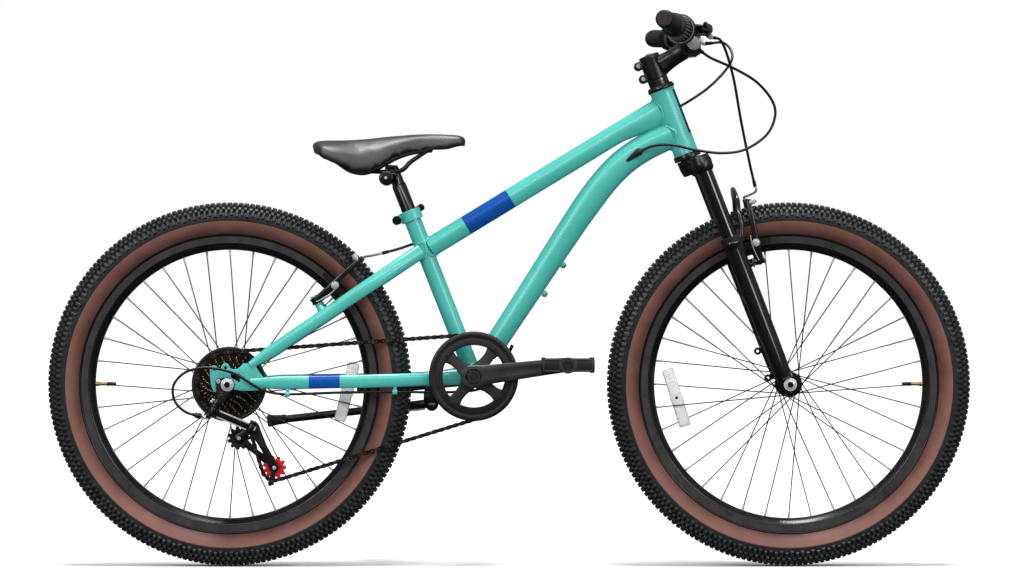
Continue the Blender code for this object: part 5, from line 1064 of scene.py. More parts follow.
def dress_front_triangle():
    """The head, top, down and seat tubes and the crank shell, with their welds."""
    head = turned(head_section(), HEAD_FOOT, STEER_UP, 72, slots=head_slot)
    paint_head_stripe(head)
    piece("head_tube_skin", "frame", head, [MINT, BLACK_COAT, NAVY], "head_tube")

    run = (TOP_TUBE_END - TOP_TUBE_START).normalized()
    length = (TOP_TUBE_END - TOP_TUBE_START).length
    start = TOP_TUBE_START + run * (SEAT_TUBE_RADIUS * 0.72)
    end = TOP_TUBE_START + run * (length - HEAD_RADIUS * 0.80)
    count = 40
    route = [start.lerp(end, k / (count - 1)) for k in range(count)]
    size = 2 * TOP_TUBE_RADIUS
    flare = [FLARE * smooth_step((k / (count - 1) - 0.80) / 0.20) for k in range(count)]
    below = Vector((run.z, 0, -run.x))
    route = [point + below * grown / 2 for point, grown in zip(route, flare)]
    top = loft(route, [size] * count, [size + grown for grown in flare], 56)
    blue_start = (-0.076 - TOP_TUBE_START.x) / run.x
    banded(top, 1, blue_start, blue_start + 0.092, TOP_TUBE_START, run)
    piece("top_tube_skin", "frame", top, [MINT, BLUE], "top_tube")

    count = 61
    shares = fade(0.046, 0.972, count)
    route = [down_tube_curve(share) for share in shares]
    depths = [DOWN_TUBE_LOW_DEPTH
              + (DOWN_TUBE_DEPTH - DOWN_TUBE_LOW_DEPTH) * min(1, s / 0.45) for s in shares]
    widths = [DOWN_TUBE_WIDTH * (0.90 + 0.10 * min(1, s / 0.20)) for s in shares]
    down = tinted(loft(route, widths, depths, 64, 2.15), 0)
    shapes = [down]
    for share in (0.178, 0.253):
        centre, out = boss_place(share)
        foot = centre + out * (DOWN_TUBE_DEPTH / 2 - 0.0030)
        tip = centre + out * (DOWN_TUBE_DEPTH / 2 + 0.0029)
        shapes.append(tinted(rod(foot, tip, 0.0058, 32, 0.0055, 0.0006), 0))
        shapes.append(tinted(socket_bolt(tip - out * 0.0004, out, 0.0040, 0.0030), 1))
    piece("down_tube_skin", "frame", merged(*shapes), [MINT, BLACK_ALLOY],
          "down_tube")

    seat_tube = [(0.0133, 0.0165), (SEAT_TUBE_RADIUS, 0.0165), (SEAT_TUBE_RADIUS, 0.3092),
                 (SEAT_TUBE_RADIUS - 0.0006, 0.3099), (0.0134, 0.3099)]
    piece("seat_tube_skin", "frame", turned(seat_tube, BOTTOM_BRACKET, SEAT_UP, 56), MINT,
          "seat_tube")

    half = SHELL_WIDTH / 2
    section = [(0.0092, half + 0.0019), (0.0168, half + 0.0019), (0.0182, half + 0.0010),
               (0.0190, half + 0.0002), (0.0194, half - 0.0004), (SHELL_RADIUS, half - 0.0010)]
    section += [(r, -y) for r, y in reversed(section)]
    shell = turned(section, BOTTOM_BRACKET, ACROSS, 64, slots=shell_slot)
    piece("crank_shell_skin", "frame", shell, [MINT, BLACK_ALLOY],
          "bottom_bracket_shell")
    add_welds()


def shell_slot(radius, side):
    """Black bearing cups at the ends of the enamelled shell."""
    return 1 if abs(side) > SHELL_WIDTH / 2 - 0.0001 or radius < 0.0185 else 0


def add_welds():
    """The beads where the tubes meet."""
    run = (TOP_TUBE_END - TOP_TUBE_START).normalized()
    size = 2 * TOP_TUBE_RADIUS
    beads = [
        weld_bead(meeting(TOP_TUBE_START + run * 0.2 + Vector((run.z, 0, -run.x)) * (FLARE / 2), run,
                          size, size + FLARE, HEAD_FOOT, STEER_UP, HEAD_RADIUS, 24)),
        weld_bead(meeting(TOP_TUBE_START + run * 0.2, -run, size, size, BOTTOM_BRACKET, SEAT_UP,
                          SEAT_TUBE_RADIUS + 0.0002))]
    near = down_tube_curve(0.93)
    beads.append(weld_bead(meeting(near, down_tube_curve(0.97) - near, DOWN_TUBE_WIDTH * 0.99,
                                   DOWN_TUBE_DEPTH, HEAD_FOOT, STEER_UP, HEAD_RADIUS, 26)))
    near = down_tube_curve(0.08)
    beads.append(weld_bead(meeting(near, down_tube_curve(0.02) - near, DOWN_TUBE_WIDTH * 0.92,
                                   DOWN_TUBE_LOW_DEPTH + 0.001, BOTTOM_BRACKET, ACROSS,
                                   SHELL_RADIUS, 24)))
    beads.append(weld_bead(meeting(seat(0.10, 0), -SEAT_UP, 0.030, 0.030, BOTTOM_BRACKET, ACROSS,
                                   SHELL_RADIUS, 18), 0.0020))
    for sign in (-1, 1):
        stay = chainstay_route(sign, 40)
        beads.append(weld_bead(meeting(
            stay[-6], stay[-1] - stay[-6], CHAINSTAY_WIDTH, CHAINSTAY_DEPTH * 1.26,
            BOTTOM_BRACKET, ACROSS, SHELL_RADIUS, 14), 0.0018))
        stay = seatstay_route(sign, 40)
        points = meeting(stay[-5], stay[-1] - stay[-5], SEATSTAY_WIDTH, SEATSTAY_DEPTH,
                         BOTTOM_BRACKET, SEAT_UP, SEAT_TUBE_RADIUS, 16)
        beads.append(weld_bead(points, 0.0018))
    piece("weld_beads", "frame", merged(*[tinted(bead, 0) for bead in beads]), MINT,
          (), 80)


def axle_point(x, z):
    """A point in the wheels' plane, measured from the rear axle."""
    return REAR_AXLE + Vector((x, 0, z))


def disc_edge(x, z, radius, count=20):
    """Points round a circle in the wheels' plane, measured from the rear axle."""
    return [around(axle_point(x, z), radius, 2 * math.pi * n / count) for n in range(count)]


def dropout(sign):
    """A dropout plate: two eyelet lobes, a window, and a slot for the axle open at its foot."""
    slot = 0.0053
    edge = [(0.062, -0.0090), (0.040, -0.0102), (0.024, -0.0102), (0.0135, -0.0085),
            (0.0085, -0.0076), (slot, -0.0068)]
    edge += [(slot * math.cos(math.radians(a)), slot * math.sin(math.radians(a)))
             for a in range(0, 181, 20)]
    edge += [(-slot, -0.0085), (-0.0085, -0.0105), (-0.0159, -0.0115), (-0.0207, -0.0132),
             (-0.0250, -0.0095), (-0.0276, -0.0030), (-0.0290, 0.0040), (-0.0303, 0.0138),
             (-0.0309, 0.0240), (-0.0296, 0.0300), (-0.0265, 0.0334), (-0.0225, 0.0340),
             (-0.0188, 0.0320), (-0.0162, 0.0288), (-0.0132, 0.0276), (-0.0109, 0.0296),
             (-0.0096, 0.0336), (-0.0068, 0.0369), (-0.0032, 0.0380), (0.0004, 0.0370),
             (0.0030, 0.0338), (0.0044, 0.0298), (0.0075, 0.0274), (0.0132, 0.0266),
             (0.0185, 0.0286), (0.0225, 0.0315), (0.0280, 0.0375), (0.042, 0.0370),
             (0.050, 0.031), (0.056, 0.022), (0.062, 0.0145)]
    window = [(0.0062, 0.0186), (0.0214, 0.0186), (0.0220, 0.0178), (0.0220, 0.0048),
              (0.0212, 0.0042), (0.0135, 0.0082), (0.0072, 0.0122), (0.0056, 0.0150)]
    edges = [[axle_point(x, z) for x, z in edge], [axle_point(x, z) for x, z in window],
             disc_edge(-0.0032, 0.0298, 0.0027), disc_edge(-0.0236, 0.0268, 0.0026)]
    inner = sign * REAR_HUB_WIDTH / 2
    outer = sign * (REAR_HUB_WIDTH / 2 + DROPOUT_THICKNESS)
    return tinted(cut_plate(edges, min(inner, outer), max(inner, outer), 0.0007), 0)


def around_discs(discs):
    """The edge that a tight band round several discs would take."""
    points = sorted({(round(p.x, 7), round(p.z, 7)) for disc in discs for p in disc_edge(*disc, 32)})
    halves = []
    for run in (points, points[::-1]):
        chain = []
        for x, z in run:
            while len(chain) > 1 and ((chain[-1][0] - chain[-2][0]) * (z - chain[-2][1])
                                      - (chain[-1][1] - chain[-2][1]) * (x - chain[-2][0])) <= 0:
                chain.pop()
            chain.append((x, z))
        halves += chain[:-1]
    return [Vector((x, 0, z)) for x, z in halves]


def dress_hanger():
    """The black hanger plate that the derailleur bolts to, with its own small bolt."""
    face = -(REAR_HUB_WIDTH / 2 + DROPOUT_THICKNESS)
    edge = around_discs([(0.0, 0.0, 0.0128), (-0.0152, 0.0060, 0.0054), (-0.0097, -0.0216, 0.0092)])
    plate_shape = cut_plate([edge, disc_edge(0.0, 0.0, 0.0052)], face - 0.0020, face - 0.0001, 0.0004)
    bolt = axle_point(-0.0155, 0.0060) + ACROSS * (face - 0.0020)
    parts = [tinted(plate_shape, 0), tinted(socket_bolt(bolt, -ACROSS, 0.0038, 0.0030), 1)]
    piece("derailleur_hanger_plate", "frame", merged(*parts), [BLACK_COAT, SILVER])


def cable_stop(place):
    """A small ringed lug under the chainstay, round the gear cable."""
    ring = ring_solid(0.0027, 0.0047, -0.0042, 0.0042, place, Vector((1, 0, 0)), 28, 0.0006)
    web = block(place + Vector((0, 0.0012, 0.0066)), (0.0060, 0.0036, 0.0080), UPRIGHT, (1, 0, 0),
                0.0008)
    return merged(ring, web)


def dress_rear_triangle():
    """The chainstays and seatstays, with dropouts, brake bosses, bridges and cable guides."""
    for side, sign in (("right", -1), ("left", 1)):
        count = 49
        route = chainstay_route(sign, count)
        swell = [1.0] * (count - 12) + [1.0 + 0.28 * k / 11 for k in range(12)]
        taper = [0.72 + 0.28 * min(1.0, k / 6) for k in range(count)]
        depths = [CHAINSTAY_DEPTH * swell[k] * taper[k] for k in range(count)]
        stay = loft(route[:-3], fade(CHAINSTAY_WIDTH * 0.8, CHAINSTAY_WIDTH, count)[:-3],
                    depths[:-3], 40, 2.3)
        banded(stay, 1, 0.142, 0.196, REAR_AXLE, Vector((1, 0, 0)))
        shapes = [stay, dropout(sign)]
        if sign < 0:
            shapes.append(tinted(cable_stop(REAR_AXLE + Vector((0.1050, -0.0700, -0.0165))), 0))
            shapes.append(tinted(cable_stop(BOTTOM_BRACKET + Vector((-0.1381, -0.0510, -0.0275))), 0))
        piece("chainstay_skin_" + side, "frame", merged(*shapes), [MINT, BLUE],
              "chainstay_" + side)

        route = seatstay_route(sign, count)
        taper = [0.62 + 0.38 * min(1.0, k / 5) for k in range(count)]
        widths = fade(SEATSTAY_WIDTH * 0.85, SEATSTAY_WIDTH, count)
        depths = [size * taper[k]
                  for k, size in enumerate(fade(SEATSTAY_DEPTH * 0.8, SEATSTAY_DEPTH, count))]
        shapes = [tinted(loft(route[:-1], widths[:-1], depths[:-1], 40, 2.2), 0)]
        pivot = rear_brake_pivot(sign)
        foot, along, out = seatstay_axes()
        root = (foot + along * REAR_BRAKE_ALONG + out * 0.002
                + ACROSS * (sign * (STAY_BESIDE + SEATSTAY_WIDTH / 2)))
        shapes.append(tinted(tube([root, root.lerp(pivot, 0.3), root.lerp(pivot, 0.6),
                                   pivot - out * 0.0085], [0.0085, 0.0078, 0.0072, 0.0069], 24), 0))
        shapes.append(tinted(rod(pivot - out * 0.012, pivot, 0.0064, 24, None, 0.0006), 0))
        if sign < 0:
            level = round(0.875 * (count - 1))
            bridge = [seatstay_route(-1, count)[level], seatstay_route(1, count)[level]]
            shapes.append(tinted(rod(*bridge, 0.0062, 28), 0))
            for end, toward in (bridge, bridge[::-1]):
                shapes.append(tinted(ring_solid(0.0060, 0.0076, -0.0012, 0.0012,
                                                end.lerp(toward, 0.36), ACROSS, 24, 0.0006), 0))
        piece("seatstay_skin_" + side, "frame", merged(*shapes), MINT,
              "seatstay_" + side)


PAD_GAP = 0.002
BRAKE_PIVOT_Y = 0.041
REAR_BRAKE_ALONG = RIM_RADIUS - 0.1057


def rear_brake_pivot(sign):
    """The outer end of the seatstay's brake boss."""
    foot, along, out = seatstay_axes()
    return foot + along * REAR_BRAKE_ALONG + out * 0.024 + ACROSS * (sign * BRAKE_PIVOT_Y)


dress_front_triangle()
dress_rear_triangle()
dress_hanger()


# Seat

SEATPOST_RADIUS = 0.0127
SEATPOST_SHOW = 0.085
RAIL_SPACING = 0.044
RAIL_RADIUS = 0.0035
SADDLE_LENGTH = 0.273
SADDLE_WIDTH = 0.158
CLAMP_CENTRE = seat(SEAT_TUBE_LENGTH + SEATPOST_SHOW - 0.006, -0.004)
SADDLE_TAIL = CLAMP_CENTRE + Vector((-0.1388, 0, 0.0525))
RAIL_RUN = Vector((math.cos(math.radians(3)), 0, math.sin(math.radians(3))))


def dress_seat_clamp():
    """The split collar under the post, its ears and bolt, and the quick lever."""
    low = SEAT_TUBE_LENGTH - 0.016
    high = SEAT_TUBE_LENGTH + 0.0028
    collar = turned([(0.0155, low), (0.0188, low), (0.0195, low + 0.0008), (0.0195, high - 0.0008),
                     (0.0188, high), (0.0155, high)], BOTTOM_BRACKET, SEAT_UP, 64)
    pivot = seat(SEAT_TUBE_LENGTH - 0.006, -SEAT_TUBE_RADIUS - 0.011, 0.020)
    near = pivot - ACROSS * 0.040
    shapes = [tinted(collar, 0)]
    for y in (-0.0062, 0.0062):
        ear = block((near + pivot) / 2 + SEAT_FORWARD * 0.0035 + ACROSS * y,
                    (0.0150, 0.0078, 0.0150), SEAT_UP, SEAT_FORWARD, 0.0018)
        shapes.append(tinted(ear, 0))
    shapes.append(tinted(rod(near, pivot - ACROSS * 0.0068, 0.0029, 20), 1))
    nut = [(0.0, -0.003), (0.0040, -0.003), (0.0046, -0.0022), (0.0048, -0.001), (0.0066, -0.001),
           (0.0080, 0.0004), (0.0080, 0.0066), (0.0072, 0.0080), (0.0046, 0.0080), (0.0040, 0.0068),
           (0.0, 0.0068)]
    shapes.append(tinted(turned(nut, near, ACROSS, 28, False), 1))
    piece("seat_collar", "frame", merged(*shapes), [MINT, BLACK_ALLOY], "seat_clamp")

    cam = rod(pivot - SEAT_UP * 0.0064, pivot + SEAT_UP * 0.0064, 0.0064, 32, None, 0.0008)
    tip = seat(SEAT_TUBE_LENGTH + 0.002, SEAT_TUBE_RADIUS + 0.012, 0.026)
    middle = seat(SEAT_TUBE_LENGTH - 0.004, 0, 0.030)
    handle = smooth_route([pivot + ACROSS * 0.003, middle, tip], 24)
    radii = [0.0062 - 0.0020 * math.sin(math.pi * min(1, k / 16)) for k in range(23)] + [0.0030]
    pin = rod(pivot - SEAT_UP * 0.0070, pivot + SEAT_UP * 0.0070, 0.0026, 20, None, 0.0004)
    shapes = [tinted(cam, 0), tinted(tube(handle, radii, 20), 0), tinted(pin, 1)]
    piece("seat_quick_lever", "seat_lever", merged(*shapes), [BLACK_COAT, SILVER],
          "seat_clamp_lever")


def dress_seatpost():
    """The post, its clamp head with cradle, side nuts and grooves, and the saddle's rails."""
    foot = SEAT_TUBE_LENGTH - 0.115
    crown = SEAT_TUBE_LENGTH + SEATPOST_SHOW
    neck = SEATPOST_RADIUS - 0.0016
    profile = [(0, foot), (SEATPOST_RADIUS - 0.0005, foot), (SEATPOST_RADIUS - 0.0001, foot + 0.0008),
               (SEATPOST_RADIUS - 0.0001, crown - 0.0350), (SEATPOST_RADIUS - 0.0005, crown - 0.0342),
               (neck, crown - 0.0310), (neck, crown - 0.010), (neck - 0.001, crown), (0, crown)]
    shapes = [tinted(turned(profile, BOTTOM_BRACKET, SEAT_UP, 48, closed=False), 0)]
    head = CLAMP_CENTRE
    upright = RAIL_RUN.cross(ACROSS) * -1
    half = RAIL_SPACING / 2 + RAIL_RADIUS + 0.003
    shapes.append(tinted(rod(head - ACROSS * (half - 0.004), head + ACROSS * (half - 0.004), 0.0108,
                             40, None, 0.0012), 0))
    disc = head + Vector((-0.0081, 0, -0.0127))
    shapes.append(tinted(rod(disc - ACROSS * (half - 0.003), disc + ACROSS * (half - 0.003), 0.0085,
                             36, None, 0.0008), 0))
    for sign in (-1, 1):
        spot = disc + ACROSS * (sign * (half - 0.0035))
        shapes.append(tinted(rod(spot, spot + ACROSS * (sign * 0.0062), 0.0127, 44, 0.0122, 0.0011), 0))
        nut = hex_nut(spot + ACROSS * (sign * 0.0078), ACROSS, 0.0110, 0.0044, 0.0008, RAIL_RUN)
        shapes.append(tinted(nut, 1))
        core = spot + ACROSS * (sign * 0.0092)
        shapes.append(tinted(rod(core, core + ACROSS * (sign * 0.0022), 0.0026, 20, None, 0.0004), 2))
        for level in (-1, 1):
            cheek = block(head + ACROSS * (sign * RAIL_SPACING / 2) + upright * (level * 0.0068),
                          (0.0180, 0.0130, 0.0062), upright, RAIL_RUN, 0.0014)
            shapes.append(tinted(cheek, 0))
    piece("seatpost_and_head", "seatpost", merged(*shapes), [GLOSS_BLACK, BLACK_ALLOY, SILVER],
          "seatpost")

    nose_x = SADDLE_TAIL.x + SADDLE_LENGTH * 0.745
    under = SADDLE_TAIL.z - 0.0305
    side = ACROSS * (RAIL_SPACING / 2)
    half = [
        Vector((SADDLE_TAIL.x + 0.045, RAIL_SPACING / 2 + 0.008, under)),
        Vector((SADDLE_TAIL.x + 0.067, RAIL_SPACING / 2 + 0.002, head.z + 0.004)),
        head + side - RAIL_RUN * 0.021, head + side + RAIL_RUN * 0.017,
        Vector((nose_x - 0.030, RAIL_SPACING * 0.40, under - 0.006)),
        Vector((nose_x - 0.005, RAIL_SPACING * 0.25, under + 0.011))]
    other = [Vector((p.x, -p.y, p.z)) for p in reversed(half)]
    route = smooth_route(half + [Vector((nose_x + 0.001, 0, under + 0.014))] + other, 120)
    piece("saddle_rail_wire", "seatpost", tube(route, 0.0034, 16), BLACK_COAT,
          "saddle_rails")


def saddle_section(share):
    """Half width, top, edge depth of the saddle at a share of its length from the tail."""
    nose, wide = 0.019, SADDLE_WIDTH / 2
    spread = (1 - share) ** 1.35
    swell = math.sin(math.pi * min(share / 0.30, 1.0) / 2) ** 0.5
    half = nose + (wide - nose) * max(0.0, (spread - 0.10) / 0.90) ** 0.95
    half = half * (0.60 + 0.40 * swell)
    if share > 0.94:
        half = half * math.sqrt(max(0.02, 1 - ((share - 0.94) / 0.062) ** 2))
    rise = 0.0115 * smooth_step((share - 0.12) / 0.76) - 0.0015 * math.sin(math.pi * min(1, share * 2))
    if share > 0.93:
        rise -= 0.0040 * ((share - 0.93) / 0.07) ** 2
    drop = 0.0275 + 0.0305 * math.exp(-((share - 0.33) / 0.205) ** 2)
    if share > 0.86:
        drop -= 0.0100 * smooth_step((share - 0.86) / 0.14)
    return half, SADDLE_TAIL.z + rise, drop


def saddle_rings(shape, lift, inset):
    """The saddle's cross rings, crowned on top, with skirts that turn under at their edge."""
    stations, across = 48, 28
    rings = []
    for k in range(stations):
        share = k / (stations - 1)
        half, top, drop = saddle_section(share)
        end = 1.0
        if share < 0.07:
            end = max(0.14, math.sqrt(max(0.0, 1 - (1 - share / 0.07) ** 2)))
        half = half * end - inset
        top -= 0.0060 * (1 - end) ** 1.5
        end = 0.62 + 0.38 * end
        x = SADDLE_TAIL.x + SADDLE_LENGTH * share
        points = []
        for n in range(across + 1):
            angle = math.pi * n / across
            bulge = math.sin(angle) ** 0.60
            points.append(Vector((x, half * math.cos(angle),
                                  top + lift - drop * end * (1 - bulge) * 0.98)))
        floor = top - drop * end
        hollow = max(0.0015, (drop - 0.0250) * end)
        for reach, raised in ((0.96, -0.001), (0.88, 0.10 * hollow), (0.66, 0.80 * hollow),
                              (0.0, hollow), (-0.66, 0.80 * hollow), (-0.88, 0.10 * hollow),
                              (-0.96, -0.001)):
            points.append(Vector((x, -half * reach, floor + raised)))
        rings.append(ring_of(shape, points))
    return skinned(shape, rings)


def swollen(cover):
    """Puffs a cushion's cloth a little with air, then lets it settle."""
    scene = bpy.context.scene
    voxel = cover.modifiers.new("Voxel", "REMESH")
    voxel.mode = "VOXEL"
    voxel.voxel_size = 0.0045
    cloth = cover.modifiers.new("Air", "CLOTH")
    cloth.settings.use_pressure = True
    cloth.settings.uniform_pressure_force = 4.0
    cloth.settings.effector_weights.gravity = 0.0
    cloth.settings.quality = 6
    cloth.settings.tension_stiffness = 40
    cloth.settings.compression_stiffness = 40
    cloth.settings.bending_stiffness = 8
    cloth.point_cache.frame_start = 1
    cloth.point_cache.frame_end = 20
    for frame_number in range(1, 21):
        scene.frame_set(frame_number)
    reader = bpy.context.evaluated_depsgraph_get()
    puffed = bpy.data.meshes.new_from_object(cover.evaluated_get(reader))
    cover.modifiers.remove(cloth)
    reader.update()
    calm = bpy.data.meshes.new_from_object(cover.evaluated_get(bpy.context.evaluated_depsgraph_get()))
    cover.modifiers.remove(voxel)
    scene.frame_set(1)
    return calm, puffed


SADDLE_SWELL = 0.0030


def dress_saddle():
    """The saddle: a puffed, seamless vinyl cover over a moulded shell with sockets for its rails."""
    shape = bmesh.new()
    saddle_rings(shape, 0.0, 0.0016)
    mesh = bpy.data.meshes.new("saddle_cover")
    shape.to_mesh(mesh)
    shape.free()
    cover = bpy.data.objects.new("saddle_cover", mesh)
    bpy.context.scene.collection.objects.link(cover)
    calm, puffed = swollen(cover)
    if len(calm.vertices) == len(puffed.vertices):
        for still, moved in zip(calm.vertices, puffed.vertices):
            shift = moved.co - still.co
            if shift.length > SADDLE_SWELL:
                shift = shift * (SADDLE_SWELL / shift.length)
            still.co = still.co + shift
    cover.data = calm
    bpy.data.meshes.remove(puffed)
    shape = bmesh.new()
    shape.from_mesh(cover.data)
    bmesh.ops.remove_doubles(shape, verts=shape.verts, dist=1e-6)
    for _ in range(4):
        bmesh.ops.smooth_vert(shape, verts=shape.verts, factor=0.5, use_axis_x=True,
                              use_axis_y=True, use_axis_z=True)
    bmesh.ops.recalc_face_normals(shape, faces=shape.faces)
    shape.to_mesh(cover.data)
    shape.free()
    cover.data.shade_smooth()
    cover.data.materials.clear()
    cover.data.materials.append(SADDLE_VINYL)
    fine = cover.modifiers.new("Finer", "SUBSURF")
    fine.levels = fine.render_levels = 1
    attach(cover, "seatpost")
    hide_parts("saddle")
    dress_saddle_base()


def dress_saddle_base():
    """The moulded base under the cover, its rim just below the skirt, and three rail sockets."""
    base = bmesh.new()
    rings = []
    for k in range(40):
        share = 0.105 + 0.725 * k / 39
        half, top, drop = saddle_section(share)
        half = half * 0.955
        floor = top - drop + 0.0070 * (1 - smooth_step(min(k, 39 - k) / 7))
        hollow = max(0.0020, drop - 0.0270)
        x = SADDLE_TAIL.x + SADDLE_LENGTH * share
        outer = [(-1.0, 0.0015), (-0.985, -0.0015), (-0.90, 0.06 * hollow - 0.0022),
                 (-0.66, 0.78 * hollow - 0.0022), (0.0, hollow - 0.0024), (0.66, 0.78 * hollow - 0.0022),
                 (0.90, 0.06 * hollow - 0.0022), (0.985, -0.0015), (1.0, 0.0015)]
        inner = [(0.66, 0.78 * hollow + 0.0016), (0.0, hollow + 0.0014), (-0.66, 0.78 * hollow + 0.0016)]
        rings.append(ring_of(base, [Vector((x, half * a, floor + up)) for a, up in outer + inner]))
    parts = [skinned(base, rings)]
    nose_x = SADDLE_TAIL.x + SADDLE_LENGTH * 0.745
    under = SADDLE_TAIL.z - 0.0305
    parts.append(block((nose_x, 0, under + 0.0155), (0.018, 0.026, 0.010), UPRIGHT, (1, 0, 0), 0.003))
    for sign in (-1, 1):
        socket = Vector((SADDLE_TAIL.x + 0.045, sign * (RAIL_SPACING / 2 + 0.008), under + 0.004))
        parts.append(block(socket, (0.018, 0.014, 0.014), UPRIGHT, (1, 0, 0), 0.0028))
    piece("saddle_base", "seatpost", merged(*parts), BLACK_PLASTIC)


def vinyl_finish():
    """Black grained saddle vinyl: cells of grain, fine wrinkles, a dry sheen."""
    made, tree, shader, place = new_finish("saddle_vinyl", {
        "Metallic": 0.0, "Specular IOR Level": 0.70, "Coat Weight": 0.8, "Coat Roughness": 0.44})
    cells = add(tree, "TexVoronoi", {"Vector": place, "Scale": 900.0},
                feature="DISTANCE_TO_EDGE").outputs[0]
    creases = drift(tree, place, 260.0, 5.0, 0.6)
    clouds = drift(tree, place, 24.0, 4.0)
    tone = blend_colours(tree, remap(tree, clouds, 0.3, 0.7, 0.0, 1.0), linear(13, 14, 15),
                         linear(22, 23, 25))
    tone = blend_colours(tree, remap(tree, cells, 0.0, 0.16, 0.45, 0.0), tone, linear(8, 8, 9))
    tree.links.new(tone, shader.inputs["Base Color"])
    tree.links.new(remap(tree, creases, 0.3, 0.7, 0.30, 0.40), shader.inputs["Roughness"])
    height = sum_of(tree, "ADD", remap(tree, cells, 0.0, 0.22, 0.0, 1.0), creases)
    relief(tree, shader, height, 0.00010)
    return made


SADDLE_VINYL = vinyl_finish()

dress_seat_clamp()
dress_seatpost()
dress_saddle()


# Fork

LEG_HALF = 0.060
LEG_OFFSET = 0.016
LEG_RADIUS = 0.0165
STANCHION_RADIUS = 0.014
STEERER_RADIUS = 0.0143
CROWN_TOP = -0.0106
CROWN_FOOT = CROWN_TOP - 0.028
SEAL_DROP = 0.165
ARCH_TOP = -0.092
ARCH_FORWARD = 0.050
BRAKE_DROP = FORK_LENGTH - RIM_RADIUS + 0.040
BRAKE_FORWARD = 0.046
FRONT_TAB_IN = 0.050
FORK_TAB = 0.008


def front_brake_pivot(sign):
    """The front end of the fork's brake boss."""
    return steer(-BRAKE_DROP, BRAKE_FORWARD, sign * BRAKE_PIVOT_Y)


def dress_crown():
    """The steerer, the forged crown with its two collars, and the polished stanchions."""
    steerer_top = 0.179
    profile = [(0, CROWN_FOOT), (0.0165, CROWN_FOOT), (0.0190, CROWN_FOOT + 0.0020),
               (0.0208, CROWN_FOOT + 0.012), (0.0214, CROWN_TOP - 0.0045), (0.0214, CROWN_TOP - 0.0008),
               (0.0206, CROWN_TOP), (STEERER_RADIUS - 0.0001, CROWN_TOP),
               (STEERER_RADIUS - 0.0001, steerer_top - 0.001),
               (STEERER_RADIUS - 0.0008, steerer_top), (0, steerer_top)]
    shapes = [tinted(turned(profile, HEAD_FOOT, STEER_UP, 64, closed=False), 0)]
    for sign in (-1, 1):
        arm_route = [steer(CROWN_TOP - 0.0150, 0.004, sign * 0.004),
                     steer(CROWN_TOP - 0.0140, 0.010, sign * 0.026),
                     steer(CROWN_TOP - 0.0150, 0.0145, sign * 0.046),
                     steer(CROWN_TOP - 0.0155, LEG_OFFSET, sign * LEG_HALF)]
        arm = bmesh.new()
        rings = []
        for k, point in enumerate(smooth_route(arm_route, 14)):
            wide = 0.0178 + 0.0012 * math.cos(2 * math.pi * k / 13)
            high = 0.0112 - 0.0012 * math.sin(math.pi * k / 13)
            rings.append(ring_of(arm, rounded_ring(point, STEER_FORWARD, STEER_UP, wide, high, 3.2, 28)))
        shapes.append(tinted(skinned(arm, rings), 0))
        foot = HEAD_FOOT + STEER_FORWARD * LEG_OFFSET + ACROSS * (sign * LEG_HALF)
        cup = [(0, CROWN_FOOT - 0.004), (0.0150, CROWN_FOOT - 0.004), (0.0166, CROWN_FOOT - 0.0026),
               (0.0184, CROWN_FOOT + 0.0010), (0.0185, CROWN_FOOT + 0.0130),
               (0.0176, CROWN_FOOT + 0.0152), (0.0176, CROWN_TOP - 0.0060),
               (0.0160, CROWN_TOP - 0.0026), (0.0120, CROWN_TOP - 0.0020),
               (0.0112, CROWN_TOP - 0.0030), (0.0, CROWN_TOP - 0.0030)]
        shapes.append(tinted(turned(cup, foot, STEER_UP, 56, closed=False), 0))
        post = rod(steer(CROWN_FOOT + 0.004, LEG_OFFSET, sign * LEG_HALF),
                   steer(-SEAL_DROP - 0.129, LEG_OFFSET, sign * LEG_HALF),
                   STANCHION_RADIUS - 0.0001, 64)
        shapes.append(tinted(post, 1))
    piece("fork_crown_and_stanchions", "steering", merged(*shapes), [BLACK_COAT, STANCHION_GLOSS],
          "fork_crown")


STANCHION_GLOSS = plain_finish("glossy_black_stanchion", linear(7, 7, 8), linear(12, 12, 13), 0.10,
                               patch=20.0, depth=0.000006, **{"Coat Weight": 1.0,
                                                              "Coat Roughness": 0.04})
GLOSS_BLACK = plain_finish("glossy_black_enamel", linear(9, 9, 10), linear(15, 15, 16), 0.20,
                           patch=18.0, depth=0.00001, **{"Coat Weight": 0.7,
                                                        "Coat Roughness": 0.06})


def leg_section():
    """Points of (radius, height) down one lower leg, below its seal."""
    reach = FORK_LENGTH - 0.013
    low = SEAL_DROP + 0.0095
    points = [(0.0146, -low + 0.002), (0.0178, -low + 0.001), (0.0188, -low - 0.001),
              (0.0188, -low - 0.005), (0.0172, -low - 0.0085), (LEG_RADIUS, -low - 0.014),
              (LEG_RADIUS - 0.0002, -0.260), (LEG_RADIUS - 0.0004, -0.330),
              (LEG_RADIUS - 0.0006, -reach + 0.035), (LEG_RADIUS - 0.0018, -reach + 0.012),
              (LEG_RADIUS - 0.0035, -reach + 0.002), (LEG_RADIUS - 0.0070, -reach), (0.0, -reach)]
    bore_edge = STANCHION_RADIUS + 0.0004
    return [(0.0, -0.350), (bore_edge, -0.350), (bore_edge, -low + 0.001)] + points


def seal_section():
    """Points of (radius, height) over the ribbed rubber seal at the top of a leg."""
    inside = STANCHION_RADIUS + 0.0004
    points = [(inside, -SEAL_DROP - 0.0090)]
    points.append((0.0178, -SEAL_DROP - 0.0090))
    for rib in range(3):
        level = -SEAL_DROP - 0.0084 + rib * 0.0029
        points += [(0.0186, level + 0.0004), (0.0189, level + 0.0012), (0.0186, level + 0.0020),
                   (0.0176, level + 0.0026)]
    return points + [(0.0168, -SEAL_DROP), (inside + 0.0004, -SEAL_DROP), (inside, -SEAL_DROP - 0.0006)]


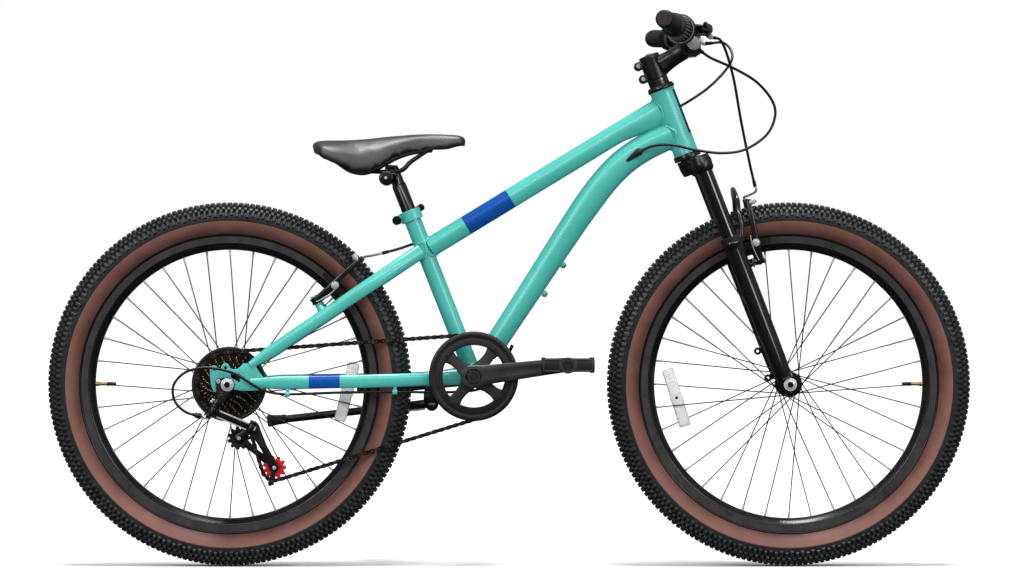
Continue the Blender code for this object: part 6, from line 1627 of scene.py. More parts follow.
def dress_lowers():
    """The lower legs with seals, arch, brake bosses, reflector eyelets and hollow axle tabs."""
    shapes = []
    seals = []
    for sign in (-1, 1):
        foot = HEAD_FOOT + STEER_FORWARD * LEG_OFFSET + ACROSS * (sign * LEG_HALF)
        shapes.append(tinted(turned(leg_section(), foot, STEER_UP, 64, closed=False), 0))
        seals.append(turned(seal_section(), foot, STEER_UP, 56))
        shapes += [tinted(part, 0) for part in axle_tab(sign)]
        pivot = front_brake_pivot(sign)
        root = steer(-BRAKE_DROP, LEG_OFFSET, sign * (LEG_HALF - 0.004))
        neck = smooth_route([root, root.lerp(pivot, 0.45), pivot - STEER_FORWARD * 0.0125], 10)
        shapes.append(tinted(tube(neck, fade(0.0100, 0.0070, 10), 24), 0))
        shapes.append(tinted(rod(pivot - STEER_FORWARD * 0.015, pivot, 0.0064, 28, None, 0.0006), 0))
        if sign > 0:
            for drop in (0.372, 0.423):
                shapes.append(tinted(eyelet(drop), 0))
    shapes.append(tinted(arch_bar(), 0))
    shapes.append(tinted(cable_hook(), 1))
    piece("fork_lower_legs", "fork_lowers", merged(*shapes), [GLOSS_BLACK, BLACK_PLASTIC],
          "fork_lowers")
    piece("fork_seals", "fork_lowers", merged(*[tinted(s, 0) for s in seals]), RUBBER)


def cable_hook():
    """The little guide on the leg that holds a cable."""
    start = steer(-0.222, LEG_OFFSET + LEG_RADIUS - 0.002, -LEG_HALF + 0.002)
    return tube(smooth_route([start, start + STEER_FORWARD * 0.0055,
                              start + STEER_FORWARD * 0.0080 - STEER_UP * 0.0040,
                              start + STEER_FORWARD * 0.0060 - STEER_UP * 0.0075], 12), 0.0013, 10)


def eyelet(drop):
    """A ringed tab behind the left leg."""
    middle = steer(-drop, LEG_OFFSET - 0.0215, LEG_HALF - 0.006)
    return merged(
        ring_solid(0.0024, 0.0066, -0.0034, 0.0034, middle, ACROSS, 28, 0.0008),
        block(middle + STEER_FORWARD * 0.0085, (0.0110, 0.0068, 0.0115), STEER_UP, STEER_FORWARD,
              0.0016))


def axle_tab(sign):
    """The round end of a leg, dished on its outer face, that holds the axle."""
    centre = FRONT_AXLE + ACROSS * (sign * (FRONT_TAB_IN + FORK_TAB / 2))
    half = FORK_TAB / 2
    profile = [(0.0054, -half), (0.0148, -half), (0.0159, -half + 0.0012), (0.0159, half - 0.0012),
               (0.0150, half), (0.0138, half), (0.0132, half - 0.0008), (0.0130, half - 0.0022),
               (0.0054, half - 0.0022)]
    tab = turned(profile, centre, ACROSS * sign, 56)
    top = FRONT_AXLE + STEER_UP * 0.0135 - STEER_FORWARD * 0.002 + ACROSS * (sign * 0.0545)
    bridge = block(top, (0.0240, 0.0085, 0.0200), STEER_UP, STEER_FORWARD, 0.0025)
    return [tab, bridge]


def arch_bar():
    """The forged arch from leg to leg over the tyre, with its two ribs."""
    half = []
    for drop, forward, side, size in (
            (SEAL_DROP + 0.026, LEG_OFFSET + 0.004, LEG_HALF, 0.0100),
            (SEAL_DROP + 0.010, LEG_OFFSET + 0.016, LEG_HALF, 0.0104),
            (SEAL_DROP - 0.010, LEG_OFFSET + 0.026, LEG_HALF - 0.001, 0.0092),
            (SEAL_DROP - 0.035, ARCH_FORWARD - 0.004, LEG_HALF - 0.005, 0.0084),
            (SEAL_DROP - 0.055, ARCH_FORWARD + 0.002, LEG_HALF - 0.014, 0.0082),
            (-ARCH_TOP + 0.0085, ARCH_FORWARD + 0.003, LEG_HALF * 0.55, 0.0082),
            (-ARCH_TOP + 0.0020, ARCH_FORWARD + 0.004, LEG_HALF * 0.25, 0.0080)):
        half.append((steer(-drop, forward, side), size))
    other = [(Vector((p.x, -p.y, p.z)), size) for p, size in reversed(half)]
    middle = [(steer(ARCH_TOP - 0.0005, ARCH_FORWARD + 0.004, 0.0), 0.0080)]
    both = half + middle + other
    route = smooth_route([p for p, _ in both], 61)
    sizes = [both[min(len(both) - 1, round(k / 60 * (len(both) - 1)))][1] for k in range(61)]
    shape = bmesh.new()
    rings = []
    for k, point in enumerate(route):
        along = (route[min(k + 1, 60)] - route[max(k - 1, 0)]).normalized()
        front = (STEER_FORWARD - along * along.dot(STEER_FORWARD)).normalized()
        up = along.cross(front)
        rings.append(ring_of(shape, rounded_ring(point, front, up, sizes[k] * 0.52, sizes[k], 3)))
    return skinned(shape, rings)


def axle_section(hub_width, tab, half_length, nut):
    """Points of (radius, side) for an axle with its locknuts, washers and threaded ends."""
    inner = hub_width / 2 - 0.0003
    outer = hub_width / 2 + tab + 0.0003
    half = [(0.0050, inner - 0.0022), (0.0084, inner - 0.0022), (0.0084, inner), (0.0050, inner),
            (0.0050, outer), (nut, outer), (nut + 0.0004, outer + 0.0004),
            (nut + 0.0004, outer + 0.0016), (nut, outer + 0.0020), (0.0050, outer + 0.0020),
            (0.0050, half_length - 0.0008), (0.0042, half_length), (0, half_length)]
    return [(r, -y) for r, y in reversed(half)] + half


def dress_axle(name, body, centre, hub_width, tab, half_length, finish):
    """A wheel's axle with washers, domed nuts and bare thread ends."""
    shapes = [tinted(turned(axle_section(hub_width, tab, half_length, 0.0084), centre, ACROSS, 48,
                            closed=False), 1)]
    outer = hub_width / 2 + tab + 0.0020
    for sign in (-1, 1):
        middle = centre + ACROSS * (sign * (outer + 0.0034))
        shapes.append(tinted(hex_nut(middle, ACROSS, 0.0156, 0.0062, 0.0009), 0))
        shapes.append(tinted(ring_solid(0.0052, 0.0114, -0.0036, -0.0014, middle, ACROSS * sign, 48,
                                        0.0007), 0))
        crown = [(0.0050, 0.0), (0.0071, 0.0), (0.0066, 0.0014), (0.0050, 0.0018)]
        shapes.append(tinted(turned(crown, middle + ACROSS * (sign * 0.0028), ACROSS * sign, 36), 0))
        for ring in range(4):
            spot = centre + ACROSS * (sign * (half_length - 0.0014 - ring * 0.0013))
            shapes.append(tinted(ring_solid(0.0046, 0.00515, -0.0003, 0.0003, spot, ACROSS, 32), 1))
    piece(name, body, merged(*shapes), [finish, BLACK_ALLOY],
          "front_axle" if body == "fork_lowers" else "rear_axle")


dress_crown()
dress_lowers()
dress_axle("front_axle_and_nuts", "fork_lowers", FRONT_AXLE, 0.100, FORK_TAB, 0.073, CHROME)
dress_axle("rear_axle_and_nuts", "frame", REAR_AXLE, REAR_HUB_WIDTH, DROPOUT_THICKNESS, 0.086,
           CHROME)


# Handlebar and controls

STEM_STACK = 0.141
STEM_HEIGHT = 0.040
STEM_LENGTH = 0.074
BAR_RADIUS = 0.0127
BAR_HALF = 0.310
BAR_CLAMP_HALF = 0.024
GRIP_RADIUS = 0.0158
GRIP_LENGTHS = {-1: 0.092, 1: 0.126}
TWIST_INNER = 0.158
TWIST_LENGTH = 0.052
LEVER_Y = {-1: 0.120, 1: 0.150}
LEVER_REACH = 0.056


def bar_point(y, forward=0.0, up=0.0):
    """A point on the handlebar's centre line, or off it by a distance forward and up."""
    reach = abs(y)
    clamp = steer(STEM_STACK + STEM_HEIGHT / 2 + 0.012, STEM_LENGTH)
    rise = 0.0155 * smooth_step((reach - BAR_CLAMP_HALF) / 0.055)
    out = max(0.0, reach - BAR_CLAMP_HALF - 0.02)
    return clamp + Vector((-0.21 * out + forward, y, rise + 0.06 * out + up))


def bar_direction(sign):
    """The way that a grip's axis points, outwards."""
    return (bar_point(sign * BAR_HALF) - bar_point(sign * 0.20)).normalized()


def lever_pivot(sign):
    """The pivot of a brake lever, in front of the bar."""
    return bar_point(sign * (LEVER_Y[sign] - 0.004), 0.034, 0.002)


def barrel_end(sign):
    """The end of a brake lever's cable adjuster."""
    return bar_point(sign * (LEVER_Y[sign] - 0.030), 0.042, 0.002)


def sleeve_on_bar(start_y, profile, sign, steps=64):
    """A sleeve on the bar from points of (radius, distance outwards), bored for the bar."""
    inside = BAR_RADIUS + 0.0002
    points = [(inside, profile[0][1])] + profile + [(inside, profile[-1][1])]
    return turned(points, bar_point(sign * start_y), bar_direction(sign), steps)


def dress_stem():
    """The quill-less stem: its clamp with two pinch bolts, its neck, its face clamp and top cap."""
    low, high = STEM_STACK, STEM_STACK + STEM_HEIGHT
    bar_middle = bar_point(0)
    wall = STEERER_RADIUS + 0.0048
    sleeve = [(STEERER_RADIUS + 0.0002, low), (wall - 0.0008, low), (wall, low + 0.0008),
              (wall, high - 0.0008), (wall - 0.0008, high), (STEERER_RADIUS + 0.0002, high)]
    shapes = [tinted(turned(sleeve, HEAD_FOOT, STEER_UP, 64), 0)]
    neck_start = steer((low + high) / 2, STEERER_RADIUS - 0.001)
    run = (bar_middle - neck_start).normalized()
    neck_end = bar_middle - run * (BAR_RADIUS + 0.0010)
    neck = bmesh.new()
    rings = []
    for k in range(15):
        share = k / 14
        point = neck_start.lerp(neck_end, share)
        waist = 1.0 - 0.10 * math.sin(math.pi * share)
        high_half = (0.0192 - 0.0034 * share) * waist
        wide_half = (0.0166 + 0.0050 * share ** 3) * waist
        up = run.cross(ACROSS) * -1
        rings.append(ring_of(neck, rounded_ring(point, ACROSS, up, wide_half, high_half, 2.5, 40)))
    shapes.append(tinted(skinned(neck, rings), 0))
    outer = BAR_RADIUS + 0.0055
    clamp = [(BAR_RADIUS + 0.0002, -0.0238), (outer - 0.0010, -0.0238), (outer, -0.0228),
             (outer, 0.0228), (outer - 0.0010, 0.0238), (BAR_RADIUS + 0.0002, 0.0238)]
    shapes.append(tinted(turned(clamp, bar_middle, ACROSS, 64), 0))
    up = run.cross(ACROSS) * -1
    for lift in (-1, 1):
        lug = block(bar_middle + run * 0.0040 + up * (lift * 0.0162), (0.0150, 0.0440, 0.0080), up,
                    run, 0.0020)
        shapes.append(tinted(lug, 0))
        for side in (-1, 1):
            spot = bar_middle + run * 0.0108 + up * (lift * 0.0162) + ACROSS * (side * 0.0155)
            shapes.append(tinted(socket_bolt(spot, run, 0.0034, 0.0034), 1))
    for lift in (-0.0120, 0.0120):
        lug = steer(low + STEM_HEIGHT / 2 + lift, -STEERER_RADIUS - 0.0094)
        web = block(lug + STEER_FORWARD * 0.0052, (0.0120, 0.0168, 0.0148), STEER_UP, STEER_FORWARD,
                    0.0016)
        shapes.append(tinted(web, 0))
        for side in (-1, 1):
            face = lug + ACROSS * (side * 0.0086)
            shapes.append(tinted(rod(lug + ACROSS * (side * 0.0006), face, 0.0078, 40, None, 0.0010), 0))
            shapes.append(tinted(socket_bolt(face - ACROSS * (side * 0.0004), ACROSS * side, 0.0036,
                                             0.0022), 1))
    cap = [(0.0, high + 0.0002), (0.0180, high + 0.0002), (0.0186, high + 0.0010),
           (0.0182, high + 0.0028), (0.0165, high + 0.0042), (0.0080, high + 0.0050),
           (0.0, high + 0.0050)]
    shapes.append(tinted(turned(cap, HEAD_FOOT, STEER_UP, 56, closed=False), 2))
    shapes.append(tinted(socket_bolt(steer(high + 0.0046, 0), STEER_UP, 0.0046, 0.0026), 1))
    piece("stem_and_clamp", "steering", merged(*shapes), [BLACK_COAT, SILVER, BLACK_PLASTIC],
          "stem")

    base = HEAD_LENGTH + 0.0103
    wall = STEERER_RADIUS + 0.0040
    spacer = [(STEERER_RADIUS + 0.0003, base), (wall - 0.0005, base), (wall, base + 0.0005),
              (wall, base + 0.0048), (wall - 0.0006, base + 0.0053), (wall, base + 0.0058),
              (wall, STEM_STACK - 0.0008), (wall - 0.0005, STEM_STACK - 0.0003),
              (STEERER_RADIUS + 0.0003, STEM_STACK - 0.0003)]
    piece("steerer_spacers", "steering", turned(spacer, HEAD_FOOT, STEER_UP, 64), SILVER_BLACK,
          "steerer_spacer")


SILVER_BLACK = plain_finish("dark_anodised_spacer", linear(46, 46, 50), linear(104, 104, 108), 0.18,
                            0.9, patch=90.0)
GRIP_BLACK = rubber("grip_rubber", linear(8, 8, 8), linear(15, 15, 15), 0.50)
GRIP_GREY = rubber("twist_ring_rubber", linear(84, 83, 82), linear(122, 120, 118), 0.46)
POD_GREY = plain_finish("grey_pod_plastic", linear(136, 137, 139), linear(164, 165, 166), 0.36, patch=60.0)


def dress_bar():
    """The bent handlebar with a knurled middle."""
    reaches = [-BAR_HALF, -0.26, -0.20, -0.15, -0.10, -0.078, -0.056, -0.040, -BAR_CLAMP_HALF]
    route = [bar_point(y) for y in reaches + [0.0] + [-y for y in reversed(reaches)]]
    bar = tube(smooth_route(route, 121), BAR_RADIUS - 0.0001, 40)
    piece("bent_handlebar", "steering", bar, BLACK_COAT, "handlebar")


def grip_section(length, flange):
    """Points of (radius, distance) along a grip: flange, waffled ribs and a rounded end."""
    points = [(GRIP_RADIUS + flange - 0.0006, 0.0), (GRIP_RADIUS + flange, 0.0008),
              (GRIP_RADIUS + flange, 0.0030), (GRIP_RADIUS + flange - 0.0006, 0.0038),
              (GRIP_RADIUS + 0.0008, 0.0052)]
    along = 0.0065
    while along < length - 0.0135:
        points += [(GRIP_RADIUS - 0.0009, along), (GRIP_RADIUS - 0.0009, along + 0.0006),
                   (GRIP_RADIUS, along + 0.0010), (GRIP_RADIUS + 0.0002, along + 0.0020),
                   (GRIP_RADIUS, along + 0.0030)]
        along += 0.0036
    return points + [(GRIP_RADIUS - 0.0002, length - 0.0110), (GRIP_RADIUS, length - 0.0090),
                     (GRIP_RADIUS - 0.0004, length - 0.0028), (GRIP_RADIUS - 0.0016, length - 0.0008),
                     (GRIP_RADIUS - 0.0030, length)]


def dress_grips():
    """Ribbed rubber grips, closed at their ends."""
    for side, sign in (("right", -1), ("left", 1)):
        inner_y = BAR_HALF - GRIP_LENGTHS[sign]
        length = (bar_point(sign * BAR_HALF) - bar_point(sign * inner_y)).length + 0.0002
        shape = tinted(sleeve_on_bar(inner_y, grip_section(length, 0.0053), sign), 0)
        end = bar_point(sign * BAR_HALF) + bar_direction(sign) * 0.0002
        cap = [(0.0, -0.004), (0.0122, -0.004), (0.0130, -0.0016), (0.0130, -0.0008),
               (0.0122, -0.0001), (0.0060, 0.0), (0.0052, -0.0007), (0.0, -0.0007)]
        shape = merged(shape, tinted(turned(cap, end, bar_direction(sign), 48, closed=False), 0))
        piece("ribbed_grip_" + side, "steering", shape, GRIP_BLACK, "grip_" + side)


def dress_twist_shifter():
    """The twist ring with its grey finger ridges on a black body, the black painted shade in the gaps
    between them, and the fixed pod that takes its cable.
    """
    length = (bar_point(-TWIST_INNER - TWIST_LENGTH) - bar_point(-TWIST_INNER)).length
    ring = [(0.0180, 0.0006), (0.0214, 0.0), (0.0226, 0.0012), (0.0226, length * 0.10),
            (0.0210, length * 0.14), (0.0182, length * 0.80), (0.0188, length * 0.84),
            (0.0190, length * 0.88), (0.0190, length * 0.96), (0.0182, length - 0.0004),
            (0.0160, length - 0.0004)]
    # The ring's body takes the black grip rubber: painted shade in the gaps between the grey ridges of a
    # ring that is grey all over.
    shapes = [tinted(sleeve_on_bar(TWIST_INNER, ring, -1, 72), 0)]
    direction = bar_direction(-1)
    start = bar_point(-TWIST_INNER)
    front = (Vector((1, 0, 0)) - direction * direction.x).normalized()
    across = direction.cross(front)
    for n in range(22):
        angle = 2 * math.pi * n / 22
        out = front * math.cos(angle) + across * math.sin(angle)
        ridge = tube([start + direction * (length * 0.13) + out * 0.0212,
                      start + direction * (length * 0.45) + out * 0.0200,
                      start + direction * (length * 0.81) + out * 0.0184],
                     [0.0012, 0.0017, 0.0015], 10)
        shapes.append(tinted(ridge, 1))
    piece("twist_ring", "shifter", merged(*shapes), [GRIP_BLACK, GRIP_GREY],
          "twist_shifter")

    pod_y = -(TWIST_INNER - 0.0105)
    begin = bar_point(pod_y)
    body = [(BAR_RADIUS + 0.0003, -0.0085), (0.0172, -0.0085), (0.0184, -0.0072),
            (0.0200, -0.0034), (0.0256, -0.0010), (0.0267, 0.0006), (0.0267, 0.0062),
            (0.0260, 0.0076), (0.0250, 0.0078), (0.0246, 0.0070), (0.0232, 0.0070),
            (0.0228, 0.0078), (BAR_RADIUS + 0.0003, 0.0078)]
    parts = [tinted(turned(body, begin, direction, 72), 1)]
    trim = [(0.0229, 0.0069), (0.0245, 0.0069), (0.0243, 0.0076), (0.0231, 0.0076)]
    parts.append(tinted(turned(trim, begin, direction, 72), 0))
    cable_start = shift_front_route()[0]
    near = begin + Vector((0.0030, -0.0020, -0.0030))
    spine = smooth_route([near.lerp(cable_start, share) for share in (0.22, 0.50, 0.74, 0.92)], 20)
    sizes = []
    for k in range(20):
        swell = 0.0068 + 0.0042 * math.sin(math.pi * (k / 19) ** 1.3)
        sizes.append(swell * math.sqrt(max(0.10, 1 - (max(0.0, k / 19 - 0.72) / 0.285) ** 2)))
    parts.append(tinted(tube(spine, sizes, 32), 0))
    last = spine[-1]
    parts.append(tinted(tube([last - (cable_start - last) * 0.15, cable_start,
                              cable_start + (cable_start - last) * 0.4],
                             [0.0040, 0.0036, 0.0033], 20), 1))
    parts.append(tinted(socket_bolt(begin + Vector((-0.0150, 0.0, -0.0105)),
                                    Vector((-0.6, 0, -0.8)), 0.0030, 0.0026), 2))
    piece("shifter_pod", "steering", merged(*parts), [POD_GREY, BLACK_PLASTIC, SILVER])


def dress_levers():
    """The brake levers on their hinges, with hooded brackets and knurled cable adjusters."""
    for side, sign in (("right", -1), ("left", 1)):
        clamp_y = sign * LEVER_Y[sign]
        direction = bar_direction(sign)
        begin = bar_point(clamp_y)
        band = [(BAR_RADIUS + 0.0003, -0.0092), (0.0168, -0.0092), (0.0176, -0.0082),
                (0.0176, 0.0082), (0.0168, 0.0092), (BAR_RADIUS + 0.0003, 0.0092)]
        parts = [tinted(turned(band, begin, direction, 56), 0)]
        for lift in (-1, 1):
            cheek = block(bar_point(clamp_y - sign * 0.001, 0.0290, 0.002 + lift * 0.0074),
                          (0.0310, 0.0190, 0.0030), UPRIGHT, (1, 0, 0), 0.0012)
            parts.append(tinted(cheek, 0))
        root = block(bar_point(clamp_y - sign * 0.001, 0.0165, 0.002), (0.0100, 0.0184, 0.0180),
                     UPRIGHT, (1, 0, 0), 0.0024)
        parts.append(tinted(root, 0))
        wall = block(bar_point(clamp_y - sign * 0.0100, 0.0290, 0.002), (0.0310, 0.0036, 0.0172),
                     UPRIGHT, (1, 0, 0), 0.0014)
        parts.append(tinted(wall, 0))
        rib = block(bar_point(clamp_y - sign * 0.004, 0.0255, 0.0112), (0.0200, 0.0040, 0.0040),
                    Vector((0.10, 0, 1)), (1, 0, 0), 0.0013)
        parts.append(tinted(rib, 0))
        foot = bar_point(clamp_y - sign * 0.008, 0.036, 0.001)
        end = (front_brake_route() if sign < 0 else rear_brake_route())[0]
        run = (end - foot).normalized()
        parts.append(tinted(rod(foot, foot.lerp(end, 0.45), 0.0062, 32, 0.0054, 0.0008), 0))
        lock = ring_solid(0.0028, 0.0056, -0.0014, 0.0014, foot.lerp(end, 0.55), run, 12, 0.0004)
        parts.append(tinted(lock, 1))
        middle = foot.lerp(end, 0.80)
        barrel = turned([(0.0026, -0.0052), (0.0048, -0.0052), (0.0051, -0.0044), (0.0050, 0.0016),
                         (0.0042, 0.0030), (0.0040, 0.0066), (0.0026, 0.0066)], middle, run, 32)
        side_way = run.orthogonal().normalized()
        ridges = block(middle - run * 0.0014 + side_way * 0.0050, (0.0009, 0.0010, 0.0056), run,
                       side_way)
        parts += [tinted(barrel, 1), tinted(repeated(ridges, foot, 18, run), 1)]
        pivot = lever_pivot(sign)
        parts.append(tinted(rod(pivot - UPRIGHT * 0.0088, pivot + UPRIGHT * 0.0088, 0.0026, 24,
                                None, 0.0005), 1))
        bolt = begin + Vector((-0.0040, 0, -0.0165))
        parts.append(tinted(socket_bolt(bolt, Vector((-0.25, 0, -1)), 0.0034, 0.0028), 1))
        piece("lever_hood_" + side, "steering", merged(*parts), [BLACK_COAT, SILVER],
              "lever_bracket_" + side)

        hub = rod(pivot - UPRIGHT * 0.0034, pivot + UPRIGHT * 0.0034, 0.0074, 36, None, 0.0008)
        reach = LEVER_Y[sign]
        route = smooth_route([
            pivot, bar_point(sign * (reach + 0.022), LEVER_REACH - 0.006, 0.0),
            bar_point(sign * (reach + 0.060), LEVER_REACH, -0.001),
            bar_point(sign * (reach + 0.098), LEVER_REACH - 0.002, -0.002),
            bar_point(sign * (reach + 0.118), LEVER_REACH + 0.004, -0.002)], 40)
        blade = lever_blade(route)
        piece("lever_blade_" + side, "brake_lever_" + side,
              merged(tinted(hub, 0), tinted(blade, 0)), BLACK_COAT,
              "brake_lever_" + side)


def lever_blade(route):
    """A lever's flat, two-finger blade with a dished front and a rounded knob at its end."""
    shape = bmesh.new()
    rings = []
    last = len(route) - 1
    for k, point in enumerate(route):
        along = (route[min(k + 1, last)] - route[max(k - 1, 0)]).normalized()
        front = along.cross(UPRIGHT).normalized()
        up = front.cross(along)
        share = k / last
        tall = 0.0040 + 0.0024 * smooth_step(share / 0.35)
        thick = 0.0034 + 0.0004 * share
        if share > 0.93:
            tall *= math.sqrt(max(0.10, 1 - ((share - 0.93) / 0.072) ** 2))
            thick *= math.sqrt(max(0.10, 1 - ((share - 0.93) / 0.072) ** 2))
        rings.append(ring_of(shape, rounded_ring(point, front, up, thick, tall, 2.6, 20)))
    return skinned(shape, rings)


# Cables

CABLE_RADIUS = 0.0025


def front_brake_route():
    """The front brake cable's centre line, from the right lever to the top of the brake arms."""
    return [
        barrel_end(-1) + Vector((0.0009, 0.0020, -0.0083)), steer(0.1575, 0.1251, -0.0700),
        steer(0.0981, 0.1236, -0.0450), steer(0.0158, 0.1090, -0.0240),
        steer(-0.0590, 0.0973, -0.0080), steer(-0.0979, 0.0925, 0.0)]


def rear_brake_route():
    """The rear brake cable's, from the left lever along the top tube to the rear arms."""
    return [
        barrel_end(1) + Vector((0.0072, -0.0020, -0.0101)), steer(0.1594, 0.1398, 0.0980),
        steer(0.1274, 0.1392, 0.0700), steer(0.0984, 0.0894, 0.0480),
        steer(0.0827, 0.0245, 0.0360), beside_top_tube(0.901, -0.0082, 0.0240),
        beside_top_tube(0.577, -0.0053, 0.0225), beside_top_tube(0.203, -0.0039, 0.0225),
        seat(0.2478, 0.0245, 0.0235), seat(0.2550, -0.0103, 0.0220),
        seat(0.2567, -0.0419, 0.0140), seat(0.2603, -0.0727, 0.0060)]


def shift_front_route():
    """The gear cable's first stretch, from the twist shifter into the down tube."""
    return [
        steer(0.1577, 0.0802, -0.1300), steer(0.1384, 0.0942, -0.1120),
        steer(0.1074, 0.1272, -0.0850), steer(0.0725, 0.1566, -0.0600),
        steer(0.0344, 0.1719, -0.0380), steer(0.0058, 0.1684, -0.0320),
        steer(-0.0206, 0.1422, -0.0340), steer(-0.0311, 0.0973, -0.0400),
        steer(-0.0221, 0.0558, -0.0460), steer(0.0, 0.0140, -0.0460),
        steer(0.0228, -0.0201, -0.0400), steer(0.0328, -0.0516, -0.0320),
        steer(0.0319, -0.0798, -0.0262)]


def shift_rear_route():
    """Its second stretch, out of the down tube, along the chainstay and round to the derailleur."""
    from_shell = [
        (0.0679, -0.0100, 0.0540), (0.0499, -0.0130, 0.0175), (0.0279, -0.0170, -0.0125),
        (0.0, -0.0220, -0.0255), (-0.0581, -0.0360, -0.0285), (-0.1381, -0.0510, -0.0275)]
    from_axle = [
        (0.1920, -0.0620, -0.0140), (0.1050, -0.0700, -0.0165), (0.0670, -0.0785, -0.0110),
        (0.0420, -0.0820, 0.0020), (0.0120, -0.0850, 0.0200), (-0.0300, -0.0870, 0.0300),
        (-0.0680, -0.0880, 0.0240), (-0.0900, -0.0890, 0.0050), (-0.0940, -0.0890, -0.0150),
        (-0.0870, -0.0885, -0.0340), (-0.0700, -0.0880, -0.0480), (-0.0480, -0.0880, -0.0540)]
    return ([BOTTOM_BRACKET + Vector(offset) for offset in from_shell]
            + [REAR_AXLE + Vector(offset) for offset in from_axle])


FERRULE_RADIUS = 0.0031
FERRULE_HALF = 0.006
FERRULE_EDGE = 0.0008


def ferrule(point, direction):
    """A metal end cap on a cable's sheath."""
    run = direction.normalized()
    spots = (-FERRULE_HALF, FERRULE_EDGE - FERRULE_HALF, FERRULE_HALF - FERRULE_EDGE, FERRULE_HALF)
    narrow = FERRULE_RADIUS - 0.0005
    return tube([point + run * spot for spot in spots],
                [narrow, FERRULE_RADIUS, FERRULE_RADIUS, narrow], 20)


def dress_cables():
    """Both brake cables and both stretches of gear cable, with the caps on their sheaths."""
    front, rear, shift = front_brake_route(), rear_brake_route(), shift_front_route()
    for name, body, route, count, node in (
            ("front_brake_sheath", ("steering", "fork_lowers", front[2], front[-1]), front, 90,
             "front_brake_cable"),
            ("rear_brake_sheath", ("steering", "frame", rear[1], rear[5]), rear, 180,
             "rear_brake_cable"),
            ("gear_sheath_front", ("steering", "frame", shift[0], shift[-1]), shift, 150,
             "shift_cable_front"),
            ("gear_sheath_rear", "frame", shift_rear_route(), 190, "shift_cable_rear")):
        run = smooth_route(route, count)
        shapes = [tinted(tube(run, CABLE_RADIUS - 0.0001, 16), 0)]
        for end, near in ((0, 3), (-1, -4)):
            shapes.append(tinted(ferrule(run[end].lerp(run[near], 0.5), run[near] - run[end]), 1))
        piece(name, body, merged(*shapes), [CABLE, BLACK_ALLOY], node)
    run = smooth_route(shift_front_route(), 150)
    entry = run[-1]
    way = (run[-1] - run[-8]).normalized()
    grommet = [(0.0029, -0.0052), (0.0058, -0.0048), (0.0066, -0.0030), (0.0064, 0.0000),
               (0.0052, 0.0030), (0.0029, 0.0036)]
    tip = entry + Vector((-0.0190, 0.0056, -0.0150))
    boot = smooth_route([entry - way * 0.0090, entry - way * 0.0010, entry.lerp(tip, 0.5), tip], 16)
    thick = [0.0030, 0.0044, 0.0056, 0.0060, 0.0060] + fade(0.0059, 0.0024, 11)
    shapes = [turned(grommet, entry - way * 0.001, way, 32), tube(boot, thick, 20)]
    piece("cable_entry_grommet", "frame", merged(*shapes), RUBBER)


dress_stem()
dress_bar()
dress_grips()
dress_twist_shifter()
dress_levers()
dress_cables()


# Brakes

BRAKE_ARM_LENGTH = 0.106
PAD_LENGTH = 0.058
RIM_WIDTH = 0.038
TRACK_RADIUS = RIM_RADIUS - 0.0264 * 0.28


def brake_frame(pivot, centre, out, sign):
    """A brake arm's start and end, its upward direction and how far along the pad sits."""
    radial = pivot - centre
    radial.y = 0
    up = (radial - out * radial.dot(out)).normalized()
    shift = ACROSS * (sign * 0.006)
    start = pivot + out * 0.006
    end = start + up * BRAKE_ARM_LENGTH + out * 0.018 + shift
    lift = radial.dot(up)
    aside = (radial - up * lift).length + 0.008
    return start, end, up, math.sqrt(TRACK_RADIUS ** 2 - aside ** 2) - lift


def forged_arm(start, end, sign):
    """The arm itself: wide at its foot, drawn in above the pad, with a flat front."""
    shape = bmesh.new()
    route = smooth_route([
        start + ACROSS * (sign * 0.001), start.lerp(end, 0.35) + ACROSS * (sign * 0.006),
        start.lerp(end, 0.7) + ACROSS * (sign * 0.006), end], 30)
    rings = []
    for k, point in enumerate(route):
        share = k / 29
        along = (route[min(k + 1, 29)] - route[max(k - 1, 0)]).normalized()
        side = (ACROSS - along * along.y).normalized()
        front = along.cross(side)
        wide = 0.0068 - 0.0026 * smooth_step(share / 0.8)
        deep = 0.0062 - 0.0018 * share
        rings.append(ring_of(shape, rounded_ring(point, side, front, wide, deep, 3.4)))
    return skinned(shape, rings)


def brake_shoe(reach, inner_y, sign, centre):
    """The curved rubber pad in its holder, with slots, and its threaded post."""
    radius = Vector((reach.x - centre.x, 0, reach.z - centre.z)).length
    angle = math.atan2(reach.z - centre.z, reach.x - centre.x)
    half = PAD_LENGTH / 2 / radius
    shapes = []
    for low, high, tall, slot in ((0.0, 0.0056, 0.0050, 0), (0.0056, 0.0090, 0.0044, 1)):
        shape = bmesh.new()
        rings = []
        for k in range(17):
            turn = angle - half + 2 * half * k / 16
            pinch = 1.0 - 0.45 * max(0.0, (abs(k - 8) - 6.5) / 1.5)
            dent = 0.0008 if slot == 0 and k % 4 == 2 else 0.0
            ring = []
            for a, b in ((-1, 0), (-0.8, -0.12), (0.8, -0.12), (1, 0), (1, 1), (0.85, 1.1),
                         (-0.85, 1.1), (-1, 1)):
                depth = low + (high - low) * min(max(b, 0.0), 1.0)
                depth = depth + dent if b < 0.5 else depth
                ring.append(around(centre, radius + a * (tall - dent) * pinch, turn,
                                   inner_y + sign * depth))
            rings.append(ring_of(shape, ring))
        shapes.append(tinted(skinned(shape, rings), 2 if slot == 0 else 0))
    return shapes


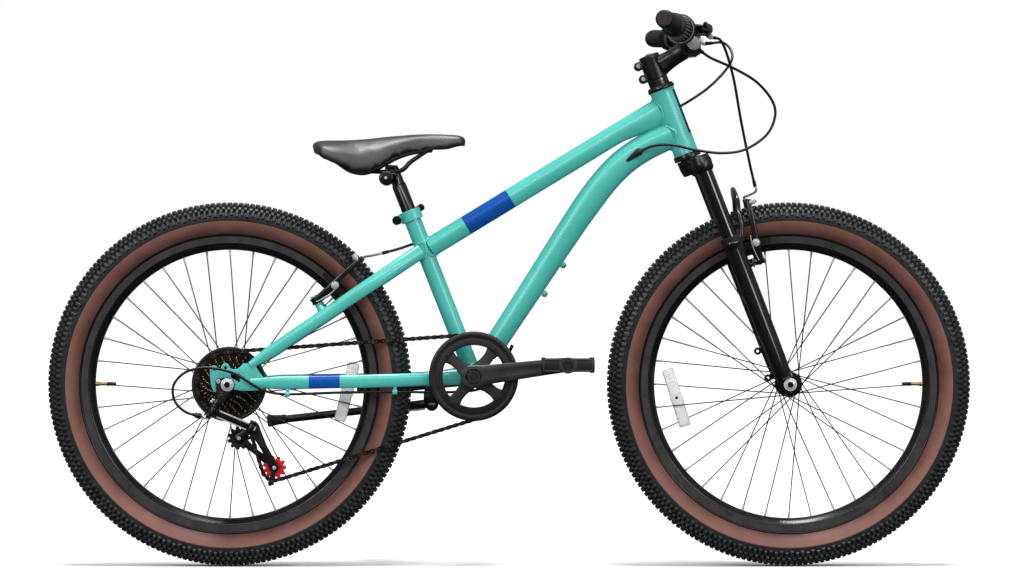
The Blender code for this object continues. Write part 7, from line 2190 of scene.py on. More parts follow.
def dress_brake(name, body, node_name, pivot, centre, out, sign):
    """A linear-pull brake arm: forged arm, sprung foot with its bolt, pad, post, nuts and cable end."""
    start, end, up, height = brake_frame(pivot, centre, out, sign)
    parts = [tinted(forged_arm(start, end, sign), 0)]
    foot = [(0.0, 0.0012), (0.0080, 0.0012), (0.0086, 0.0020), (0.0086, 0.0052),
            (0.0078, 0.0060), (0.0078, 0.0098), (0.0086, 0.0106), (0.0086, 0.0126), (0.0, 0.0130)]
    parts.append(tinted(turned(foot, pivot, out, 40, closed=False), 0))
    parts.append(tinted(socket_bolt(pivot + out * 0.0126, out, 0.0050, 0.0036), 1))
    spring = [pivot + out * 0.004 + ACROSS * (sign * 0.0080),
              pivot + out * 0.0025 + ACROSS * (sign * 0.0105) + up * 0.010,
              pivot + out * 0.0020 + ACROSS * (sign * 0.0125) + up * 0.030,
              pivot + out * 0.0050 + ACROSS * (sign * 0.0130) + up * 0.046]
    parts.append(tinted(tube(smooth_route(spring, 16), 0.0009, 8), 1))
    reach = start + up * height + out * 0.0035
    inner_y = sign * (RIM_WIDTH / 2 + PAD_GAP)
    parts += brake_shoe(reach, inner_y, sign, centre)
    post_in = Vector((reach.x, inner_y + sign * 0.0085, reach.z))
    post_out = reach + ACROSS * (sign * 0.0200)
    parts.append(tinted(rod(post_in, post_out, 0.0030, 20, None, 0.0004), 1))
    arm_y = abs((reach + ACROSS * (sign * 0.007)).y)
    for offset, radius, wide in ((-0.0082, 0.0062, 0.0024), (0.0078, 0.0066, 0.0022)):
        spot = Vector((reach.x, sign * (arm_y + offset), reach.z))
        washer = [(0.0031, -wide / 2), (radius, -wide / 2), (radius + 0.0004, 0.0),
                  (radius, wide / 2), (0.0031, wide / 2)]
        parts.append(tinted(turned(washer, spot, ACROSS, 32), 1))
    nut_spot = Vector((reach.x, sign * (arm_y + 0.0112), reach.z))
    parts.append(tinted(hex_nut(nut_spot, ACROSS, 0.0098, 0.0046, 0.0006), 1))
    if sign < 0:
        anchor = end - up * 0.006 + out * 0.0040
        parts.append(tinted(rod(anchor - out * 0.004, anchor + out * 0.0050, 0.0052, 28, None,
                                0.0008), 1))
        parts.append(tinted(hex_nut(anchor + out * 0.0065, out, 0.0086, 0.0040, 0.0005), 1))
    else:
        cradle = block(end - up * 0.0045, (0.0100, 0.0085, 0.0150), up, out, 0.0020)
        parts.append(tinted(cradle, 0))
    piece(name, body, merged(*parts), [BLACK_COAT, SILVER, RUBBER], node_name)


def brake_link(name, body, sheath_end, sheath_way, left_end, right_end, up):
    """The bent guide pipe from the sheath to the left arm, and the wire in its boot to the right."""
    corner = left_end + ACROSS * 0.006 + up * 0.010
    pipe = smooth_route([
        sheath_end - sheath_way * 0.004, sheath_end + sheath_way * 0.008,
        (sheath_end + sheath_way * 0.010).lerp(corner, 0.55), corner,
        left_end + ACROSS * 0.002 + up * 0.0005, left_end - ACROSS * 0.012], 40)
    parts = [tinted(tube(pipe, 0.0021, 16), 1)]
    a = left_end - ACROSS * 0.010
    b = right_end + ACROSS * 0.002
    parts.append(tinted(rod(a, b + (b - a).normalized() * 0.010, 0.0008, 10), 1))
    folds = []
    count = 33
    for k in range(count):
        share = k / (count - 1)
        folds.append(0.0022 + 0.0012 * (0.5 + 0.5 * math.cos(2 * math.pi * share * 8)) * (1 - share * 0.4))
    boot = [a.lerp(b, 0.10 + 0.52 * k / (count - 1)) for k in range(count)]
    parts.append(tinted(tube(boot, folds, 20), 0))
    piece(name, body, merged(*parts), [RUBBER, SILVER])


def dress_brakes():
    """All four brake arms and the two links between them."""
    rear_out = seatstay_axes()[2]
    ends = {}
    for side, sign in (("right", -1), ("left", 1)):
        pivot = front_brake_pivot(sign)
        dress_brake("front_v_arm_" + side, "front_brake_" + side, "front_brake_arm_" + side, pivot,
                    FRONT_AXLE, STEER_FORWARD, sign)
        ends["front", sign] = brake_frame(pivot, FRONT_AXLE, STEER_FORWARD, sign)
        pivot = rear_brake_pivot(sign)
        dress_brake("rear_v_arm_" + side, "rear_brake_" + side, "rear_brake_arm_" + side, pivot,
                    REAR_AXLE, rear_out, sign)
        ends["rear", sign] = brake_frame(pivot, REAR_AXLE, rear_out, sign)
    front = front_brake_route()
    left, right = ends["front", 1], ends["front", -1]
    brake_link("front_brake_guide_pipe", "fork_lowers", front[-1], (front[-1] - front[-2]).normalized(),
               left[1] - left[2] * 0.004, right[1] - right[2] * 0.006, left[2])
    rear = rear_brake_route()
    left, right = ends["rear", 1], ends["rear", -1]
    brake_link("rear_brake_guide_pipe", "frame", rear[-1], (rear[-1] - rear[-2]).normalized(),
               left[1] - left[2] * 0.004, right[1] - right[2] * 0.006, left[2])


dress_brakes()


# Cranks and pedals

CRANK_LENGTH = 0.165
CRANK_ANGLE = math.radians(7.3)
CRANK_THICKNESS = 0.013
CRANK_BOSS_Y = 0.068
CRANK_PEDAL_Y = 0.083
RING_BORE = 0.0545
SPIDER_ANGLE = math.radians(-38)
PEDAL_LENGTH = 0.092
PEDAL_WIDTH = 0.088
PEDAL_THICKNESS = 0.027
RING_LEVEL = -CHAINLINE


def pedal_axle(sign):
    """The point where a pedal's axle leaves its crank."""
    angle = CRANK_ANGLE if sign < 0 else CRANK_ANGLE + math.pi
    return around(BOTTOM_BRACKET, CRANK_LENGTH, angle, sign * (CRANK_PEDAL_Y + CRANK_THICKNESS / 2))


def crank_arm(sign):
    """A forged crank arm: rounded edges, a long shallow groove, bosses at both ends."""
    angle = CRANK_ANGLE if sign < 0 else CRANK_ANGLE + math.pi
    heading = Vector((math.cos(angle), 0, math.sin(angle)))
    width = heading.cross(ACROSS)
    stations = [(-0.0200, CRANK_BOSS_Y, 0.0120), (-0.0190, CRANK_BOSS_Y, 0.0138),
                (-0.0100, CRANK_BOSS_Y, 0.0196), (-0.0060, CRANK_BOSS_Y, 0.0202),
                (0.0080, CRANK_BOSS_Y, 0.0192), (0.0160, CRANK_BOSS_Y, 0.0174),
                (0.0450, CRANK_BOSS_Y, 0.0164),
                (0.080, CRANK_BOSS_Y + 0.006, 0.0152), (0.110, CRANK_PEDAL_Y - 0.003, 0.0142),
                (0.140, CRANK_PEDAL_Y, 0.0134), (CRANK_LENGTH - 0.008, CRANK_PEDAL_Y, 0.0130),
                (CRANK_LENGTH, CRANK_PEDAL_Y, 0.0122), (CRANK_LENGTH + 0.005, CRANK_PEDAL_Y, 0.0104),
                (CRANK_LENGTH + 0.0088, CRANK_PEDAL_Y, 0.0062)]
    shape = bmesh.new()
    rings = []
    for reach, middle, half in stations:
        centre = BOTTOM_BRACKET + heading * reach + ACROSS * (sign * middle)
        thick = CRANK_THICKNESS / 2
        groove = 0.0003 if 0.035 < reach < 0.145 else 0.0
        ring = []
        for a, b in ((-1, 0), (-1, -0.55), (-0.90, -0.85), (-0.66, -1), (-0.40, -1), (-0.30, -1.0),
                     (0.30, -1.0), (0.40, -1), (0.66, -1), (0.90, -0.85), (1, -0.55), (1, 0),
                     (1, 0.55), (0.90, 0.85), (0.66, 1), (0.40, 1), (0.30, 1), (-0.30, 1),
                     (-0.40, 1), (-0.66, 1), (-0.90, 0.85), (-1, 0.55)):
            depth = thick * b
            if abs(a) < 0.35 and b > 0:
                depth -= groove
            ring.append(centre + width * (half * a) + ACROSS * (sign * depth))
        rings.append(ring_of(shape, ring))
    return skinned(shape, rings)


def spider_arm(turn, level):
    """One arm of the chainring's cross: tapered, with an end that takes a chainring bolt."""
    out = Vector((math.cos(turn), 0, math.sin(turn)))
    side = out.cross(ACROSS)
    shape = bmesh.new()
    rings = []
    for reach, half, thick, lift in ((0.008, 0.0165, 0.0042, -0.0030), (0.020, 0.0128, 0.0038, -0.0020),
                                     (0.032, 0.0098, 0.0032, -0.0010), (0.044, 0.0094, 0.0028, -0.0004),
                                     (0.052, 0.0116, 0.0026, 0.0), (0.0575, 0.0160, 0.0024, 0.0),
                                     (0.0620, 0.0200, 0.0022, 0.0)):
        centre = BOTTOM_BRACKET + out * reach + ACROSS * (level + lift)
        rings.append(ring_of(shape, rounded_ring(centre, side, ACROSS, half, thick, 4, 16)))
    return skinned(shape, rings)


def dress_cranks():
    """The spindle, toothed chainring, guard, both arms with their bolts, and the pedals."""
    spindle_half = CRANK_BOSS_Y + CRANK_THICKNESS / 2 - 0.004
    spindle = rod(BOTTOM_BRACKET - ACROSS * spindle_half, BOTTOM_BRACKET + ACROSS * spindle_half,
                  0.0084, 40, None, 0.0008)
    piece("crank_spindle", "crank", spindle, SILVER, "bottom_bracket_spindle")
    ring = toothed(BOTTOM_BRACKET, RING_TEETH, RING_BORE, RING_LEVEL - 0.0010, RING_LEVEL + 0.0010,
                   CRANK_ANGLE)
    piece("toothed_chainring", "crank", ring, CHAIN_STEEL, "chainring")

    guard_high = RING_LEVEL - 0.006
    section = [(RING_BORE, guard_high - 0.0022), (RING_BORE + 0.0010, guard_high - 0.0030),
               (0.0640, guard_high - 0.0030), (0.0660, guard_high - 0.0024),
               (0.0690, guard_high - 0.0024), (0.0712, guard_high - 0.0033),
               (0.0765, guard_high - 0.0030), (0.0785, guard_high - 0.0016),
               (0.0785, guard_high + 0.0012), (0.0775, guard_high + 0.0012),
               (0.0755, guard_high), (RING_BORE, guard_high)]
    guard = turned(section, BOTTOM_BRACKET, ACROSS, 128)
    piece("round_chainguard", "crank", guard, BLACK_PLASTIC, "chainguard")

    for side, sign in (("right", -1), ("left", 1)):
        parts = [tinted(crank_arm(sign), 0)]
        outer = CRANK_BOSS_Y + CRANK_THICKNESS / 2
        foot = SHELL_WIDTH / 2 + 0.016
        boss = [(0.0088, 0.0), (0.0150, 0.0), (0.0168, 0.0014), (0.0172, outer - foot - 0.0030),
                (0.0160, outer - foot - 0.0008), (0.0140, outer - foot),
                (0.0108, outer - foot), (0.0104, outer - foot - 0.0010), (0.0088, outer - foot - 0.0012)]
        parts.append(tinted(turned(boss, BOTTOM_BRACKET + ACROSS * (sign * foot), ACROSS * sign, 56), 0))
        cap = [(0.0, 0.0), (0.0102, 0.0), (0.0102, 0.0010), (0.0090, 0.0020), (0.0, 0.0023)]
        parts.append(tinted(turned(cap, BOTTOM_BRACKET + ACROSS * (sign * (outer - 0.0020)),
                                   ACROSS * sign, 40, closed=False), 2))
        stub = pedal_axle(sign)
        parts.append(tinted(rod(stub - ACROSS * (sign * 0.004), stub + ACROSS * (sign * 0.072),
                                0.0044, 28, None, 0.0006), 1))
        parts.append(tinted(ring_solid(0.0044, 0.0070, 0.0, 0.0024, stub, ACROSS * sign, 6, 0.0004), 1))
        if sign < 0:
            level = RING_LEVEL - 0.0035
            for quarter in range(4):
                turn = SPIDER_ANGLE + quarter * math.pi / 2
                parts.append(tinted(spider_arm(turn, level), 0))
                out = Vector((math.cos(turn), 0, math.sin(turn)))
                spot = BOTTOM_BRACKET + out * 0.0590 + ACROSS * (guard_high - 0.0028)
                parts.append(tinted(socket_bolt(spot, -ACROSS, 0.0042, 0.0014), 2))
        piece("forged_crank_" + side, "crank", merged(*parts), [MATT_BLACK, SILVER, BLACK_PLASTIC],
              "crank_" + side)
        dress_pedal(side, sign, stub)


def dress_pedal(side, sign, stub):
    """A moulded platform pedal: barrel, toothed cage bars, ribs, end cap and smoked lenses."""
    start = stub + ACROSS * (sign * 0.004)
    end = start + ACROSS * (sign * PEDAL_WIDTH)
    middle = (start + end) / 2
    parts = []
    barrel = [(0.0048, 0.0), (0.0080, 0.0), (0.0096, 0.0020), (0.0104, 0.0060), (0.0100, 0.0300),
              (0.0098, 0.0600), (0.0106, 0.0800), (0.0102, 0.0862), (0.0080, 0.0880), (0.0, 0.0880),
              (0.0, 0.0720), (0.0048, 0.0720)]
    parts.append(tinted(turned(barrel, start, ACROSS * sign, 40), 0))
    for edge in (-1, 1):
        bar = middle + Vector((edge * (PEDAL_LENGTH / 2 - 0.0040), 0, 0))
        parts.append(tinted(block(bar, (0.0078, PEDAL_WIDTH * 0.96, PEDAL_THICKNESS * 0.80), UPRIGHT,
                                  (1, 0, 0), 0.0018), 0))
        lens = bar + Vector((edge * 0.0034, 0, 0))
        parts.append(tinted(block(lens, (0.0022, PEDAL_WIDTH * 0.58, PEDAL_THICKNESS * 0.55), UPRIGHT,
                                  (1, 0, 0), 0.0007), 1))
        for lift in (-1, 1):
            for n in range(9):
                spot = bar + ACROSS * ((n - 4) * 0.0094) + UPRIGHT * (lift * PEDAL_THICKNESS * 0.435)
                parts.append(tinted(block(spot, (0.0074, 0.0052, 0.0026), UPRIGHT, (1, 0, 0),
                                          0.0007), 0))
    for place in (0.055, 0.30, 0.62, 0.945):
        bar = start.lerp(end, place)
        thick = 0.0075 if place in (0.055, 0.945) else 0.0040
        tall = PEDAL_THICKNESS * (0.84 if place in (0.055, 0.945) else 0.62)
        parts.append(tinted(block(bar, (PEDAL_LENGTH - 0.004, thick, tall), UPRIGHT, (1, 0, 0),
                                  0.0016), 0))
    face = end - ACROSS * (sign * 0.0016)
    tall = PEDAL_THICKNESS * 0.84
    for edge in (-1, 1):
        centre = face + Vector((edge * 0.0278, 0, 0))
        for lift in (-1, 1):
            parts.append(tinted(block(centre + UPRIGHT * (lift * (tall / 2 - 0.0018)),
                                      (0.0300, 0.0036, 0.0030), UPRIGHT, (1, 0, 0), 0.0008), 2))
            parts.append(tinted(block(centre + Vector((lift * 0.0140, 0, 0)),
                                      (0.0030, 0.0036, tall - 0.001), UPRIGHT, (1, 0, 0), 0.0008), 2))
        parts.append(tinted(block(centre - ACROSS * (sign * 0.0012), (0.0250, 0.0020, tall - 0.006),
                                  UPRIGHT, (1, 0, 0), 0.0004), 1))
    rings = [(0.0, -0.0040), (0.0130, -0.0040), (0.0142, -0.0026), (0.0142, 0.0006), (0.0132, 0.0016),
             (0.0092, 0.0016), (0.0086, 0.0004), (0.0070, 0.0004), (0.0064, 0.0014), (0.0, 0.0016)]
    parts.append(tinted(turned(rings, face, ACROSS * sign, 44, closed=False), 2))
    piece("platform_pedal_" + side, "pedal_" + side, merged(*parts), [BLACK_PLASTIC, SMOKY, MATT_BLACK],
          "pedal_" + side)


dress_cranks()


# Derailleur

LINK_RUN = (LINK_END - LINK_START).normalized()
LINK_AXIS = Vector((-LINK_RUN.z, 0, LINK_RUN.x)).normalized()
LINK_BACK = LINK_AXIS.cross(LINK_RUN)
LINK_HALF = 0.0075


def oval_bar(start, end, side, wide, deep, swell=0.0, power=3.0):
    """A rounded bar between two points, flatter or wider along a direction, fuller in the middle."""
    shape = bmesh.new()
    along = (end - start).normalized()
    side = (side - along * along.dot(side)).normalized()
    front = along.cross(side)
    rings = []
    steps = 14
    for k in range(steps):
        share = k / (steps - 1)
        cap = min(share, 1 - share) * (steps - 1)
        close = 0.72 if cap < 0.5 else 0.94 if cap < 1.5 else 1.0
        grow_mid = 1.0 + swell * math.sin(math.pi * share)
        point = start.lerp(end, share)
        rings.append(ring_of(shape, rounded_ring(point, side, front, wide * close * grow_mid,
                                                 deep * close, power)))
    return skinned(shape, rings)


def dress_derailleur_body():
    """The hanger knuckle on its bolt, the arm to the link with its limit screws and cable adjuster."""
    outer = REAR_HUB_WIDTH / 2 + DROPOUT_THICKNESS
    hanger = Vector((HANGER_BOLT.x, -(outer + 0.0003), HANGER_BOLT.z))
    away = Vector((HANGER_BOLT.x, LINK_START.y - 0.006, HANGER_BOLT.z))
    run = (away - hanger)
    knuckle = [(0.0, 0.0), (0.0086, 0.0), (0.0094, 0.0010), (0.0094, 0.0075), (0.0088, 0.0090),
               (0.0088, run.length - 0.0065), (0.0095, run.length - 0.0050),
               (0.0095, run.length - 0.0010), (0.0088, run.length), (0.0, run.length)]
    parts = [tinted(turned(knuckle, hanger, run, 48, closed=False), 0)]
    parts.append(tinted(socket_bolt(away - run.normalized() * 0.0008, run, 0.0062, 0.0030), 2))
    lobe_start = Vector((hanger.x - 0.002, away.y + 0.0075, hanger.z - 0.004))
    lobe_end = LINK_START + LINK_AXIS * 0.0108 + LINK_BACK * 0.001
    parts.append(tinted(oval_bar(lobe_start, lobe_end, ACROSS, 0.0076, 0.0070, 0.06), 0))
    cap = rod(LINK_START + LINK_AXIS * (LINK_HALF + 0.0004), LINK_START + LINK_AXIS * 0.0135, 0.0070,
              32, 0.0062, 0.0010)
    parts.append(tinted(cap, 0))
    parts.append(tinted(socket_bolt(LINK_START + LINK_AXIS * 0.0134, LINK_AXIS, 0.0036, 0.0012), 1))
    for k in range(2):
        spot = lobe_start.lerp(lobe_end, 0.25 + 0.30 * k) + Vector((-0.0062, -0.0004, 0.0012))
        way = Vector((-0.9, -0.1, 0.3)).normalized()
        parts.append(tinted(rod(spot, spot + way * 0.0062, 0.0019, 16, None, 0.0003), 1))
    cable_end = shift_rear_route()[-1]
    near = shift_rear_route()[-2]
    way = (cable_end - near).normalized()
    adjuster = [(0.0027, -0.0125), (0.0036, -0.0125), (0.0050, -0.0100), (0.0054, -0.0060),
                (0.0050, -0.0015), (0.0036, 0.0005), (0.0027, 0.0005)]
    parts.append(tinted(turned(adjuster, cable_end + way * 0.004, way, 28), 2))
    parts.append(tinted(rod(cable_end + way * 0.0070, cable_end + way * 0.0155, 0.0030, 20, None,
                            0.0004), 1))
    parts.append(tinted(oval_bar(cable_end + way * 0.0140, lobe_end, ACROSS, 0.0052, 0.0042), 0))
    piece("derailleur_hanger_knuckle", "frame", merged(*parts), [BLACK_COAT, SILVER, BLACK_PLASTIC],
          "derailleur_body")


def dress_derailleur_link():
    """The link's outer and inner plates with bright edges, on two pins, and its return spring."""
    parts = []
    for lift in (-1, 1):
        a = LINK_START + LINK_AXIS * (lift * 0.0052)
        b = LINK_END + LINK_AXIS * (lift * 0.0052)
        parts.append(tinted(oval_bar(a, b, LINK_BACK, 0.0052, 0.0016, 0.0, 4.0), 0))
        for back in (-1, 1):
            edge_a, edge_b = (LINK_START.lerp(LINK_END, share) + LINK_AXIS * (lift * 0.0058)
                              + LINK_BACK * (back * 0.0050) for share in (0.12, 0.88))
            parts.append(tinted(oval_bar(edge_a, edge_b, LINK_BACK, 0.0006, 0.0012, 0.0, 4.0), 1))
    web = oval_bar(LINK_START.lerp(LINK_END, 0.08), LINK_START.lerp(LINK_END, 0.92), LINK_AXIS, 0.0048,
                   0.0026, -0.10)
    parts.append(tinted(web, 0))
    for spot in (LINK_START, LINK_END):
        parts.append(tinted(rod(spot - LINK_AXIS * LINK_HALF, spot + LINK_AXIS * LINK_HALF, 0.0068, 36,
                                None, 0.0010), 0))
        parts.append(tinted(rod(spot - LINK_AXIS * (LINK_HALF - 0.0002),
                                spot + LINK_AXIS * (LINK_HALF - 0.0002), 0.0030, 24, None), 1))
    coil = []
    for k in range(121):
        turn = 2 * math.pi * 9 * k / 120
        along = LINK_START.lerp(LINK_END, 0.20 + 0.55 * k / 120) - LINK_BACK * 0.0060
        coil.append(along + LINK_AXIS * (0.0021 * math.cos(turn)) + LINK_BACK * (0.0021 * math.sin(turn)))
    parts.append(tinted(tube(coil, 0.00055, 6), 0))
    piece("derailleur_parallel_link", "derailleur_link", merged(*parts), [BLACK_COAT, CHROME],
          "derailleur_link")


def dress_derailleur_knuckle():
    """The outer knuckle that carries the cage, with its pinch bolt."""
    hub_high = CAGE_PIVOT.y - 0.0012
    top = Vector((CAGE_PIVOT.x, hub_high, CAGE_PIVOT.z))
    low = Vector((CAGE_PIVOT.x, hub_high - 0.0130, CAGE_PIVOT.z))
    section = [(0.0, 0.0), (0.0090, 0.0), (0.0095, 0.0008), (0.0095, 0.0060), (0.0089, 0.0070),
               (0.0089, 0.0110), (0.0080, 0.0128), (0.0, 0.0130)]
    parts = [tinted(turned(section, top, low - top, 44, closed=False), 0)]
    parts.append(tinted(socket_bolt(low - (low - top).normalized() * 0.0006, low - top, 0.0050,
                                    0.0020), 1))
    fork = rod(LINK_END + LINK_AXIS * (LINK_HALF + 0.0004), LINK_END + LINK_AXIS * 0.0135, 0.0064, 32,
               0.0058, 0.0009)
    parts.append(tinted(fork, 0))
    bridge = oval_bar(LINK_END + LINK_AXIS * 0.0112, Vector((CAGE_PIVOT.x, hub_high - 0.0065,
                                                            CAGE_PIVOT.z + 0.002)), ACROSS, 0.0058,
                      0.0052)
    parts.append(tinted(bridge, 0))
    piece("derailleur_outer_knuckle", "derailleur_knuckle", merged(*parts), [BLACK_COAT, SILVER],
          "derailleur_knuckle")


def cage_plate(centres, level, thickness, radii):
    """A long cage plate that rounds each of its ends and narrows between them."""
    shape = bmesh.new()
    edge = []
    for sign in (1, -1):
        chain = centres if sign > 0 else centres[::-1]
        sizes = radii if sign > 0 else radii[::-1]
        for k in range(len(chain) - 1):
            run = chain[k + 1] - chain[k]
            run.y = 0
            along = run.normalized()
            side = Vector((-along.z, 0, along.x))
            for share, pinch in ((0.0, 1.0), (0.18, 0.86), (0.5, 0.66), (0.82, 0.86), (1.0, 1.0)):
                size = (sizes[k] * (1 - share) + sizes[k + 1] * share) * pinch
                edge.append(chain[k] + run * share + side * size)
        run = chain[-1] - chain[-2]
        run.y = 0
        along = run.normalized()
        side = Vector((-along.z, 0, along.x))
        for angle in (60, 30, 0, -30, -60):
            turn = math.radians(angle)
            edge.append(chain[-1] + along * (sizes[-1] * math.cos(turn))
                        + side * (sizes[-1] * math.sin(turn)))
    outline = [(p.x, p.z) for p in edge]
    cleaned = [p for n, p in enumerate(outline) if math.dist(p, outline[n - 1]) > 0.0004]
    shape = plate(cleaned, level - thickness / 2, level + thickness / 2, 0.0003)
    return shape


def dress_cage():
    """The cage's two plates with pins and guard tab, and its toothed pulleys with their bolts."""
    outer_y = -LOW_COG_Y - 0.004 - 0.0025
    inner_y = -LOW_COG_Y + 0.004 + 0.0025
    parts = []
    flat = [Vector((p.x, 0, p.z)) for p in (UPPER_JOCKEY, CAGE_PIVOT, LOWER_JOCKEY)]
    parts.append(tinted(cage_plate([flat[0], flat[1]], outer_y, 0.0020, [0.0078, 0.0105]), 0))
    parts.append(tinted(cage_plate([flat[1], flat[2]], outer_y, 0.0020, [0.0105, 0.0080]), 0))
    parts.append(tinted(cage_plate([flat[0], flat[2]], inner_y, 0.0020, [0.0078, 0.0078]), 0))
    for centre in (UPPER_JOCKEY, LOWER_JOCKEY):
        a = Vector((centre.x, inner_y + 0.0009, centre.z))
        b = Vector((centre.x, outer_y - 0.0009, centre.z))
        parts.append(tinted(rod(a, b, 0.0029, 24), 1))
        parts.append(tinted(hex_nut(b - ACROSS * 0.0011, ACROSS, 0.0064, 0.0022, 0.0003), 1))
    hub = Vector((CAGE_PIVOT.x, outer_y - 0.0008, CAGE_PIVOT.z))
    parts.append(tinted(rod(hub, hub - ACROSS * 0.0014, 0.0104, 40, None, 0.0005), 0))
    spot = LOWER_JOCKEY + (LOWER_JOCKEY - UPPER_JOCKEY).normalized() * 0.0205
    spot.y = -LOW_COG_Y
    down = Vector((0.35, 0, -1)).normalized()
    spot = Vector((LOWER_JOCKEY.x - 0.0060, outer_y, LOWER_JOCKEY.z - 0.0270))
    tab = block(spot + Vector((0.0, 0.0062, 0.0)), (0.0016, 0.0142, 0.0080), down, (1, 0, 0), 0.0005)
    lip = block(spot, (0.0105, 0.0018, 0.0085), down, (1, 0, 0.2), 0.0006)
    neck = oval_bar(Vector((LOWER_JOCKEY.x, outer_y, LOWER_JOCKEY.z)), spot, Vector((1, 0, 0)), 0.0040,
                    0.0009, 0.0, 4.0)
    parts.append(tinted(lip, 0))
    parts += [tinted(tab, 0), tinted(neck, 0)]
    piece("derailleur_cage_plates", "derailleur_cage", merged(*parts), [BLACK_COAT, SILVER],
          "derailleur_cage")
    for name, centre, finish, slot in (("jockey_upper", UPPER_JOCKEY, BLACK_PLASTIC, "black_plastic"),
                                       ("jockey_lower", LOWER_JOCKEY, RED_PLASTIC, "red_plastic")):
        low, high = -LOW_COG_Y - 0.0011, -LOW_COG_Y + 0.0011
        wheel = toothed(centre, JOCKEY_TEETH, 0.0105, low, high, 0.3, 0.20, 0.0026)
        rim = turned([(0.0060, -0.0008), (0.0100, -0.0008), (0.0106, -0.0022), (0.0152, -0.0022),
                      (0.0160, -0.0014), (0.0160, 0.0014), (0.0152, 0.0022), (0.0106, 0.0022),
                      (0.0100, 0.0008), (0.0060, 0.0008)],
                     Vector((centre.x, -LOW_COG_Y, centre.z)), ACROSS, 48)
        hub = ring_solid(0.0034, 0.0062, -0.0036, 0.0036,
                         Vector((centre.x, -LOW_COG_Y, centre.z)), ACROSS, 36, 0.0005)
        spokes = []
        for k in range(6):
            turn = 2 * math.pi * k / 6
            a = around(centre, 0.0055, turn)
            b = around(centre, 0.0108, turn)
            spokes.append(block((a + b) / 2, (0.0056, 0.0024, 0.0024), ACROSS, b - a))
        parts = [tinted(part, 0) for part in (wheel, rim, hub, *spokes)]
        piece(name + "_pulley", name, merged(*parts), finish, name)


# Kickstand

STAND_PIVOT = BOTTOM_BRACKET + Vector((-0.0748, 0.050, -0.0495))
STAND_LENGTH = 0.294
STAND_SPLAY = math.radians(6.5)


def dress_kickstand():
    """The bracket on the chainstay with its bolt, the folded leg, its spring and rubber foot."""
    axis = Vector((0, math.cos(STAND_SPLAY), math.sin(STAND_SPLAY)))
    middle = Vector((STAND_PIVOT.x, 0.031, STAND_PIVOT.z + 0.017))
    parts = [tinted(block(middle - UPRIGHT * 0.0060, (0.0290, 0.0190, 0.0210), UPRIGHT, (1, 0, 0),
                          0.0032), 0)]
    parts.append(tinted(block(middle + UPRIGHT * 0.0085, (0.0260, 0.0185, 0.0160), UPRIGHT, (1, 0, 0),
                              0.0024), 0))
    parts.append(tinted(rod(STAND_PIVOT - axis * 0.020, STAND_PIVOT + axis * 0.0074, 0.0044, 28, None,
                            0.0006), 1))
    parts.append(tinted(rod(STAND_PIVOT - axis * 0.0200, STAND_PIVOT - axis * 0.0085, 0.0118, 36,
                            0.0112, 0.0014), 0))
    bolt = middle - UPRIGHT * 0.0162
    parts.append(tinted(hex_nut(bolt, UPRIGHT, 0.0120, 0.0060, 0.0007), 1))
    piece("stand_bracket", "frame", merged(*parts), [BLACK_COAT, SILVER],
          "kickstand_bracket")

    swing = Vector((-1, 0, -0.110)).normalized()
    foot = STAND_PIVOT + swing * STAND_LENGTH + ACROSS * 0.010
    eye = [(0.0047, -0.0069), (0.0106, -0.0069), (0.0115, -0.0060), (0.0115, 0.0060),
           (0.0106, 0.0069), (0.0047, 0.0069)]
    parts = [tinted(turned(eye, STAND_PIVOT, axis, 40), 0)]
    route = smooth_route([STAND_PIVOT + swing * 0.010, STAND_PIVOT.lerp(foot, 0.30),
                          STAND_PIVOT.lerp(foot, 0.62), STAND_PIVOT.lerp(foot, 0.92)], 30)
    parts.append(tinted(tube(route, [0.0080 - 0.0012 * min(1.0, k / 6) for k in range(30)], 28), 0))
    toe = smooth_route([STAND_PIVOT.lerp(foot, 0.885), STAND_PIVOT.lerp(foot, 0.94), foot], 18)
    sizes = [0.0082 + 0.0026 * smooth_step((k / 17 - 0.25) / 0.7) for k in range(17)] + [0.0094]
    parts.append(tinted(tube(toe, sizes, 28), 1))
    for k in range(4):
        spot = STAND_PIVOT.lerp(foot, 0.900 + 0.012 * k)
        way = (foot - STAND_PIVOT).normalized()
        parts.append(tinted(ring_solid(0.0074, 0.0090, -0.0006, 0.0006, spot, way, 28, 0.0003), 1))
    coil = []
    begin = STAND_PIVOT + swing * 0.012 + Vector((0, -0.001, -0.0085))
    for k in range(181):
        turn = 2 * math.pi * 15 * k / 180
        along = begin + swing * (0.030 * k / 180)
        coil.append(along + ACROSS * (0.0026 * math.cos(turn)) + UPRIGHT * (0.0026 * math.sin(turn)))
    parts.append(tinted(tube(coil, 0.0006, 6), 2))
    piece("stand_leg", "kickstand", merged(*parts), [BLACK_COAT, RUBBER, SILVER],
          "kickstand_leg")


dress_derailleur_body()
dress_derailleur_link()
dress_derailleur_knuckle()
dress_cage()
dress_kickstand()


# Floor, light and camera

def lay_floor():
    """A wide white floor."""
    shape = bmesh.new()
    bmesh.ops.create_grid(shape, x_segments=1, y_segments=1, size=30.0)
    mesh = bpy.data.meshes.new("floor")
    shape.to_mesh(mesh)
    shape.free()
    made, tree, shader, place = new_finish("white_floor", {"Roughness": 0.75})
    tone = blend_colours(tree, drift(tree, place, 2.0), linear(250, 250, 250), linear(253, 253, 253))
    tree.links.new(tone, shader.inputs["Base Color"])
    mesh.materials.append(made)
    floor = bpy.data.objects.new("floor", mesh)
    floor.visible_diffuse = False
    floor.visible_glossy = False
    bpy.context.scene.collection.objects.link(floor)


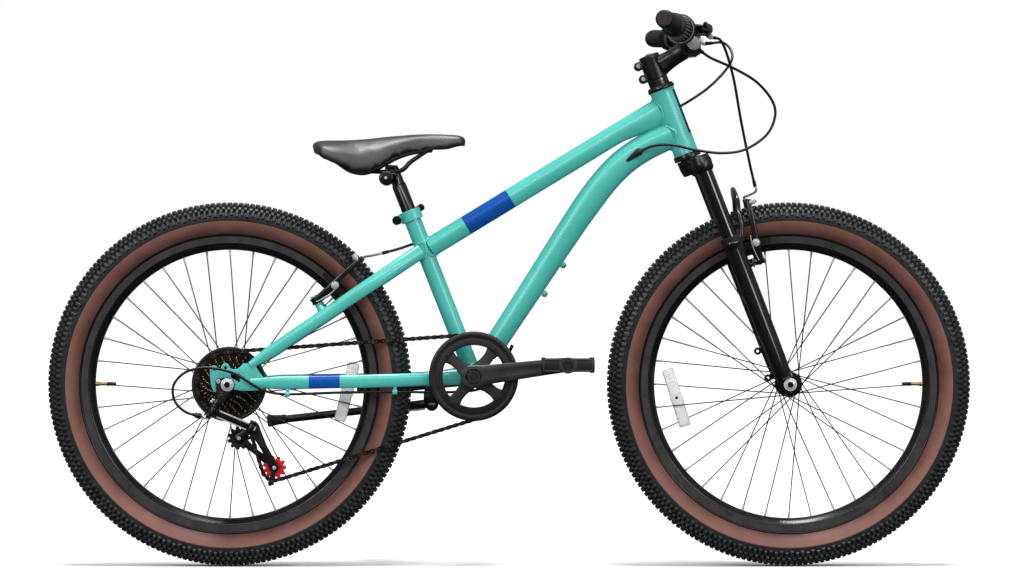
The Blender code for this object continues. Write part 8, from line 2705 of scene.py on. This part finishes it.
def hang_lamp(name, place, target, width, height, power):
    """A soft square lamp that looks at a point."""
    lamp = bpy.data.lights.new(name, "AREA")
    lamp.shape = "RECTANGLE"
    lamp.size = width
    lamp.size_y = height
    lamp.energy = power
    item = bpy.data.objects.new(name, lamp)
    item.matrix_world = facing(Vector(place), Vector(place) - Vector(target))
    bpy.context.scene.collection.objects.link(item)


def light_world():
    """White walls for the eye, with dimmer, softly graded light from them on the bicycle."""
    world = bpy.data.worlds.new("white_room")
    world.use_nodes = True
    tree = world.node_tree
    sky = tree.nodes["Background"]
    way = add(tree, "TexCoord").outputs["Generated"]
    height = add(tree, "SeparateXYZ", {0: way}).outputs["Z"]
    rays = add(tree, "LightPath").outputs
    soft = sum_of(tree, "MULTIPLY", rays["Is Diffuse Ray"], remap(tree, height, -1, 1, 0.46, 0.56))
    shine = sum_of(tree, "MULTIPLY", rays["Is Glossy Ray"], remap(tree, height, -0.4, 0.9, 0.03, 0.36))
    strength = sum_of(tree, "MAXIMUM", rays["Is Camera Ray"], sum_of(tree, "MAXIMUM", soft, shine))
    tree.links.new(strength, sky.inputs["Strength"])
    sky.inputs["Color"].default_value = (1, 1, 1, 1)
    bpy.context.scene.world = world


def hang_sun(name, direction, spread, power):
    """An even, soft light from one side, the same everywhere on the floor."""
    lamp = bpy.data.lights.new(name, "SUN")
    lamp.energy = power
    lamp.angle = math.radians(spread)
    item = bpy.data.objects.new(name, lamp)
    item.matrix_world = facing(Vector((0, 0, 3)), Vector(direction))
    bpy.context.scene.collection.objects.link(item)


def set_stage():
    """White surroundings, soft lamps and the camera square to the chain side."""
    lay_floor()
    light_world()
    middle = (0, 0, 0.45)
    hang_sun("over_light", (0.0, -0.10, 1.0), 16, 2.9)
    hang_lamp("left_lamp", (-2.6, -3.4, 2.2), middle, 0.85, 3.2, 42)
    hang_lamp("right_lamp", (2.9, -3.2, 2.0), middle, 0.80, 3.2, 42)
    hang_lamp("front_lamp", (0.2, -4.6, 3.4), middle, 4.5, 0.7, 66)
    lens = bpy.data.cameras.new("view_camera")
    lens.lens = 160
    lens.sensor_width = 36
    camera = bpy.data.objects.new("view_camera", lens)
    camera.location = (0.0051, -8.02, 0.489)
    camera.rotation_euler = (math.radians(90), 0, 0)
    bpy.context.scene.collection.objects.link(camera)
    bpy.context.scene.camera = camera
    bpy.context.scene.view_settings.view_transform = "Standard"


set_stage()
